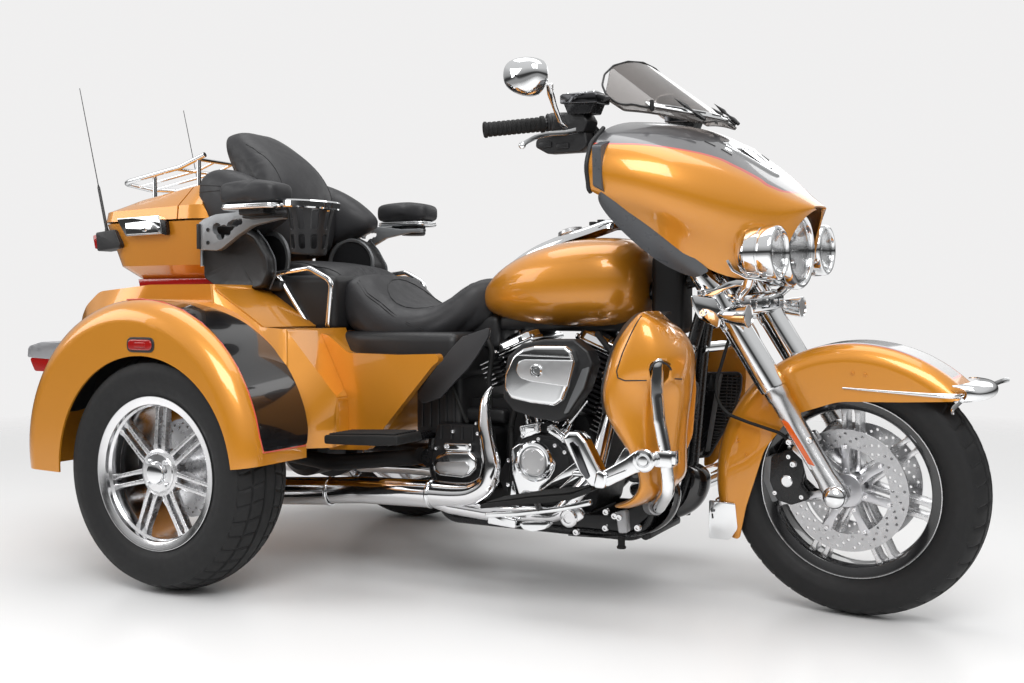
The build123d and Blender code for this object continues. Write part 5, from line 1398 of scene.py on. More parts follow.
def bar_pieces():
    bar = tube("handlebar_tube", BAR_ROUTE, 14, [30, 60, 50, 60], 8)
    finish_piece(mirrored(bar), "black_steel", "steering", ("handlebar",), True)
    start, end = Vector((996, -321, 1237)), Vector((884, -426, 1224))
    axis = end - start
    length = axis.length
    profile = [(0, 0), (20, 0), (21, 4), (21, 10), (17.5, 12)]
    step = 12
    d = 14
    while d < length - 10:
        profile += [(17.2, d), (18.6, d + 2), (18.6, d + step - 4), (17.2, d + step - 2)]
        d += step
    profile += [(17.5, length - 8), (20, length - 7), (20.5, length - 2), (18, length + 1), (13, length + 2),
        (12, length), (0, length)]
    grip = turned("grip", profile, at(*start), axis, 40, 25)
    finish_piece(mirrored(grip), "board_rubber", "steering", (), True)
    # Round throttle housing between the grip and the switches.
    a, b = Vector((1042, -277, 1240)), Vector((1000, -317, 1238))
    run = (b - a).length
    collar = turned("throttle_collar", [
        (0, 0), (22, 0), (25, 3), (26, 10), (26, run - 12), (24, run - 9), (24, run - 6), (25, run - 3), (22, run),
        (0, run)
    ], at(*a), b - a, 48)
    boxes = [collar]
    lower = plate("switch_box", [tuple(p) for p in rounded([
        Vector(p) for p in ((952, 1204), (1000, 1216), (1098, 1214), (1104, 1178), (1080, 1163), (985, 1165),
        (950, 1184))
    ], [12, 10, 10, 12, 12, 16, 10])], -296, -256, "XZ", 5, 3)
    upper = plate("bar_clamp", [tuple(p) for p in rounded([
        Vector(p) for p in ((1030, 1212), (1100, 1210), (1112, 1236), (1100, 1256), (1056, 1262), (1032, 1250))
    ], 12)], -306, -250, "XZ", 5, 3)
    boxes += [lower, upper]
    boxes.append(block("switch_a", (962, -300, 1180), (1000, -292, 1196), 3))
    boxes.append(block("switch_b", (1014, -300, 1174), (1052, -292, 1188), 3))
    finish_piece(mirrored(joined("switch_boxes", boxes)), "black_plastic", "steering", (), True)
    # Trapezoid reservoir with its bright lid band, on the right; the clutch side has the same body.
    tank_line = [(1062, 1256), (1126, 1252), (1138, 1276), (1142, 1290), (1052, 1296), (1052, 1280)]
    tank = plate("reservoir", [tuple(p) for p in rounded([Vector(p) for p in tank_line], [5, 5, 6, 3, 3, 6])], -318,
        -262, "XZ", 4, 3)
    finish_piece(mirrored(tank), "black_steel", "steering", (), True)
    lid = plate("reservoir_lid", [tuple(p) for p in rounded([
        Vector(p) for p in ((1044, 1282), (1148, 1275), (1150, 1296), (1140, 1301), (1052, 1306), (1044, 1302))
    ], 4)], -324, -256, "XZ", 3, 3)
    finish_piece(mirrored(lid), "black_chrome", "steering", (), True)
    lid_top = plate("reservoir_cap", [tuple(p) for p in rounded([
        Vector(p) for p in ((1052, -316), (1140, -316), (1140, -264), (1052, -264))
    ], 8)], 1300, 1307, "XY", 2)
    screws = bolts("reservoir_screws", [(1060, -310, 1306), (1132, -310, 1304), (1060, -270, 1306),
        (1132, -270, 1304)], 4, 3, (0, 0, 1))
    finish_piece(mirrored(joined("reservoir_tops", [lid_top, screws])), "chrome_plate", "steering", (),
        True)


def lever_pieces():
    """Bright shaped lever with its ball end and pivot."""
    line = [
        (1098, -268, 1238, 9, 6), (1090, -284, 1220, 10, 7), (1066, -322, 1210, 9, 6), (1040, -364, 1207, 8, 5.5),
        (1020, -398, 1198, 7, 5), (1010, -424, 1186, 5.5, 4.5), (1007, -434, 1180, 5, 4.5),
    ]
    rows = []
    for x, y, z, half, thick in line:
        rows.append([(x - half * 0.4, y - half, z - thick), (x - half * 0.4, y - half, z + thick),
            (x + half * 0.4, y + half, z + thick), (x + half * 0.4, y + half, z - thick)])
    bar = beam("lever", rows, 2.5, 3)
    ball = turned("lever_ball", [(0, -9), (5, -7.6), (8.4, -3), (9, 0), (8.4, 3), (5, 7.6), (0, 9)],
        at(1006, -440, 1176), (0, 0, 1), 24)
    pivot = turned("lever_pivot", [(0, 0), (9, 0), (11, 3), (11, 18), (8, 22), (0, 22)], at(1094, -276, 1224),
        (0, 0, 1), 24)
    finish_piece(mirrored(joined("levers", [bar, ball, pivot])), "chrome_plate", "steering", (), True)


def mirror_pieces():
    """Rounded chrome mirror shells on slim blades, with the glass facing back."""
    outline = [
        (-64, 2), (-56, -18), (-34, -34), (-2, -47), (26, -47), (48, -30), (60, -6), (60, 18), (48, 36), (18, 46),
        (-18, 48), (-50, 42), (-62, 24),
    ]
    centre = Vector((1004, -418, 1342))
    across = Vector((0.985, -0.17, 0))
    ahead = Vector((0.17, 0.985, 0))
    rows = []
    for scale, depth in ((0.9, 24), (1.0, 22), (1.02, 6), (1.0, -8), (0.9, -18), (0.68, -26), (0.36, -31),
        (0.05, -33)):
        rows.append([tuple(centre + across * (a * scale) + Vector((0, 0,
            b * scale)) + ahead * depth) for a, b in outline])
    cover = shell("mirror_shells", rows, tuple(centre + ahead * 14), 2.5, 2, True)
    finish_piece(mirrored(cover), "chrome_plate", "steering", ("mirrors",), True)
    glass = ngon("mirror_glass", [at(*(centre + across * (a * 0.93) + Vector((0, 0,
        b * 0.93)) + ahead * 20)) for a, b in outline])
    only(glass)
    modifier = glass.modifiers.new("Wall", "SOLIDIFY")
    modifier.thickness = 2 * MM
    apply_all(glass)
    finish_piece(mirrored(glass), "mirror_silver", "steering", (), True)
    rows = []
    for x, y, z, half, thick in (
        (1058, -392, 1322, 9, 8), (1048, -372, 1302, 9, 7), (1044, -350, 1276, 7, 6), (1042, -322, 1240, 7, 6),
        (1048, -300, 1224, 10, 9)
    ):
        rows.append([(x - half, y - thick * 0.3, z - thick * 0.4), (x - half, y + thick * 0.3, z + thick * 0.4),
            (x + half, y + thick * 0.5, z + thick * 0.4), (x + half, y - thick * 0.3, z - thick * 0.4)])
    stem = beam("mirror_stems", rows, 2.5, 3)
    knob = turned("mirror_knob", [(0, 0), (9, 0), (11, 3), (11, 14), (9, 18), (0, 18)], at(1052, -398, 1326),
        Vector((-0.3, -0.4, 0.3)), 24)
    finish_piece(mirrored(joined("mirror_stems", [stem, knob])), "chrome_plate", "steering", (), True)


def control_pieces():
    bar_pieces()
    lever_pieces()
    mirror_pieces()
# --- engine and lower body --------------------------------------------------------------------------------------
CRANK = Vector((893, 0, 350))
LEAN = radians(22.5)


def drawn(name, points, corner, low, high, edge=2, segments=3, plane="XZ"):
    """Slab from a short outline of stations with rounded corners and rounded edges."""
    return plate(name, [tuple(p) for p in rounded([Vector(p) for p in points], corner)], low, high, plane, edge,
        segments)


def on_cylinder(side, along, across, y):
    """Station on a cylinder: side -1 is the rear one; along counts from the crank."""
    lean = side * LEAN
    spot = CRANK + Vector((sin(lean), 0, cos(lean))) * along + Vector((cos(lean), 0, -sin(lean))) * across
    return (spot.x, y, spot.z)


def air_cleaner_pieces():
    back = drawn("air_backplate", [
        (816, 520), (818, 566), (829, 631), (872, 666), (935, 678), (1021, 679), (1060, 650), (1074, 618),
        (1051, 550), (998, 478),
        (977, 466), (921, 471), (847, 488),
    ], 12, -252, -196, 7, 4)
    finish_piece(back, "black_plastic", "chassis", ("air_cleaner",))
    panel = drawn("air_backplate_panel", [(1030, 566), (1046, 604), (1068, 612), (1050, 556), (1006, 492),
        (994, 488)], 5, -256, -250, 1.5)
    finish_piece(panel, "bracket_grey", "chassis")
    cover = drawn("air_cleaner_cover", [
        (862, 636), (838, 585), (836, 550), (853, 524), (911, 514), (984, 510), (1003, 524), (1018, 560), (1037, 622),
        (1027, 652),
        (1012, 663), (925, 662), (890, 654),
    ], [30, 30, 30, 26, 20, 14, 16, 10, 12, 10, 14, 20, 24], -286, -250, 11, 6)
    finish_piece(cover, "chrome_plate", "chassis")
    face_line = [(884, 620), (901, 625), (1034, 626), (1018, 563), (915, 573), (889, 580), (876, 597)]
    rim = drawn("air_cleaner_rim", [(x + (x - 955) * 0.035, z + (z - 598) * 0.07) for x, z in face_line],
        [16, 12, 3, 3, 12, 14, 14], -289, -284, 1.8)
    finish_piece(rim, "chrome_plate", "chassis")
    face = drawn("air_cleaner_face", face_line, [16, 12, 3, 3, 12, 14, 14], -290, -287, 0.8)
    finish_piece(face, "satin_alloy", "chassis")
    groove = drawn("air_cleaner_groove", [(880, 636), (1030, 634), (1032, 637), (880, 640)], 1, -286.6, -284, 0.3)
    screw = turned("air_cleaner_screw", [(0, 0), (17, 0), (17, 6), (14, 9), (12, 9), (11, 7), (7, 7), (6, 5), (0, 5)],
        at(934, -288, 599), (0, -1, 0), 40)
    finish_piece(joined("air_cleaner_screw", [screw, groove]), "chrome_plate", "chassis")
    intake = block("intake_body", (850, -198, 596), (940, -70, 660), 12, 3)
    finish_piece(intake, "black_cast", "chassis")


def rocker_ring(side, along, half, half_y, nip):
    """Eight corners round one height of a rocker cover, with its corners cut off."""
    corners = [
        (-half, -half_y + nip), (-half + nip, -half_y), (half - nip, -half_y), (half, -half_y + nip),
        (half, half_y - nip), (half - nip, half_y), (-half + nip, half_y), (-half, half_y - nip),
    ]
    return [on_cylinder(side, along, u, v) for u, v in corners]


# One ring of a rocker cover: distance along the cylinder, half length, half width, cut corner.
ROCKER_RINGS = ((319, 82, 92, 26), (331, 82, 92, 26), (332, 76, 86, 24), (350, 73, 82, 24), (364, 40, 62, 18),
    (366, 30, 52, 16))


def rocker_pieces():
    """Chrome rocker covers: a base band, a hipped cover and the dark split down the middle."""
    parts, bands, heads = [], [], []
    for side in (-1, 1):
        rows = [rocker_ring(side, *ring) for ring in ROCKER_RINGS]
        points = [p for row in rows for p in row]
        faces = [tuple(range(8)), tuple(range(47, 39, -1))]
        for r in range(5):
            for c in range(8):
                d = (c + 1) % 8
                faces.append((r * 8 + c, r * 8 + d, r * 8 + 8 + d, r * 8 + 8 + c))
        cover = from_net("rocker_cover", points, faces)
        flip_out(cover)
        bevel(cover, 3, 3)
        apply_all(cover)
        smooth(cover)
        parts.append(cover)
        rows = []
        for u in (14, 26):
            rows.append([on_cylinder(side, 330, u, -93), on_cylinder(side, 330, u, 93), on_cylinder(side, 366, u, 70),
                on_cylinder(side, 366, u, -70)])
        bands.append(beam("rocker_split", rows, 2))
        for u in (-66, 60):
            for y in (-88, 88):
                spot = on_cylinder(side, 331, u, y)
                heads.append(turned("rocker_bolt", [(0, 0), (7, 0), (7, 6), (5, 8), (0, 8)], at(*spot),
                    Vector((sin(side * LEAN), 0, cos(side * LEAN))), 16))
    finish_piece(joined("rocker_covers_bright", parts), "chrome_plate", "chassis", ("rocker_covers",))
    finish_piece(joined("rocker_splits", bands), "black_chrome", "chassis")
    finish_piece(joined("rocker_bolts", heads), "polished_alloy", "chassis")


def fin_edges():
    """Machined edges of the cooling fins at their cut corners, and the outer fins of each head."""
    strips = []
    fins = []
    for side, first, last, count, start, pitch in ((-1, -124, -84, 6, 252, 13), (1, 60, 100, 10, 118, 13)):
        for n in range(count):
            along = start + pitch * n
            corners = [on_cylinder(side, along + t, u, 0) for t, u in ((-2.2, first), (-2.2, last), (2.2, last),
                (2.2, first))]
            fins.append(plate("outer_fin", [(p[0], p[2]) for p in corners], -94, -20, "XZ", 0.8))
            a, b = on_cylinder(side, along, first + 4, -95), on_cylinder(side, along, last - 4, -95)
            strips.append(rod("fin_edge", a, b, 1.9, 8, 0.4))
    finish_piece(mirrored(joined("outer_fins", fins)), "black_cast", "chassis")
    for side in (-1, 1):
        for n in range(12):
            along = 154 + 14 * n
            half_y = 89 if along > 250 else 73
            for end in (-1, 1):
                a = on_cylinder(side, along + 3, end * 45.5, -half_y)
                b = on_cylinder(side, along + 3, end * 73, -half_y + 28)
                strips.append(rod("fin_edge", a, b, 2.4, 8, 0.4))
    edges = mirrored(joined("fin_edges", strips))
    finish_piece(edges, "machined_alloy", "chassis")


def lifter_pieces():
    blocks = [
        drawn("lifter_block", [(837, 443), (897, 456), (902, 431), (844, 409)], 4, -198, -140, 3),
        drawn("lifter_block", [(919, 447), (941, 451), (984, 420), (975, 402), (923, 430)], 4, -198, -140, 3),
    ]
    lids = [
        drawn("lifter_lid", [(854, 441), (884, 447), (886, 434), (858, 425)], 3, -202, -197, 1.5),
        drawn("lifter_lid", [(932, 440), (942, 442), (966, 422), (962, 414), (932, 432)], 3, -202, -197, 1.5),
    ]
    tubes = []
    for side in (-1, 1):
        for across in (-16, 16):
            a = on_cylinder(side, 100, across, -140)
            b = on_cylinder(side, 258, across * 1.3, -100)
            tubes.append(rod("pushrod", a, b, 7.5, 20))
            tubes.append(rod("pushrod_collar", on_cylinder(side, 100, across, -140),
                on_cylinder(side, 118, across * 1.03, -135.4), 11, 20, 1.5))
            tubes.append(rod("pushrod_cap", on_cylinder(side, 176, across * 1.14, -120.8),
                on_cylinder(side, 186, across * 1.16, -118.2), 9.5, 20, 1))
    spare = tube("pushrod_front", [(1018, -158, 517), (965, -158, 451)], 4.6)
    foot = rod("pushrod_front_foot", (968, -158, 455), (952, -150, 425), 11, 20, 2)
    finish_piece(joined("lifter_blocks", blocks + lids + tubes + [spare, foot]), "chrome_plate", "chassis",
        ("pushrod_tubes",))
    spots = [(846, -198, 436), (892, -198, 450), (893, -198, 436), (926, -198, 440), (968, -198, 411),
        (934, -198, 448), (848, -198, 418)]
    finish_piece(bolts("lifter_bolts", spots, 5, 5), "polished_alloy", "chassis")


def case_pieces():
    """Cam chest with its bright ringed cover, the gearbox end and the primary case on the far side."""
    chest = drawn("cam_chest", [(985, 258), (1000, 366), (948, 424), (852, 424), (798, 360), (812, 258)],
        [40, 44, 34, 32, 44, 34], -192, -168, 6)
    chest_rim = drawn("cam_chest_step", [(972, 268), (986, 362), (940, 414), (858, 414), (810, 358), (824, 268)],
        [36, 40, 30, 28, 40, 30], -196, -190, 3)
    gear_side = drawn("gear_side", [(736, 262), (742, 436), (560, 436), (545, 330), (560, 262)], 24, -168, -150, 6)
    ribs = [block("case_rib", (572 + 34 * n, -172, 392), (580 + 34 * n, -160, 430), 2) for n in range(4)]
    finish_piece(joined("case_covers", [chest, chest_rim, gear_side, *ribs]), "black_cast", "chassis",
        ("drive_covers",))
    body = drawn("cam_cover_body", [
        (817, 383), (838, 397), (900, 408), (930, 378), (948, 352), (945, 334), (930, 308), (905, 288), (898, 266),
        (840, 259), (830, 288), (818, 320),
    ], [10, 12, 20, 16, 12, 12, 12, 16, 10, 10, 12, 14], -206, -194, 4)
    foot = drawn("cam_cover_foot", [(818, 306), (832, 250), (811, 250)], 4, -200, -194, 2)
    cup = turned("cam_cover_cup", [
        (0, 0), (52, 0), (54, 3), (54, 8), (50, 14), (45, 16), (41, 15), (39, 12), (38, 9), (0, 9)
    ], at(889, -205, 354), (0, -1, 0), 72)
    finish_piece(joined("cam_cover_bright", [body, foot, cup]), "chrome_plate", "chassis")
    disc = turned("cam_cover_disc", [(0, 0), (37, 0), (37, 4), (33, 6.5), (0, 7.5)], at(889, -214, 354), (0, -1, 0),
        64)
    finish_piece(disc, "satin_alloy", "chassis")
    shell_line = [(563, 318), (572, 345), (606, 362), (680, 365), (702, 346), (703, 320), (680, 297), (655, 289),
        (584, 291), (564, 302)]
    gear = drawn("gear_cover", shell_line, [16, 20, 20, 18, 16, 16, 16, 14, 14, 12], -194, -160, 10, 5)
    cap = drawn("gear_cap", [(594, 384), (682, 386), (684, 364), (596, 362)], 8, -186, -160, 4)
    finish_piece(joined("gear_cover", [gear, cap]), "chrome_plate", "chassis")
    plate_face = drawn("gear_face", [(578, 330), (672, 337), (684, 322), (668, 296), (590, 299), (576, 312)],
        [10, 12, 12, 12, 12, 10], -197, -192, 1.5)
    finish_piece(plate_face, "satin_alloy", "chassis")
    primary = drawn("primary_case", [(985, 245), (1000, 420), (880, 460), (640, 430), (555, 330), (620, 225)],
        [60, 90, 60, 80, 70, 60], 92, 190, 14, 5)
    derby = turned("derby_cover", [(0, 0), (84, 0), (82, 8), (74, 12), (0, 14)], at(665, 190, 330), (0, 1, 0), 72)
    clutch = turned("alternator_cover", [(0, 0), (62, 0), (60, 8), (52, 11), (0, 12)], at(900, 190, 350), (0, 1, 0),
        64)
    finish_piece(joined("primary_covers", [primary, derby, clutch]), "chrome_plate", "chassis")
    far_heads = bolts("primary_bolts", [
        (x, 203, z) for x, z in ((972, 262), (985, 410), (885, 448), (650, 418), (572, 335), (628, 240), (760, 442),
        (780, 238))
    ], 6, 5, (0, 1, 0))
    spots = [
        (617, -168, 415), (696, -168, 413), (691, -168, 441), (562, -168, 364), (551, -160, 321), (805, -194, 349),
        (804, -194, 284),
        (944, -196, 398), (896, -196, 412), (972, -196, 382), (968, -196, 300), (790, -168, 262),
    ]
    finish_piece(joined("case_bolts", [bolts("case_bolt", spots, 6.5, 6), far_heads]), "polished_alloy", "chassis")
    cap_bolts = bolts("gear_cap_bolts", [(604, -186, 374), (672, -186, 376)], 7, 4)
    disc_bolts = bolts("disc_screws", ring_of((889, 0, 354), 28, 5, -220), 3.4, 2.5)
    finish_piece(joined("cover_screws", [cap_bolts, disc_bolts]), "polished_alloy", "chassis")


def pipe(name, stations, steps=8):
    """Round pipe whose radius follows its stations, on a smooth curve through them."""
    rows = []
    for n in range(len(stations) - 1):
        a, b, c, d = (Vector(stations[min(max(n + k, 0), len(stations) - 1)]) for k in (-1, 0, 1, 2))
        for s in range(steps):
            u = s / steps
            rows.append(0.5 * (
                2 * b + (c - a) * u + (2 * a - 5 * b + 4 * c - d) * u * u + (3 * b - a - 3 * c + d) * u * u * u))
    rows.append(Vector(stations[-1]))
    largest = max(row[3] for row in rows)
    obj = tube(name, [tuple(row[:3]) for row in rows], largest, (), 10, [row[3] / largest for row in rows])
    smooth(obj, 70)
    return obj


def exhaust_pieces():
    rear = pipe("rear_header", [
        (758, -205, 545, 5), (749, -222, 512, 13), (753, -234, 447, 19), (765, -237, 391, 22), (775, -238, 340, 26),
        (762, -238, 290, 29),
        (722, -239, 262, 31), (670, -240, 252, 34), (590, -240, 250, 37),
    ])
    front = tube("front_header", [(1040, -80, 575), (1085, -130, 540), (1060, -205, 330), (965, -222, 222),
        (760, -238, 212), (650, -240, 220), (585, -240, 236)], 21, [40, 60, 60, 60, 60], 8)
    right = tube("right_pipe", [(598, -240, 249), (360, -246, 243), (250, -255, 234)], 38, [300], 10)
    silencer = tube("right_silencer", [(256, -255, 233), (-90, -298, 214), (-560, -298, 214)], 40, [400], 10)
    cross = tube("cross_pipe", [(560, -240, 236), (440, -150, 232), (440, 150, 232), (250, 300, 222),
        (-90, 300, 214)], 22, [60, 90, 200], 8)
    left = tube("left_silencer", [(-60, 300, 214), (-560, 300, 214)], 40, (), 10)
    finish_piece(joined("exhaust_bright", [rear, front, right, silencer, cross, left]), "pipe_chrome", "chassis",
        ("exhaust",))
    rings = []
    for x, y, z, r, axis in (
        (586, -240, 249, 40, (1, 0.02, 0.02)), (256, -255, 233, 42, (1, 0.1, 0.05)), (-60, 300, 214, 42, (1, 0, 0)),
        (-556, -298, 214, 42, (1, 0, 0)), (-556, 300, 214, 42, (1, 0, 0)),
    ):
        rings.append(turned("pipe_ring", [(r - 3, 0), (r, 0), (r + 0.8, 2), (r + 0.8, 6), (r, 8), (r - 3, 8)],
            at(x, y, z), axis, 48))
    finish_piece(joined("pipe_rings", rings), "chrome_plate", "chassis")
    mouths = [turned("pipe_mouth", [(0, 0), (33, 0), (33, 2), (0, 2)], at(-561, y, 214), (-1, 0, 0),
        40) for y in (-298, 300)]
    finish_piece(joined("pipe_mouths", mouths), "black_cast", "chassis")
    # Harness beside the rear header, with its rings.
    harness = tube("harness", [(800, -120, 520), (796, -165, 440), (806, -178, 340), (800, -178, 262)], 8, 60)
    loops = [turned("harness_ring", [(7, -1.6), (9.4, 0), (7, 1.6)], at(797 + 0.6 * n, -166 - n * 0.6, 438 - 11 * n),
        (0.08, -0.1, -1), 16) for n in range(14)]
    finish_piece(joined("harness", [harness, *loops]), "board_rubber", "chassis")


def dark_parts():
    """Black parts packed behind the engine: battery box, coil, regulator and backbone covers."""
    parts = [
        block("battery_box", (480, -150, 400), (632, 150, 600), 14, 3),
        block("seat_base", (560, -56, 640), (700, 56, 740), 20, 3),
        block("backbone_cover", (700, -58, 694), (1150, 58, 736), 14, 3),
        block("coil_cover", (1090, -70, 560), (1150, 70, 700), 14, 3),
        block("regulator", (1112, -110, 300), (1160, 110, 540), 10, 3),
        block("horn_cover", (866, 72, 560), (944, 200, 650), 16, 3),
        block("gear_top", (570, -120, 436), (752, 120, 476), 12, 3),
        block("oil_pan", (600, -96, 178), (1000, 96, 212), 10, 3),
    ]
    parts += [block("regulator_fin", (1156, -104, 312 + 17 * n), (1170, 104, 318 + 17 * n), 1.5) for n in range(14)]
    parts += [block("battery_rib", (500 + 26 * n, -155, 420), (508 + 26 * n, -148, 584), 2) for n in range(5)]
    finish_piece(joined("engine_surroundings", parts), "black_plastic", "chassis")
    loops = [
        tube("loom", [(700, -140, 690), (730, -150, 640), (716, -145, 560), (724, -150, 480)], 7, 40),
        tube("loom", [(1020, -100, 690), (1060, -130, 660), (1105, -128, 600), (1112, -122, 500)], 8, 40),
        tube("loom", [(560, -140, 600), (600, -160, 560), (640, -160, 470), (650, -150, 440)], 6, 40),
        tube("loom", [(1150, -60, 640), (1172, -110, 560), (1170, -112, 420), (1140, -112, 330)], 9, 60),
    ]
    finish_piece(joined("engine_looms", loops), "board_rubber", "chassis")
    # Heat deflectors between the saddle and the engine.
    shield = drawn("heat_deflector", [
        (672, 680), (759, 707), (752, 680), (719, 631), (690, 594), (647, 555), (604, 512), (545, 492), (525, 512),
        (560, 560), (640, 650),
    ], [14, 10, 10, 20, 20, 20, 12, 14, 12, 30, 40], -216, -206, 3)
    brace = rod("deflector_stay", (690, -207, 660), (676, -92, 668), 8)
    stay = rod("deflector_stay", (576, -207, 530), (552, -122, 530), 8)
    finish_piece(mirrored(joined("heat_deflectors", [shield, brace, stay])), "grey_black", "chassis")


def footboard_pieces():
    """Rubber-topped boards with their bright trim, pedals and pegs."""
    deck = drawn("rider_board", [(850, 262), (853, 273), (983, 299), (1096, 316), (1150, 339), (1153, 331),
        (1098, 304), (984, 284)], [4, 4, 60, 60, 3, 3, 60, 60], -436, -332, 3)
    ribs = []
    for n in range(9):
        y = -426 + 11.5 * n
        ribs.append(tube("board_rib", [(866, y, 277), (983, y, 302.5), (1090, y, 320), (1140, y, 337)], 2.6,
            [200, 200]))
    passenger = drawn("passenger_board", [(398, 400), (398, 424), (560, 432), (628, 434), (632, 410), (560, 404)],
        [8, 8, 60, 9, 9, 60], -470, -352, 5)
    for n in range(8):
        y = -458 + 13.5 * n
        ribs.append(tube("board_rib", [(410, y, 426), (560, y, 434), (618, y, 436)], 2.8, [200]))
    finish_piece(mirrored(joined("board_rubbers", [deck, passenger, *ribs])), "board_rubber", "chassis",
        ("footboards",))
    arms = [
        tube("board_arm", [(960, -342, 276), (950, -300, 240), (950, -134, 200)], 8, 30, 8),
        tube("board_arm_rear", [(520, -356, 400), (528, -118, 398)], 12, (), 8),
    ]
    finish_piece(mirrored(joined("board_arms", arms)), "black_steel", "chassis")
    under = drawn("board_trim", [(800, 214), (798, 228), (891, 240), (1014, 262), (1094, 287), (1098, 272),
        (1014, 249), (891, 226)], [6, 6, 60, 60, 6, 6, 60, 60], -318, -302, 4)
    block_end = drawn("board_bracket", [(796, 196), (796, 226), (878, 214), (878, 190)], 5, -300, -262, 4)
    foot = drawn("board_foot", [(885, 205), (950, 214), (980, 214), (960, 196), (925, 186), (900, 190)],
        [8, 20, 8, 14, 14, 8], -296, -270, 4)
    pedal = drawn("brake_pedal", [(918, 270), (1040, 368), (1060, 382), (1076, 362), (1030, 328), (968, 272)],
        [6, 20, 10, 10, 20, 6], -300, -286, 4)
    pedal_b = drawn("brake_pedal_arm", [(986, 282), (1064, 358), (1078, 346), (1026, 288)], 6, -318, -306, 3)
    pad = block("brake_pad", (1078, -388, 352), (1134, -312, 366), 5, 3)
    finish_piece(joined("foot_levers", [under, block_end, foot, pedal, pedal_b, pad, mirror_only(pedal),
        mirror_only(under), mirror_only(block_end)]), "chrome_plate", "chassis", ("foot_controls",))
    button = turned("pivot_bolt", [(0, 0), (22, 0), (24, 3), (24, 16), (20, 20), (13, 20), (12, 16), (0, 16)],
        at(1005, -232, 220), (0, -1, 0), 40)
    bracket = drawn("pivot_bracket", [(985, 236), (1030, 250), (1050, 226), (1010, 200), (988, 204)], 12, -244, -226,
        3)
    small = bolts("pivot_screws", [(1018, -226, 182), (1090, -200, 236), (1080, -180, 190)], 9, 7)
    parts = joined("pivot_bolts", [button, bracket, small])
    finish_piece(mirrored(parts), "polished_alloy", "chassis")


def mirror_only(obj):
    """Mirror image of a piece on the other side of the trike."""
    return mirrored(obj, join=False)


def engine_pieces():
    air_cleaner_pieces()
    rocker_pieces()
    fin_edges()
    lifter_pieces()
    case_pieces()
    exhaust_pieces()
    dark_parts()
    footboard_pieces()
# --- leg fairings, guard and pegs -------------------------------------------------------------------------------
LEG_INNER_Y = 222
# columns: height, rear edge, front edge, half width, share of the hollow that the guard tube lies in
LEG_ROWS = (
    (284, 1170, 1236, 376, 0), (291, 1186, 1250, 390, 0), (304, 1220, 1268, 402, 0), (322, 1238, 1294, 410, 0.4),
    (348, 1250, 1322, 416, 0.9),
    (387, 1243, 1322, 424, 1), (430, 1219, 1326, 430, 1), (470, 1191, 1331, 434, 1), (510, 1168, 1337, 437, 1),
    (553, 1162, 1344, 438, 1),
    (582, 1166, 1347, 438, 0.7), (600, 1171, 1349, 438, 0), (630, 1178, 1350, 437, 0), (662, 1188, 1347, 435, 0),
    (695, 1202, 1334, 430, 0),
    (722, 1218, 1316, 421, 0), (740, 1232, 1296, 408, 0), (750, 1244, 1272, 390, 0),
)


def leg_row(height, rear, front, out, hollow):
    wide = front - rear
    corner = min(42, 0.24 * wide)
    row = [
        (front - 0.12 * wide, LEG_INNER_Y), (front - 0.02 * wide, LEG_INNER_Y + 34),
        (front, 0.5 * (LEG_INNER_Y + out)),
        (front - 0.1 * wide, out - 40 - 44 * hollow), (front - corner, out - 8 - 56 * hollow),
        (front - 1.9 * corner, out - 16 * hollow),
        (rear + min(44, 0.3 * wide), out - 1), (rear + min(14, 0.12 * wide), out - 16), (rear, out - 40),
    ]
    fall = max(0, height - 650) * 0.3
    return [(x, -y, height - fall * (out - y) / 200) for x, y in row]


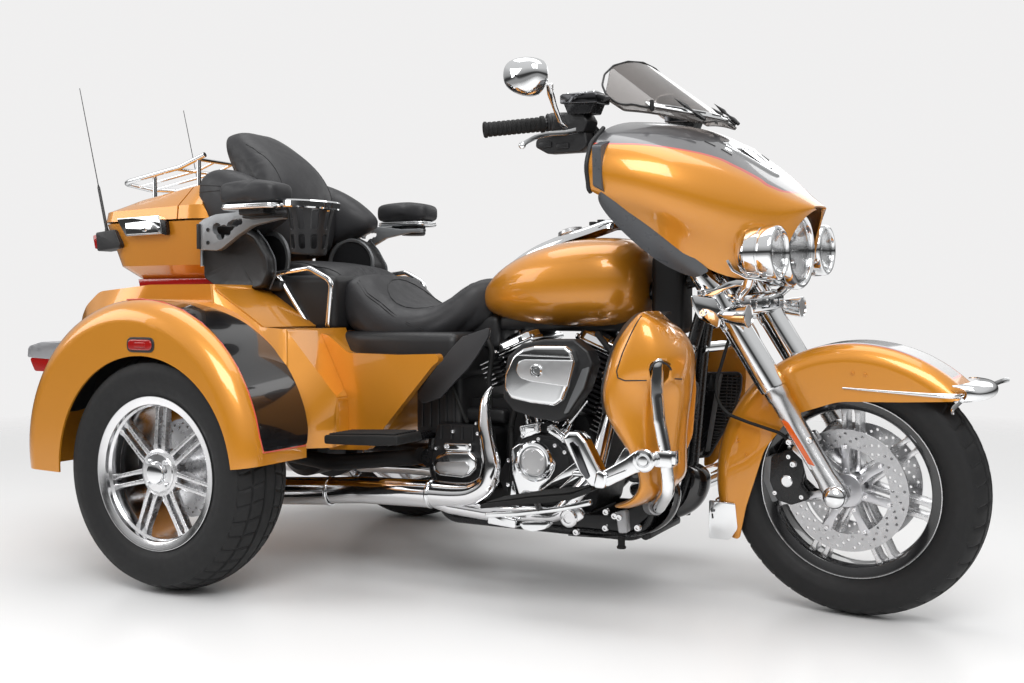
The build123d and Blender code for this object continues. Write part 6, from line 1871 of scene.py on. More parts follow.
def leg_pieces():
    rows = [leg_row(*row) for row in LEG_ROWS]
    top = [(1254 + (x - 1254) * 0.3, -330 + (y + 330) * 0.55, 752) for x, y, z in rows[-1]]
    body = shell("leg_body", rows + [top], (1260, -300, 520), 4, 2)
    tree = surface_of(body)
    hole = drawn("cutter", [(1292, 574), (1292, 640), (1332, 640), (1332, 574)], [4, 19, 19, 4], -480, -392, 0.01)
    cut(body, hole)
    seam = []
    for first, last, count in (((1262, 741), (1226, 656), 8), ((1226, 656), (1212, 614), 5),
        ((1212, 614), (1216, 598), 3), ((1216, 598), (1234, 592), 3), ((1234, 592), (1293, 594), 6)):
        for n in range(count):
            u = n / count
            seam.append((first[0] + (last[0] - first[0]) * u, first[1] + (last[1] - first[1]) * u))
    lines = [
        tube("cap_seam", [drape(tree, (x, -520, z), (0, 1, 0), 0.2) for x, z in seam], 1.5),
        tube("cap_seam", [drape(tree, (x, -520, z), (0, 1, 0), 0.2) for x, z in ((1333, 596), (1337, 595),
        (1341, 594))], 1.5),
    ]
    arch = []
    for n in range(25):
        turn = radians(12 + 156 * n / 24)
        arch.append((1312 - 19 * cos(turn), 612 + 25 * sin(turn)))
    lip = tube("hole_lip", [drape(tree, (x, -520, z), (0, 1, 0), 0.4) for x, z in arch], 2.2)
    inner = drawn("leg_inner", [
        (1214, 306), (1240, 316), (1296, 372), (1326, 450), (1334, 560), (1330, 622), (1300, 672), (1262, 702),
        (1236, 698), (1196, 640), (1168, 540), (1214, 400),
    ], [6, 20, 40, 60, 60, 40, 30, 14, 14, 60, 40, 30], -LEG_INNER_Y - 2, -LEG_INNER_Y + 4, 2)
    finish_piece(mirrored(joined("leg_fairings", [body, inner])), "amber_paint", "chassis",
        ("lower_fairings",))
    finish_piece(mirrored(joined("leg_seams", [*lines, lip])), "black_plastic", "chassis")
    # Black liner that shows behind the rear edge.
    liner = []
    for height, rear, _, out, _ in LEG_ROWS[8:]:
        liner.append([(rear + 8, -(out - 30), height), (rear - 4, -(out - 46), height),
            (rear - 22, -(out - 74), height), (rear - 28, -(out - 100), height), (rear - 20, -(out - 130), height),
            (rear + 30, -(out - 150), height)])
    liner.append([(x + 8, y, 748) for x, y, z in liner[-1]])
    finish_piece(mirrored(shell("leg_liners", liner, (1300, -300, 600), 4, 2)), "black_plastic", "chassis")
    radiator_pieces()


def radiator_pieces():
    opening = [(1213, 574), (1329, 579), (1326, 530), (1300, 450), (1237, 342), (1164, 328), (1160, 350), (1188, 477),
        (1200, 553)]
    corners = [16, 16, 30, 60, 12, 14, 10, 40, 20]
    core = drawn("radiator_core", opening, corners, -212, -192, 2)
    divider = drawn("radiator_divider", [(1226, 352), (1262, 576), (1276, 577), (1240, 356)], 2, -214, -188, 2)
    finish_piece(mirrored(core), "black_gloss_paint", "chassis", ("radiators",))
    finish_piece(mirrored(divider), "bracket_grey", "chassis")
    ring = [tuple(p) for p in rounded([Vector(p) for p in opening], corners)]
    trim = tube("radiator_trim", [(x, -191, z) for x, z in ring + ring[:2]], 3.4)
    bars = [tube("grille_bar", [(1243 + 0.155 * (z - 360), -190, z), (min(1236 + 0.62 * (z - 340), 1325), -190, z)],
        2.0, sides=2) for z in range(366, 574, 9)]
    bars += [tube("grille_post", [(1284 + n * 14, -189, 440 + 24 * n), (1290 + n * 14, -189, 574)], 1.4,
        sides=2) for n in range(3)]
    finish_piece(mirrored(joined("radiator_grilles", [trim, *bars])), "grey_black", "chassis")


def guard_tube_pieces():
    """Bright guard round each leg fairing, its clamps and the folding pegs on their arms."""
    hoop = tube("guard_tube", [
        (1262, -40, 652), (1290, -140, 655), (1298, -330, 662), (1303, -412, 652), (1303, -412, 560),
        (1310, -413, 500), (1323, -410, 430),
        (1330, -404, 340), (1276, -320, 284), (1200, -150, 250),
    ], 15.5, [60, 60, 34, 120, 120, 60, 40, 40], 8)
    finish_piece(mirrored(hoop), "chrome_plate", "chassis", ("engine_guard",))
    clamp = block("peg_clamp", (1304, -434, 396), (1347, -388, 434), 5, 3)
    lug = block("peg_clamp_lug", (1342, -430, 404), (1356, -396, 436), 3)
    knuckle = turned("peg_knuckle", [(0, 0), (25, 0), (27, 3), (27, 15), (24, 19), (17, 20), (15, 17), (13, 17),
        (11, 20), (0, 21)], at(1286, -434, 412), (0, -1, 0), 48)
    arm = drawn("peg_arm", [(1180, 346), (1196, 345), (1262, 380), (1300, 392), (1300, 432), (1262, 432), (1236, 412),
        (1178, 378)], [6, 10, 40, 8, 8, 16, 60, 6], -444, -424, 6, 4)
    strut = drawn("peg_strut", [(1196, 356), (1240, 382), (1244, 390), (1192, 366)], 3, -448, -442, 1.5)
    yoke = drawn("peg_yoke", [(1160, 340), (1190, 340), (1196, 376), (1170, 384)], 10, -452, -420, 5, 3)
    link = rod("peg_link", (1176, -416, 360), (1220, -360, 372), 9)
    wing = drawn("peg_wing", [(1190, 378), (1226, 436), (1240, 430), (1240, 396), (1222, 380)], [8, 12, 12, 12, 10],
        -414, -402, 3)
    finish_piece(mirrored(joined("peg_arms", [clamp, lug, knuckle, arm, strut, yoke, link, wing])), "chrome_plate",
        "chassis")
    peg = drawn("highway_peg", [(1080, 452), (1095, 467), (1122, 468), (1141, 448), (1182, 372), (1176, 344),
        (1154, 342), (1124, 372)], [10, 12, 12, 16, 14, 12, 10, 20], -450, -404, 10, 5)
    finish_piece(mirrored(peg), "chrome_plate", "chassis")
    inlay = drawn("peg_inlay", [(1100, 442), (1112, 447), (1124, 436), (1154, 366), (1146, 358), (1130, 376)], 5,
        -453, -449, 1.4)
    finish_piece(mirrored(inlay), "black_chrome", "chassis")
    # Joint at the foot of the guard, with the stop below it.
    sleeve = turned("guard_foot", [(0, 0), (20, 0), (23, 3), (23, 34), (20, 37), (0, 37)], at(1226, -196, 262),
        (-0.72, 0.64, -0.14), 40)
    ear = drawn("guard_ear", [(1140, 250), (1168, 256), (1172, 200), (1148, 196)], 8, -262, -236, 4)
    finish_piece(mirrored(joined("guard_feet", [sleeve, ear])), "cast_alloy", "chassis")
    post = turned("guard_stop", [(0, 0), (11, 0), (12, 4), (9, 8), (9, 30), (0, 30)], at(1152, -250, 158), (0, 0, 1),
        28)
    finish_piece(mirrored(post), "board_rubber", "chassis")
    finish_piece(mirrored(bolts("guard_bolts", [(1152, -262, 238), (1192, -240, 212), (1122, -220, 232)], 9, 7)),
        "polished_alloy", "chassis")


def chin_pieces():
    """Scooped black cover below the front of the cradle."""
    rows = []
    for y, pull in ((-142, 12), (-138, 3), (-124, 0), (-104, 4), (-92, 22), (-88, 44)):
        rows.append([(x - pull, y, z) for x, z in (
            (1222, 330), (1254, 318), (1266, 292), (1262, 258), (1242, 214), (1202, 182), (1150, 164), (1060, 153),
            (960, 150),
        )])
    cover = mirrored(shell("chin_cover_scoop", rows, (1120, -110, 300), 5, 2))
    finish_piece(cover, "black_gloss_paint", "chassis", ("chin_cover",))
    floor = block("cradle_floor", (940, -120, 158), (1180, 120, 176), 6, 3)
    lower = drawn("cradle_side", [(560, 176), (1130, 176), (1210, 250), (1180, 262), (1090, 214), (560, 200)],
        [8, 30, 20, 16, 40, 8], -140, -126, 4)
    finish_piece(joined("cradle_covers", [floor, mirrored(lower)]), "black_plastic", "chassis")
# --- seats, rests and the passenger's pods ----------------------------------------------------------------------
def oval(centre, u, v, power=0.62, count=20):
    """Ring of stations round a centre: a squared-off oval with half axes u and v."""
    ring = []
    for n in range(count):
        turn = 2 * pi * n / count
        a, b = cos(turn), sin(turn)
        a = (abs(a) ** power) * (1 if a >= 0 else -1)
        b = (abs(b) ** power) * (1 if b >= 0 else -1)
        ring.append(tuple(centre[k] + u[k] * a + v[k] * b for k in range(3)))
    return ring


def stuffed(obj, limit, voxel=6.0, rounds=6):
    """Remeshes a closed form, lets cloth under pressure swell it by no more than a limit, and fairs it."""
    remesh = obj.modifiers.new("Remesh", "REMESH")
    remesh.mode = "VOXEL"
    remesh.voxel_size = voxel * MM
    apply_all(obj)
    fair = obj.modifiers.new("Fair", "SMOOTH")
    fair.factor = 0.5
    fair.iterations = rounds
    apply_all(obj)
    start = [v.co.copy() for v in obj.data.vertices]
    cloth = obj.modifiers.new("Cloth", "CLOTH")
    cloth.settings.use_pressure = True
    cloth.settings.uniform_pressure_force = 4
    cloth.settings.effector_weights.gravity = 0
    cloth.point_cache.frame_start, cloth.point_cache.frame_end = 1, 20
    for frame_number in range(1, 21):
        bpy.context.scene.frame_set(frame_number)
    only(obj)
    bpy.ops.object.modifier_apply(modifier=cloth.name)
    bpy.context.scene.frame_set(1)
    for vertex, rest in zip(obj.data.vertices, start):
        move = vertex.co - rest
        if move.length > limit * MM:
            vertex.co = rest + move.normalized() * (limit * MM)
    fair = obj.modifiers.new("Fair", "SMOOTH")
    fair.factor = 0.5
    fair.iterations = 3
    apply_all(obj)
    smooth(obj, 80)
    return obj


def cushion(name, rings, limit, replaces=(), voxel=6.0, body="chassis"):
    form = skin(name, rings, 1, 0, closed=True, caps=True)
    stuffed(form, limit, voxel)
    finish_piece(form, "seat_vinyl", body, replaces)
    return form


def welt(form, stations, toward, radius=1.6, lift=0.4):
    """Seam laid on a cushion's surface along stations met from outside."""
    tree = surface_of(form)
    laid = [drape(tree, station, toward, lift) for station in stations]
    return tube("welt", [spot for spot, station in zip(laid, stations) if spot != station], radius, sides=3)


# columns: x, half width, lowest and highest level
SADDLE_RINGS = (
    (682, 46, 750, 838), (662, 66, 722, 850), (628, 92, 702, 848), (594, 118, 684, 824), (556, 144, 668, 778),
    (510, 170, 654, 754), (460, 190, 648, 748),
    (410, 200, 646, 758), (362, 203, 648, 790), (322, 202, 656, 836), (292, 199, 668, 868), (264, 194, 688, 866),
    (250, 184, 712, 840),
)
PASSENGER_RINGS = (
    (244, 158, 724, 836), (232, 182, 706, 862), (196, 188, 702, 876), (150, 189, 740, 884), (104, 188, 800, 890),
    (50, 184, 818, 896), (-10, 180, 822, 896),
    (-56, 172, 828, 884),
)


def seat_pieces():
    def level_ring(x, half, low, high):
        return oval((x, 0, (low + high) / 2), (0, half, 0), (0, 0, (high - low) / 2), 0.55, 24)
    saddle = cushion("saddle_cushion", [level_ring(*r) for r in SADDLE_RINGS], 8, ("rider_saddle",))
    rear = cushion("passenger_cushion", [level_ring(*r) for r in PASSENGER_RINGS], 8, ("passenger_seat",))
    seams = []
    line = [(292, 838), (330, 800), (372, 772), (420, 742), (470, 716), (508, 700), (530, 676), (540, 664)]
    for shift in (0, 6):
        seams.append(welt(saddle, [(x, -400, z - shift) for x, z in line], (0, 1, 0), 1.1))
    dish = []
    for n in range(25):
        turn = 2 * pi * n / 24
        dish.append((430 + 108 * cos(turn), 126 * sin(turn) * (1 - 0.18 * cos(turn)), 1100))
    seams.append(welt(saddle, dish, (0, 0, -1), 1.6))
    seams.append(welt(saddle, [(606, y, 1100) for y in range(-84, 85, 12)], (0, 0, -1), 1.3))
    seams.append(welt(rear, [(x, -150, 1100) for x in range(-40, 221, 20)], (0, 0, -1), 1.6))
    seams.append(welt(rear, [(x, -400, 836 - 0.0 * x) for x in range(-20, 231, 20)], (0, 1, 0), 1.6))
    finish_piece(mirrored(joined("seat_seams", seams)), "edge_rubber", "chassis")
    # columns: front and back (x, z) of the centre pad, half width
    rings = []
    for fx, fz, bx, bz, half in (
        (-20, 900, -150, 900, 176), (-8, 1000, -160, 985, 182), (2, 1092, -172, 1060, 176),
        (-16, 1152, -196, 1112, 164), (-58, 1206, -226, 1160, 150),
        (-108, 1250, -258, 1206, 136), (-152, 1284, -282, 1248, 122), (-192, 1308, -296, 1286, 102),
        (-222, 1322, -300, 1312, 72),
    ):
        rings.append(oval(((fx + bx) / 2, 0, (fz + bz) / 2), (0, half, 0), ((fx - bx) / 2, 0, (fz - bz) / 2), 0.66,
            24))
    centre = cushion("backrest_cushion", rings, 10, ("backrest",))
    rings = []
    for x, low, high, middle, half in (
        (-252, 1052, 1150, -190, 52), (-224, 1030, 1176, -200, 62), (-170, 985, 1186, -206, 66),
        (-110, 950, 1170, -210, 66), (-50, 962, 1146, -214, 62),
        (6, 985, 1116, -220, 54), (46, 1004, 1084, -226, 44), (72, 1014, 1060, -230, 32), (82, 1022, 1046, -232, 18),
    ):
        rings.append(oval((x, middle, (low + high) / 2), (0, half, 0), (0, 0, (high - low) / 2), 0.7, 20))
    wing = skin("backrest_wing", rings, 1, 0, closed=True, caps=True)
    stuffed(wing, 8)
    wings = mirrored(wing)
    finish_piece(wings, "seat_vinyl", "chassis")
    lines = [
        welt(centre, [(400, -118 + 6 * sin(z / 60), z) for z in range(1100, 1301, 14)], (-1, 0, 0), 1.5),
        welt(wings, [(x, -500, 1108 + 0.0 * x) for x in range(-230, 20, 18)], (0, 1, 0), 1.4),
        welt(wings, [(x, -500, 1128 - 0.10 * (x + 200)) for x in range(-236, -20, 18)], (0, 1, 0), 1.4),
    ]
    finish_piece(mirrored(joined("backrest_seams", lines)), "edge_rubber", "chassis")


LOBES = ((-60, 1000, 17), (-34, 996, 15), (-8, 1006, 14), (14, 1014, 11), (-46, 982, 16), (-20, 990, 13),
    (28, 1017, 9), (2, 1012, 12))


def rest_pieces():
    """Armrests with their pads, pierced brackets and cup baskets."""
    pads = []
    rings = []
    for x, half, low, high in ((4, 34, 1060, 1096), (12, 48, 1050, 1106), (40, 56, 1046, 1112), (106, 58, 1045, 1112),
        (172, 57, 1046, 1109), (198, 48, 1050, 1102), (206, 34, 1060, 1092)):
        rings.append(oval((x, -387, (low + high) / 2), (0, half, 0), (0, 0, (high - low) / 2), 0.42, 24))
    pad = skin("armrest_pad", rings, 1, 0, closed=True, caps=True)
    stuffed(pad, 5, 5, 3)
    pads = mirrored(pad)
    finish_piece(pads, "seat_vinyl", "chassis", ("armrests",))
    ring = [(10, -438), (10, -336), (200, -336), (200, -438)]
    base = drawn("pad_base", ring, 34, 1032, 1047, 3, 4, "XY")
    bead = drawn("pad_bead", [(8, -440), (8, -334), (202, -334), (202, -440)], 36, 1035, 1040, 1.5, 3, "XY")
    finish_piece(mirrored(joined("pad_bases", [base, bead])), "chrome_plate", "chassis")
    bracket = drawn("rest_bracket", [
        (-150, 928), (-150, 1006), (-128, 1018), (-84, 1030), (0, 1034), (56, 1028), (120, 1020), (196, 1020),
        (196, 1008), (150, 1008), (54, 992),
        (0, 966), (-60, 930), (-80, 924),
    ], [8, 12, 20, 30, 40, 40, 40, 3, 3, 20, 40, 60, 16, 10], -346, -326, 3)
    for x, z, radius in LOBES:
        drill_out(bracket, (x - 18, -380, z - 12), (x - 18, -300, z - 12), radius, 32)
    smooth(bracket, 22)
    finish_piece(mirrored(bracket), "rest_grey", "chassis")
    neck = [
        block("pad_neck", (60, -410, 1018), (150, -356, 1034), 4),
        block("pad_arm", (40, -372, 1012), (190, -330, 1022), 3),
        drawn("rest_cap", [(-152, 930), (-152, 1004), (-140, 1004), (-140, 930)], 3, -352, -340, 2),
    ]
    boss = turned("rest_boss", [(0, 0), (38, 0), (42, 5), (42, 30), (0, 30)], at(128, 387, 1002), (0, 0, 1), 48)
    finish_piece(joined("rest_necks", [mirrored(joined("rest_neck", neck)), boss]), "black_plastic", "chassis")
    spots = [(-112, -346, 948), (-112, -346, 986)]
    finish_piece(mirrored(bolts("rest_bolts", spots, 6, 3)), "black_steel", "chassis")
    cup_pieces()


def cup_pieces():
    foot = at(266, -360, 905)
    basket = turned("cup_basket", [(0, 0), (46, 0), (49, 4), (52, 30), (54, 64), (62, 110), (72, 140), (68, 141),
        (58, 112), (50, 66), (48, 32), (45, 8), (0, 8)], foot, (0.06, 0, 1), 64)
    slots = []
    for low, high, wide, shift in ((14, 54, 19, 0.0), (66, 128, 20, 0.0)):
        for n in range(10):
            slot = block("cutter", (0, 0, 0), (100, wide, high - low), 6, 3)
            centre = at(0, wide / 2, 0)
            slot.data.transform(Matrix.Translation(at(266, -360,
                905 + low)) @ Matrix.Rotation(2 * pi * n / 10 + shift, 4, "Z") @ Matrix.Translation(-centre))
            slots.append(slot)
    cut(basket, joined("cutter", slots))
    smooth(basket, 40)
    finish_piece(basket, "black_plastic", "chassis")
    rim = turned("cup_rim", [(70, 124), (79, 125), (82, 129), (82, 143), (79, 147), (71, 148), (68, 144), (68, 127)],
        foot, (0.06, 0, 1), 72)
    finish_piece(rim, "chrome_plate", "chassis")
    tie = block("cup_tie", (186, -376, 1008), (206, -330, 1020), 3)
    finish_piece(tie, "black_plastic", "chassis")


POD_LINE = [(-168, 846), (-168, 990), (-120, 1002), (-50, 1002), (30, 966), (80, 900), (84, 856), (60, 818),
    (30, 812), (-110, 812)]


def pod_pieces():
    """Speaker pods with their round grilles, and the whip antennas behind the top box."""
    ring = [tuple(p) for p in rounded([Vector(p) for p in POD_LINE], [16, 16, 40, 60, 60, 40, 30, 26, 30, 40])]
    rows = []
    for y, inset, pull in ((-300, 0.9, 0), (-313, 0.93, 0), (-306, 0.985, 0), (-290, 1.0, 0), (-262, 1.0, 14),
        (-236, 0.985, 30), (-206, 0.95, 52)):
        rows.append([(-40 + (x + 40) * inset - (pull if x > -20 else 0) * min(1, (x + 20) / 60), y,
            905 + (z - 905) * inset) for x, z in ring])
    pod = skin("speaker_pod", rows, 1, 0, closed=True, caps=True)
    seam = tube("pod_seam", [(x, -284, z) for x, z in ((22, 983), (56, 948), (86, 900), (89, 856), (66, 812))], 2.4,
        [60, 60, 40])
    lip = drawn("pod_lip", [(-172, 880), (-172, 1012), (-164, 1012), (-160, 880)], 3, -316, -300, 2)
    finish_piece(mirrored(pod), "black_plastic", "chassis", ("speaker_pods",))
    finish_piece(mirrored(seam), "grey_plastic", "chassis")
    finish_piece(mirrored(lip), "chrome_plate", "chassis")
    face = at(2, -207, 902)
    trim = turned("pod_grille_ring", [(70, 0), (82, 0), (84, 3), (84, 8), (80, 11), (73, 9), (70, 4)], face,
        (0.18, 1, 0), 64)
    cloth = turned("pod_grille", [(0, 0), (72, 0), (72, 3), (40, 6), (0, 7)], face, (0.18, 1, 0), 56)
    finish_piece(mirrored(trim), "bracket_grey", "chassis")
    finish_piece(mirrored(cloth), "speaker_cloth", "chassis")
    mast = turned("antenna", [(0, 0), (6.5, 0), (6.5, 10), (5, 14), (4.4, 150), (3, 156), (1.6, 162), (1.2, 488),
        (0, 490)], at(-646, -234, 1000), Vector((-119, 0, 476)), 16)
    foot = turned("antenna_foot", [(0, 0), (12, 0), (12, 14), (8, 20), (0, 20)], at(-646, -234, 984), (0, 0, 1), 24)
    arm = block("antenna_arm", (-660, -248, 984), (-618, -220, 998), 4)
    finish_piece(mirrored(joined("antennas", [mast, foot, arm])), "black_steel", "chassis")


def rail_pieces():
    rail = tube("grab_rail", [(70, -246, 842), (49, -252, 856), (185, -254, 872), (262, -250, 834), (240, -240, 704)],
        8, [10, 40, 30], 8)
    stay = tube("grab_stay", [(66, -246, 850), (172, -242, 708)], 6.5, (), 8)
    finish_piece(mirrored(joined("grab_rails_bright", [rail, stay])), "chrome_plate", "chassis",
        ("grab_rails",))


# --- rear body ----------------------------------------------------------------------------------------------------
CREST = (-72, 370, 412.0)
# columns: angle on the fender's crest, inner and outer edge of the dark panel
BAND = (
    (3.5, 466, 640), (9, 455, 646), (16, 453, 647), (25, 456, 647), (35, 460, 646), (46, 472, 646), (58, 490, 646),
    (68, 520, 646), (78, 548, 648), (88, 584, 652), (95, 622, 658),
)


def band_pieces():
    """Gloss black panel on the inner part of each rear fender's crest, with a thin red line round it."""
    def spot(angle, y, lift):
        turn = radians(angle)
        return (CREST[0] + (CREST[2] + lift) * cos(turn), -y, CREST[1] + (CREST[2] + lift) * sin(turn))
    rows = []
    for n in range(len(BAND) - 1):
        for u in (0, 0.25, 0.5, 0.75):
            a, inner, outer = (BAND[n][k] + (BAND[n + 1][k] - BAND[n][k]) * u for k in range(3))
            rows.append([spot(a, inner + (outer - inner) * w / 6, 0.9) for w in range(7)])
    rows.append([spot(BAND[-1][0], BAND[-1][1] + (BAND[-1][2] - BAND[-1][1]) * w / 6, 0.9) for w in range(7)])
    panel = shell("fender_panel", rows, (-72, -550, 370), 2.0, 1)
    finish_piece(mirrored(panel), "black_gloss_paint", "chassis")
    edge = [spot(BAND[0][0] - 0.3, y, 0.6) for y in range(470, 641, 10)]
    edge += [spot(BAND[n][0], BAND[n][2] + 2.5, 0.2) for n in range(1, len(BAND))]
    finish_piece(mirrored(tube("fender_pinstripe", edge, 1.7, sides=3)), "pinstripe_red", "chassis")


def body_pieces():
    """Boot body with its front shoulders cut back to the black seat base, and dark liners in the fenders."""
    body = cad_copy("trunk_body_skin", "trunk_body")
    wedge = plate("cutter", [(20, 808), (188, 706), (420, 690), (420, 900), (20, 900)], -480, 480, "XZ", 0)
    cut(body, wedge)
    slope = plate("body_slope", [(8, 812), (20, 813), (196, 706), (190, 699)], -462, 462, "XZ", 1.5)
    finish_piece(joined("trunk_body_skin", [body, slope]), "amber_paint", "chassis", ("trunk_body",))
    base = [
        block("seat_side", (-40, -238, 690), (262, 238, 852), 22, 4),
        block("saddle_base", (240, -214, 560), (650, 214, 690), 26, 4),
        block("seat_foot", (-60, -262, 806), (90, 262, 838), 12, 3),
    ]
    finish_piece(joined("seat_base", base), "black_plastic", "chassis")
    rows = []
    for angle in range(6, 172, 6):
        turn = radians(angle)
        rows.append([(CREST[0] + 402 * cos(turn), -y, CREST[1] + 402 * sin(turn)) for y in (474, 560, 640, 672)])
    liner = skin("fender_liner", rows, 1, 2)
    outer = [(CREST[0] + 400 * cos(radians(a)), CREST[1] + 400 * sin(radians(a))) for a in range(-2, 178, 6)]
    wall = plate("fender_wall", outer + [(-468, 318), (-300, 318), (-300, 440), (-120, 560), (60, 560), (250, 440),
        (250, 356)], -478, -473, "XZ", 0)
    finish_piece(mirrored(joined("fender_liners", [liner, wall])), "black_plastic", "chassis")


def rear_lamp_pieces():
    bezel = drawn("marker_bezel", [(-62, 642), (-62, 682), (36, 682), (36, 642)], 19.5, -708, -700, 3, 4)
    finish_piece(mirrored(bezel), "black_plastic", "chassis", ("rear_lamps",))
    lens_piece = drawn("marker_lens", [(-55, 648), (-55, 676), (29, 676), (29, 648)], 13.5, -711, -704, 3, 4)
    inner = drawn("marker_core", [(-30, 655), (-30, 669), (10, 669), (10, 655)], 6, -713, -709, 1.5)
    finish_piece(mirrored(joined("marker_lenses", [lens_piece, inner])), "red_lens", "chassis")
    strip = drawn("strip_lamp", [(-506, 818), (-514, 848), (-170, 848), (-170, 818)], 3, -232, 232, 3)
    tail = drawn("tail_lens", [(-556, 614), (-532, 574), (-420, 574), (-400, 610)], [10, 12, 6, 6], -612, -500, 8, 4)
    housing = drawn("tail_housing", [(-556, 646), (-560, 614), (-400, 608), (-380, 660), (-500, 660)],
        [18, 6, 4, 4, 20], -614, -498, 8, 4)
    finish_piece(joined("rear_lenses", [strip, mirrored(tail)]), "red_lens", "chassis")
    finish_piece(mirrored(housing), "silver_paint", "chassis")
    shade = drawn("corner_lamp_case", [(-626, 936), (-632, 996), (-548, 1004), (-520, 946)], [8, 6, 12, 12], -296,
        -240, 7, 3)
    lens_corner = drawn("corner_lamp", [(-640, 944), (-650, 988), (-610, 992), (-586, 950)], [6, 6, 4, 6], -290, -210,
        6, 3)
    finish_piece(mirrored(shade), "black_plastic", "chassis")
    finish_piece(mirrored(lens_corner), "red_lens", "chassis")


def box_pieces():
    """Latch of the top box with its lever, key and end piece."""
    plate_piece = drawn("latch_plate", [(-532, 1036), (-352, 1040), (-340, 984), (-492, 980)], [3, 3, 3, 14], -301,
        -284, 3, 3)
    lever = drawn("latch_lever", [(-490, 1020), (-386, 1025), (-352, 1004), (-352, 986), (-486, 984)],
        [2, 3, 6, 2, 4], -306, -299, 2, 3)
    key = turned("latch_key", [(0, 0), (9, 0), (9, 3), (6, 4), (0, 4)], at(-408, -306, 1000), (0, -1, 0), 28)
    finish_piece(joined("box_latch", [plate_piece, lever, key]), "chrome_plate", "chassis")
    foot = drawn("latch_end", [(-350, 1030), (-326, 1022), (-322, 978), (-346, 984)], 4, -300, -284, 3)
    finish_piece(foot, "black_steel", "chassis")


def rack_pieces():
    front_x = LID_RACK_FRONT
    loop = tube("rack_loop", [(front_x, -150, 1240), (-400, -160, 1205), (-640, -170, 1165), (-690, 0, 1160),
        (-640, 170, 1165), (-400, 160, 1205), (front_x, 150, 1240)], 8, [90, 50, 70, 50, 90], 8)
    bars = [tube("rack_bar", [(-330, y, 1226), (-400, y, 1203), (-672, y, 1160)], 5, [60]) for y in (-80, 0, 80)]
    bars += [rod("rack_cross", (x, -155, z), (x, 155, z), 6) for x, z in ((-330, 1227), (-420, 1201))]
    posts = [rod("rack_post", (x, y, low), (x, y, high), 7) for x, low, high in ((-330, 1112, 1226),
        (-520, 1088, 1184)) for y in (-150, 150)]
    feet = [turned("rack_foot", [(0, 0), (14, 0), (13, 4), (9, 8), (0, 8)], at(x, y, z), (0, 0, 1),
        28) for x, z in ((-330, 1124), (-520, 1096)) for y in (-150, 150)]
    finish_piece(joined("lid_rack_bright", [loop, *bars, *posts, *feet]), "chrome_plate", "top_box_lid",
        ("lid_rack",))


LID_RACK_FRONT = -304


def tank_pieces():
    """Smooth teardrop tank with its bright console."""
    rings = []
    for x, half, low, high in (
        (640, 40, 762, 806), (656, 66, 744, 830), (700, 104, 728, 868), (760, 136, 716, 902), (830, 158, 708, 926),
        (900, 169, 704, 942),
        (970, 174, 704, 950), (1040, 171, 706, 950), (1090, 158, 716, 944), (1122, 136, 736, 928),
        (1140, 100, 766, 902),
    ):
        centre = (low + high) / 2
        rings.append(oval((x, 0, centre), (0, half, 0), (0, 0, (high - low) / 2), 0.78, 28))
    tank = skin("tank_shell", rings, 2, 0, closed=True, caps=True)
    finish_piece(tank, "amber_paint", "chassis", ("fuel_tank",))
    rows = []
    for x, half, z in ((690, 16, 868), (740, 30, 904), (800, 40, 934), (870, 46, 958), (940, 48, 976), (990, 48, 990),
        (1024, 44, 1002), (1040, 38, 994)):
        rows.append([(x, -half, z - 26), (x, -half + 4, z - 6), (x, -half * 0.6, z), (x, 0, z + 2),
            (x, half * 0.6, z), (x, half - 4, z - 6), (x, half, z - 26)])
    console = shell("console_strip", rows, (860, 0, 880), 3, 2)
    finish_piece(console, "chrome_plate", "chassis", ("tank_console",))
    cap = turned("filler_cap", [(0, 0), (36, 0), (38, 4), (36, 12), (26, 16), (0, 17)], at(900, 0, 962),
        (-0.25, 0, 1), 56)
    finish_piece(cap, "satin_alloy", "chassis")
    dials = [block("console_switch", (960 + 24 * n, -20, 984 + 5 * n), (978 + 24 * n, 20, 994 + 5 * n),
        2) for n in range(2)]
    neck = block("steering_cover", (1150, -50, 690), (1238, 50, 900), 18, 4)
    finish_piece(joined("console_switches", dials), "black_plastic", "chassis")
    finish_piece(neck, "black_plastic", "chassis")
class TRIKE_OT_stage(bpy.types.Operator):
    """Studio floor, backdrop, soft lights and camera"""

    bl_idname = "trike.stage"
    bl_label = "Stage"

    def execute(self, context):
        make_stage(context)
        return {"FINISHED"}


class TRIKE_OT_finishes(bpy.types.Operator):
    """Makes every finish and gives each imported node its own"""

    bl_idname = "trike.finishes"
    bl_label = "Finishes"

    def execute(self, context):
        make_finishes(context.scene.trike_colours)
        for node, finish in CAD_FINISH.items():
            mesh = NODES[node].data
            mesh.materials.clear()
            mesh.materials.append(bpy.data.materials[finish])
        return {"FINISHED"}



class TRIKE_OT_wheels(bpy.types.Operator):
    """Tyres with their tread, cast wheels, discs and bolts"""

    bl_idname = "trike.wheels"
    bl_label = "Wheels"

    def execute(self, context):
        front_wheel_pieces()
        rear_wheel_pieces()
        return {"FINISHED"}


class TRIKE_OT_fairing(bpy.types.Operator):
    """Fork fairing with its vent and edge, the screen and the dashboard cheeks"""

    bl_idname = "trike.fairing"
    bl_label = "Fairing and screen"

    def execute(self, context):
        fairing_pieces()
        screen_pieces()
        dash_pieces()
        return {"FINISHED"}


class TRIKE_OT_fork(bpy.types.Operator):
    """Fork legs, calipers, brake pipe and the front fender's bright trim"""

    bl_idname = "trike.fork"
    bl_label = "Fork and front fender"

    def execute(self, context):
        fork_pieces()
        caliper_pieces()
        fender_pieces()
        return {"FINISHED"}


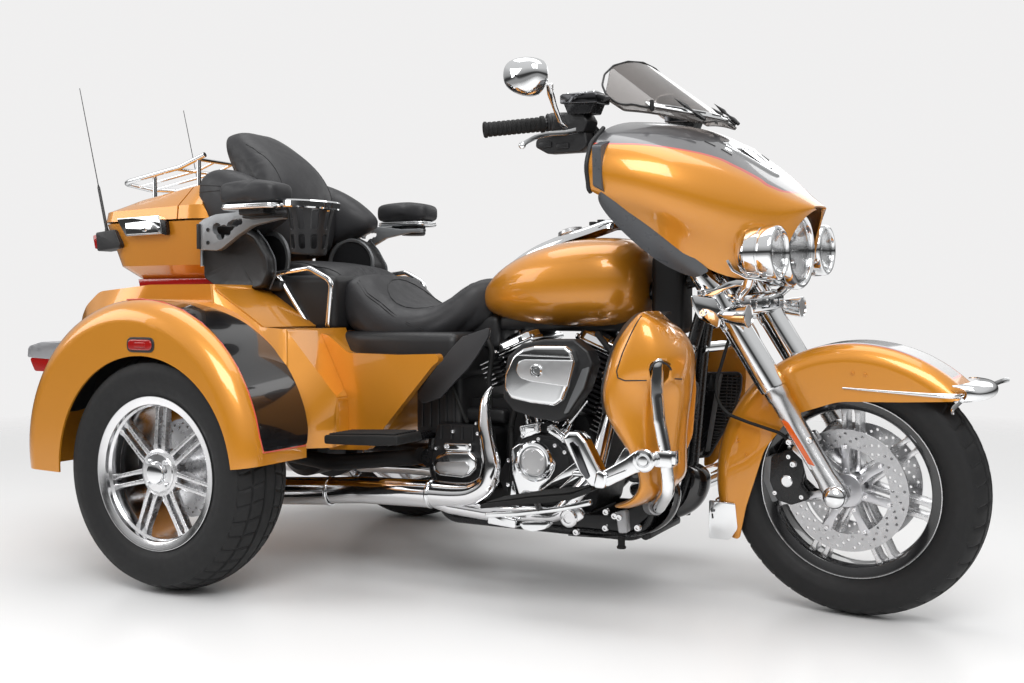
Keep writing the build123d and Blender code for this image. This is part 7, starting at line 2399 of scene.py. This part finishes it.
class TRIKE_OT_lamps(bpy.types.Operator):
    """Headlamp, passing lamps, turn signals and the bright cover of the fork clamp"""

    bl_idname = "trike.lamps"
    bl_label = "Front lamps"

    def execute(self, context):
        headlamp_pieces()
        passing_lamp_pieces()
        signal_pieces()
        clamp_cover_pieces()
        return {"FINISHED"}


class TRIKE_OT_controls(bpy.types.Operator):
    """Handlebar with grips, levers, switches, reservoirs and mirrors"""

    bl_idname = "trike.controls"
    bl_label = "Handlebar"

    def execute(self, context):
        control_pieces()
        return {"FINISHED"}


class TRIKE_OT_engine(bpy.types.Operator):
    """Engine covers, air cleaner, pipes, footboards, pegs and the dark parts behind them"""

    bl_idname = "trike.engine"
    bl_label = "Engine and boards"

    def execute(self, context):
        engine_pieces()
        return {"FINISHED"}


class TRIKE_OT_legs(bpy.types.Operator):
    """Leg fairings with their radiators, the guard tubes, the highway pegs and the chin cover"""

    bl_idname = "trike.legs"
    bl_label = "Leg fairings and guards"

    def execute(self, context):
        leg_pieces()
        guard_tube_pieces()
        chin_pieces()
        return {"FINISHED"}


class TRIKE_OT_tank(bpy.types.Operator):
    """Teardrop tank with its console and the cover round the steering head"""

    bl_idname = "trike.tank"
    bl_label = "Tank"

    def execute(self, context):
        tank_pieces()
        return {"FINISHED"}



class TRIKE_OT_seats(bpy.types.Operator):
    """Saddle, passenger seat, backrest, armrests, cup baskets, speaker pods and grab rails"""

    bl_idname = "trike.seats"
    bl_label = "Seats and rests"

    def execute(self, context):
        seat_pieces()
        rest_pieces()
        pod_pieces()
        rail_pieces()
        return {"FINISHED"}



class TRIKE_OT_rear(bpy.types.Operator):
    """Fender panels, lamps, latch and rack of the rear body"""

    bl_idname = "trike.rear"
    bl_label = "Rear body"

    def execute(self, context):
        body_pieces()
        band_pieces()
        rear_lamp_pieces()
        box_pieces()
        rack_pieces()
        return {"FINISHED"}



# --- stage ------------------------------------------------------------------------------------------------------
CAMERA_AT = Vector((2.18915 + REAR_AXLE_X, -2.81624, 0.76931))
CAMERA_YAW = radians(27.68)
CAMERA_PITCH = radians(-1.949)


def soft_light(name, place, target, size, power, color=(1, 1, 1)):
    clear_selection()
    bpy.ops.object.light_add(type="AREA", location=place)
    lamp = bpy.context.object
    lamp.name = name
    lamp.data.shape = "RECTANGLE"
    lamp.data.size, lamp.data.size_y = size
    lamp.data.energy = power
    lamp.data.color = color
    lamp.rotation_euler = (Vector(target) - Vector(place)).to_track_quat("-Z", "Y").to_euler()
    return lamp


def make_stage(context):
    scene = context.scene
    scene.view_settings.view_transform = "Standard"
    clear_selection()
    bpy.ops.mesh.primitive_plane_add(size=80, location=(0, 0, 0))
    floor = context.object
    floor.name = "studio_floor"
    # The floor fades into the backdrop with distance, so no horizon shows.
    cover = Finish("studio_floor", tuple(scene.trike_colours.floor), roughness=0.3, specular=0.4)
    distance = cover.nodes.new("ShaderNodeVectorMath")
    distance.operation = "LENGTH"
    cover.links.new(cover.place.outputs["Object"], distance.inputs[0])
    fade = cover.nodes.new("ShaderNodeMixShader")
    clear = cover.nodes.new("ShaderNodeBsdfTransparent")
    cover.links.new(cover.spread(distance.outputs["Value"], 2.2, 5.5, 0, 1), fade.inputs["Fac"])
    cover.links.new(cover.shader.outputs[0], fade.inputs[1])
    cover.links.new(clear.outputs[0], fade.inputs[2])
    cover.links.new(fade.outputs[0], cover.nodes["Material Output"].inputs["Surface"])
    floor.data.materials.append(cover.material)
    world = bpy.data.worlds.new("studio")
    scene.world = world
    world.use_nodes = True
    nodes, links = world.node_tree.nodes, world.node_tree.links
    background = nodes["Background"]
    place = nodes.new("ShaderNodeTexCoord")
    split = nodes.new("ShaderNodeSeparateXYZ")
    links.new(place.outputs["Generated"], split.inputs[0])
    ramp = nodes.new("ShaderNodeValToRGB")
    stops = ((0.0, 0.55), (0.44, 0.40), (0.485, 0.06), (0.53, 0.05), (0.57, 0.42), (0.70, 0.85), (1.0, 1.0))
    first, last = ramp.color_ramp.elements
    first.position, first.color = stops[0][0], (stops[0][1],) * 3 + (1,)
    last.position, last.color = stops[-1][0], (stops[-1][1],) * 3 + (1,)
    for position, value in stops[1:-1]:
        element = ramp.color_ramp.elements.new(position)
        element.color = (value, value, value, 1)
    shift = nodes.new("ShaderNodeMapRange")
    shift.inputs["From Min"].default_value, shift.inputs["From Max"].default_value = -1, 1
    links.new(split.outputs["Z"], shift.inputs["Value"])
    links.new(shift.outputs["Result"], ramp.inputs["Fac"])
    sight = nodes.new("ShaderNodeLightPath")
    plain = nodes.new("ShaderNodeBackground")
    plain.inputs["Color"].default_value = (0.872, 0.866, 0.866, 1)
    links.new(ramp.outputs["Color"], background.inputs["Color"])
    background.inputs["Strength"].default_value = 0.76
    mix = nodes.new("ShaderNodeMixShader")
    links.new(sight.outputs["Is Camera Ray"], mix.inputs["Fac"])
    links.new(background.outputs[0], mix.inputs[1])
    links.new(plain.outputs[0], mix.inputs[2])
    links.new(mix.outputs[0], nodes["World Output"].inputs["Surface"])
    middle = (0, 0, 0.6)
    soft_light("key_light", (1.8, -3.4, 3.8), middle, (3.2, 2.0), 150)
    soft_light("fill_light", (-3.8, -2.6, 2.4), middle, (2.2, 2.2), 44)
    soft_light("top_light", (0, 0.2, 4.4), middle, (5, 2.6), 95)
    soft_light("back_light", (1.0, 4.2, 2.6), middle, (4, 1.6), 25)
    bpy.ops.object.camera_add(location=CAMERA_AT)
    camera = context.object
    camera.name = "studio_camera"
    ahead = Vector((-sin(CAMERA_YAW) * cos(CAMERA_PITCH), cos(CAMERA_YAW) * cos(CAMERA_PITCH), sin(CAMERA_PITCH)))
    camera.rotation_euler = ahead.to_track_quat("-Z", "Y").to_euler()
    camera.data.sensor_width = 36
    camera.data.lens = scene.trike_sizes.lens_length
    camera.data.clip_end = 200
    scene.camera = camera


CLASSES = (
    TrikeColours, TrikeSizes, TRIKE_OT_finishes, TRIKE_OT_wheels, TRIKE_OT_fairing, TRIKE_OT_fork, TRIKE_OT_lamps,
    TRIKE_OT_controls, TRIKE_OT_engine, TRIKE_OT_legs, TRIKE_OT_tank, TRIKE_OT_seats, TRIKE_OT_rear,
    TRIKE_OT_stage,
)
STEPS = ("finishes", "wheels", "fairing", "fork", "lamps", "controls", "engine", "legs", "tank", "seats", "rear",
         "stage")


class TRIKE_PT_panel(bpy.types.Panel):
    bl_label = "Touring trike"
    bl_idname = "TRIKE_PT_panel"
    bl_space_type = "VIEW_3D"
    bl_region_type = "UI"
    bl_category = "Trike"

    def draw(self, context):
        column = self.layout.column()
        for name in TrikeColours.__annotations__:
            column.prop(context.scene.trike_colours, name)
        for name in TrikeSizes.__annotations__:
            column.prop(context.scene.trike_sizes, name)
        for step in STEPS:
            column.operator("trike." + step)


def register():
    for item in (*CLASSES, TRIKE_PT_panel):
        bpy.utils.register_class(item)
    bpy.types.Scene.trike_colours = bpy.props.PointerProperty(type=TrikeColours)
    bpy.types.Scene.trike_sizes = bpy.props.PointerProperty(type=TrikeSizes)


def unregister():
    del bpy.types.Scene.trike_colours
    del bpy.types.Scene.trike_sizes
    for item in reversed((*CLASSES, TRIKE_PT_panel)):
        bpy.utils.unregister_class(item)


def main():
    register()
    for step in STEPS:
        getattr(bpy.ops.trike, step)()


if __name__ == "__main__":
    main()
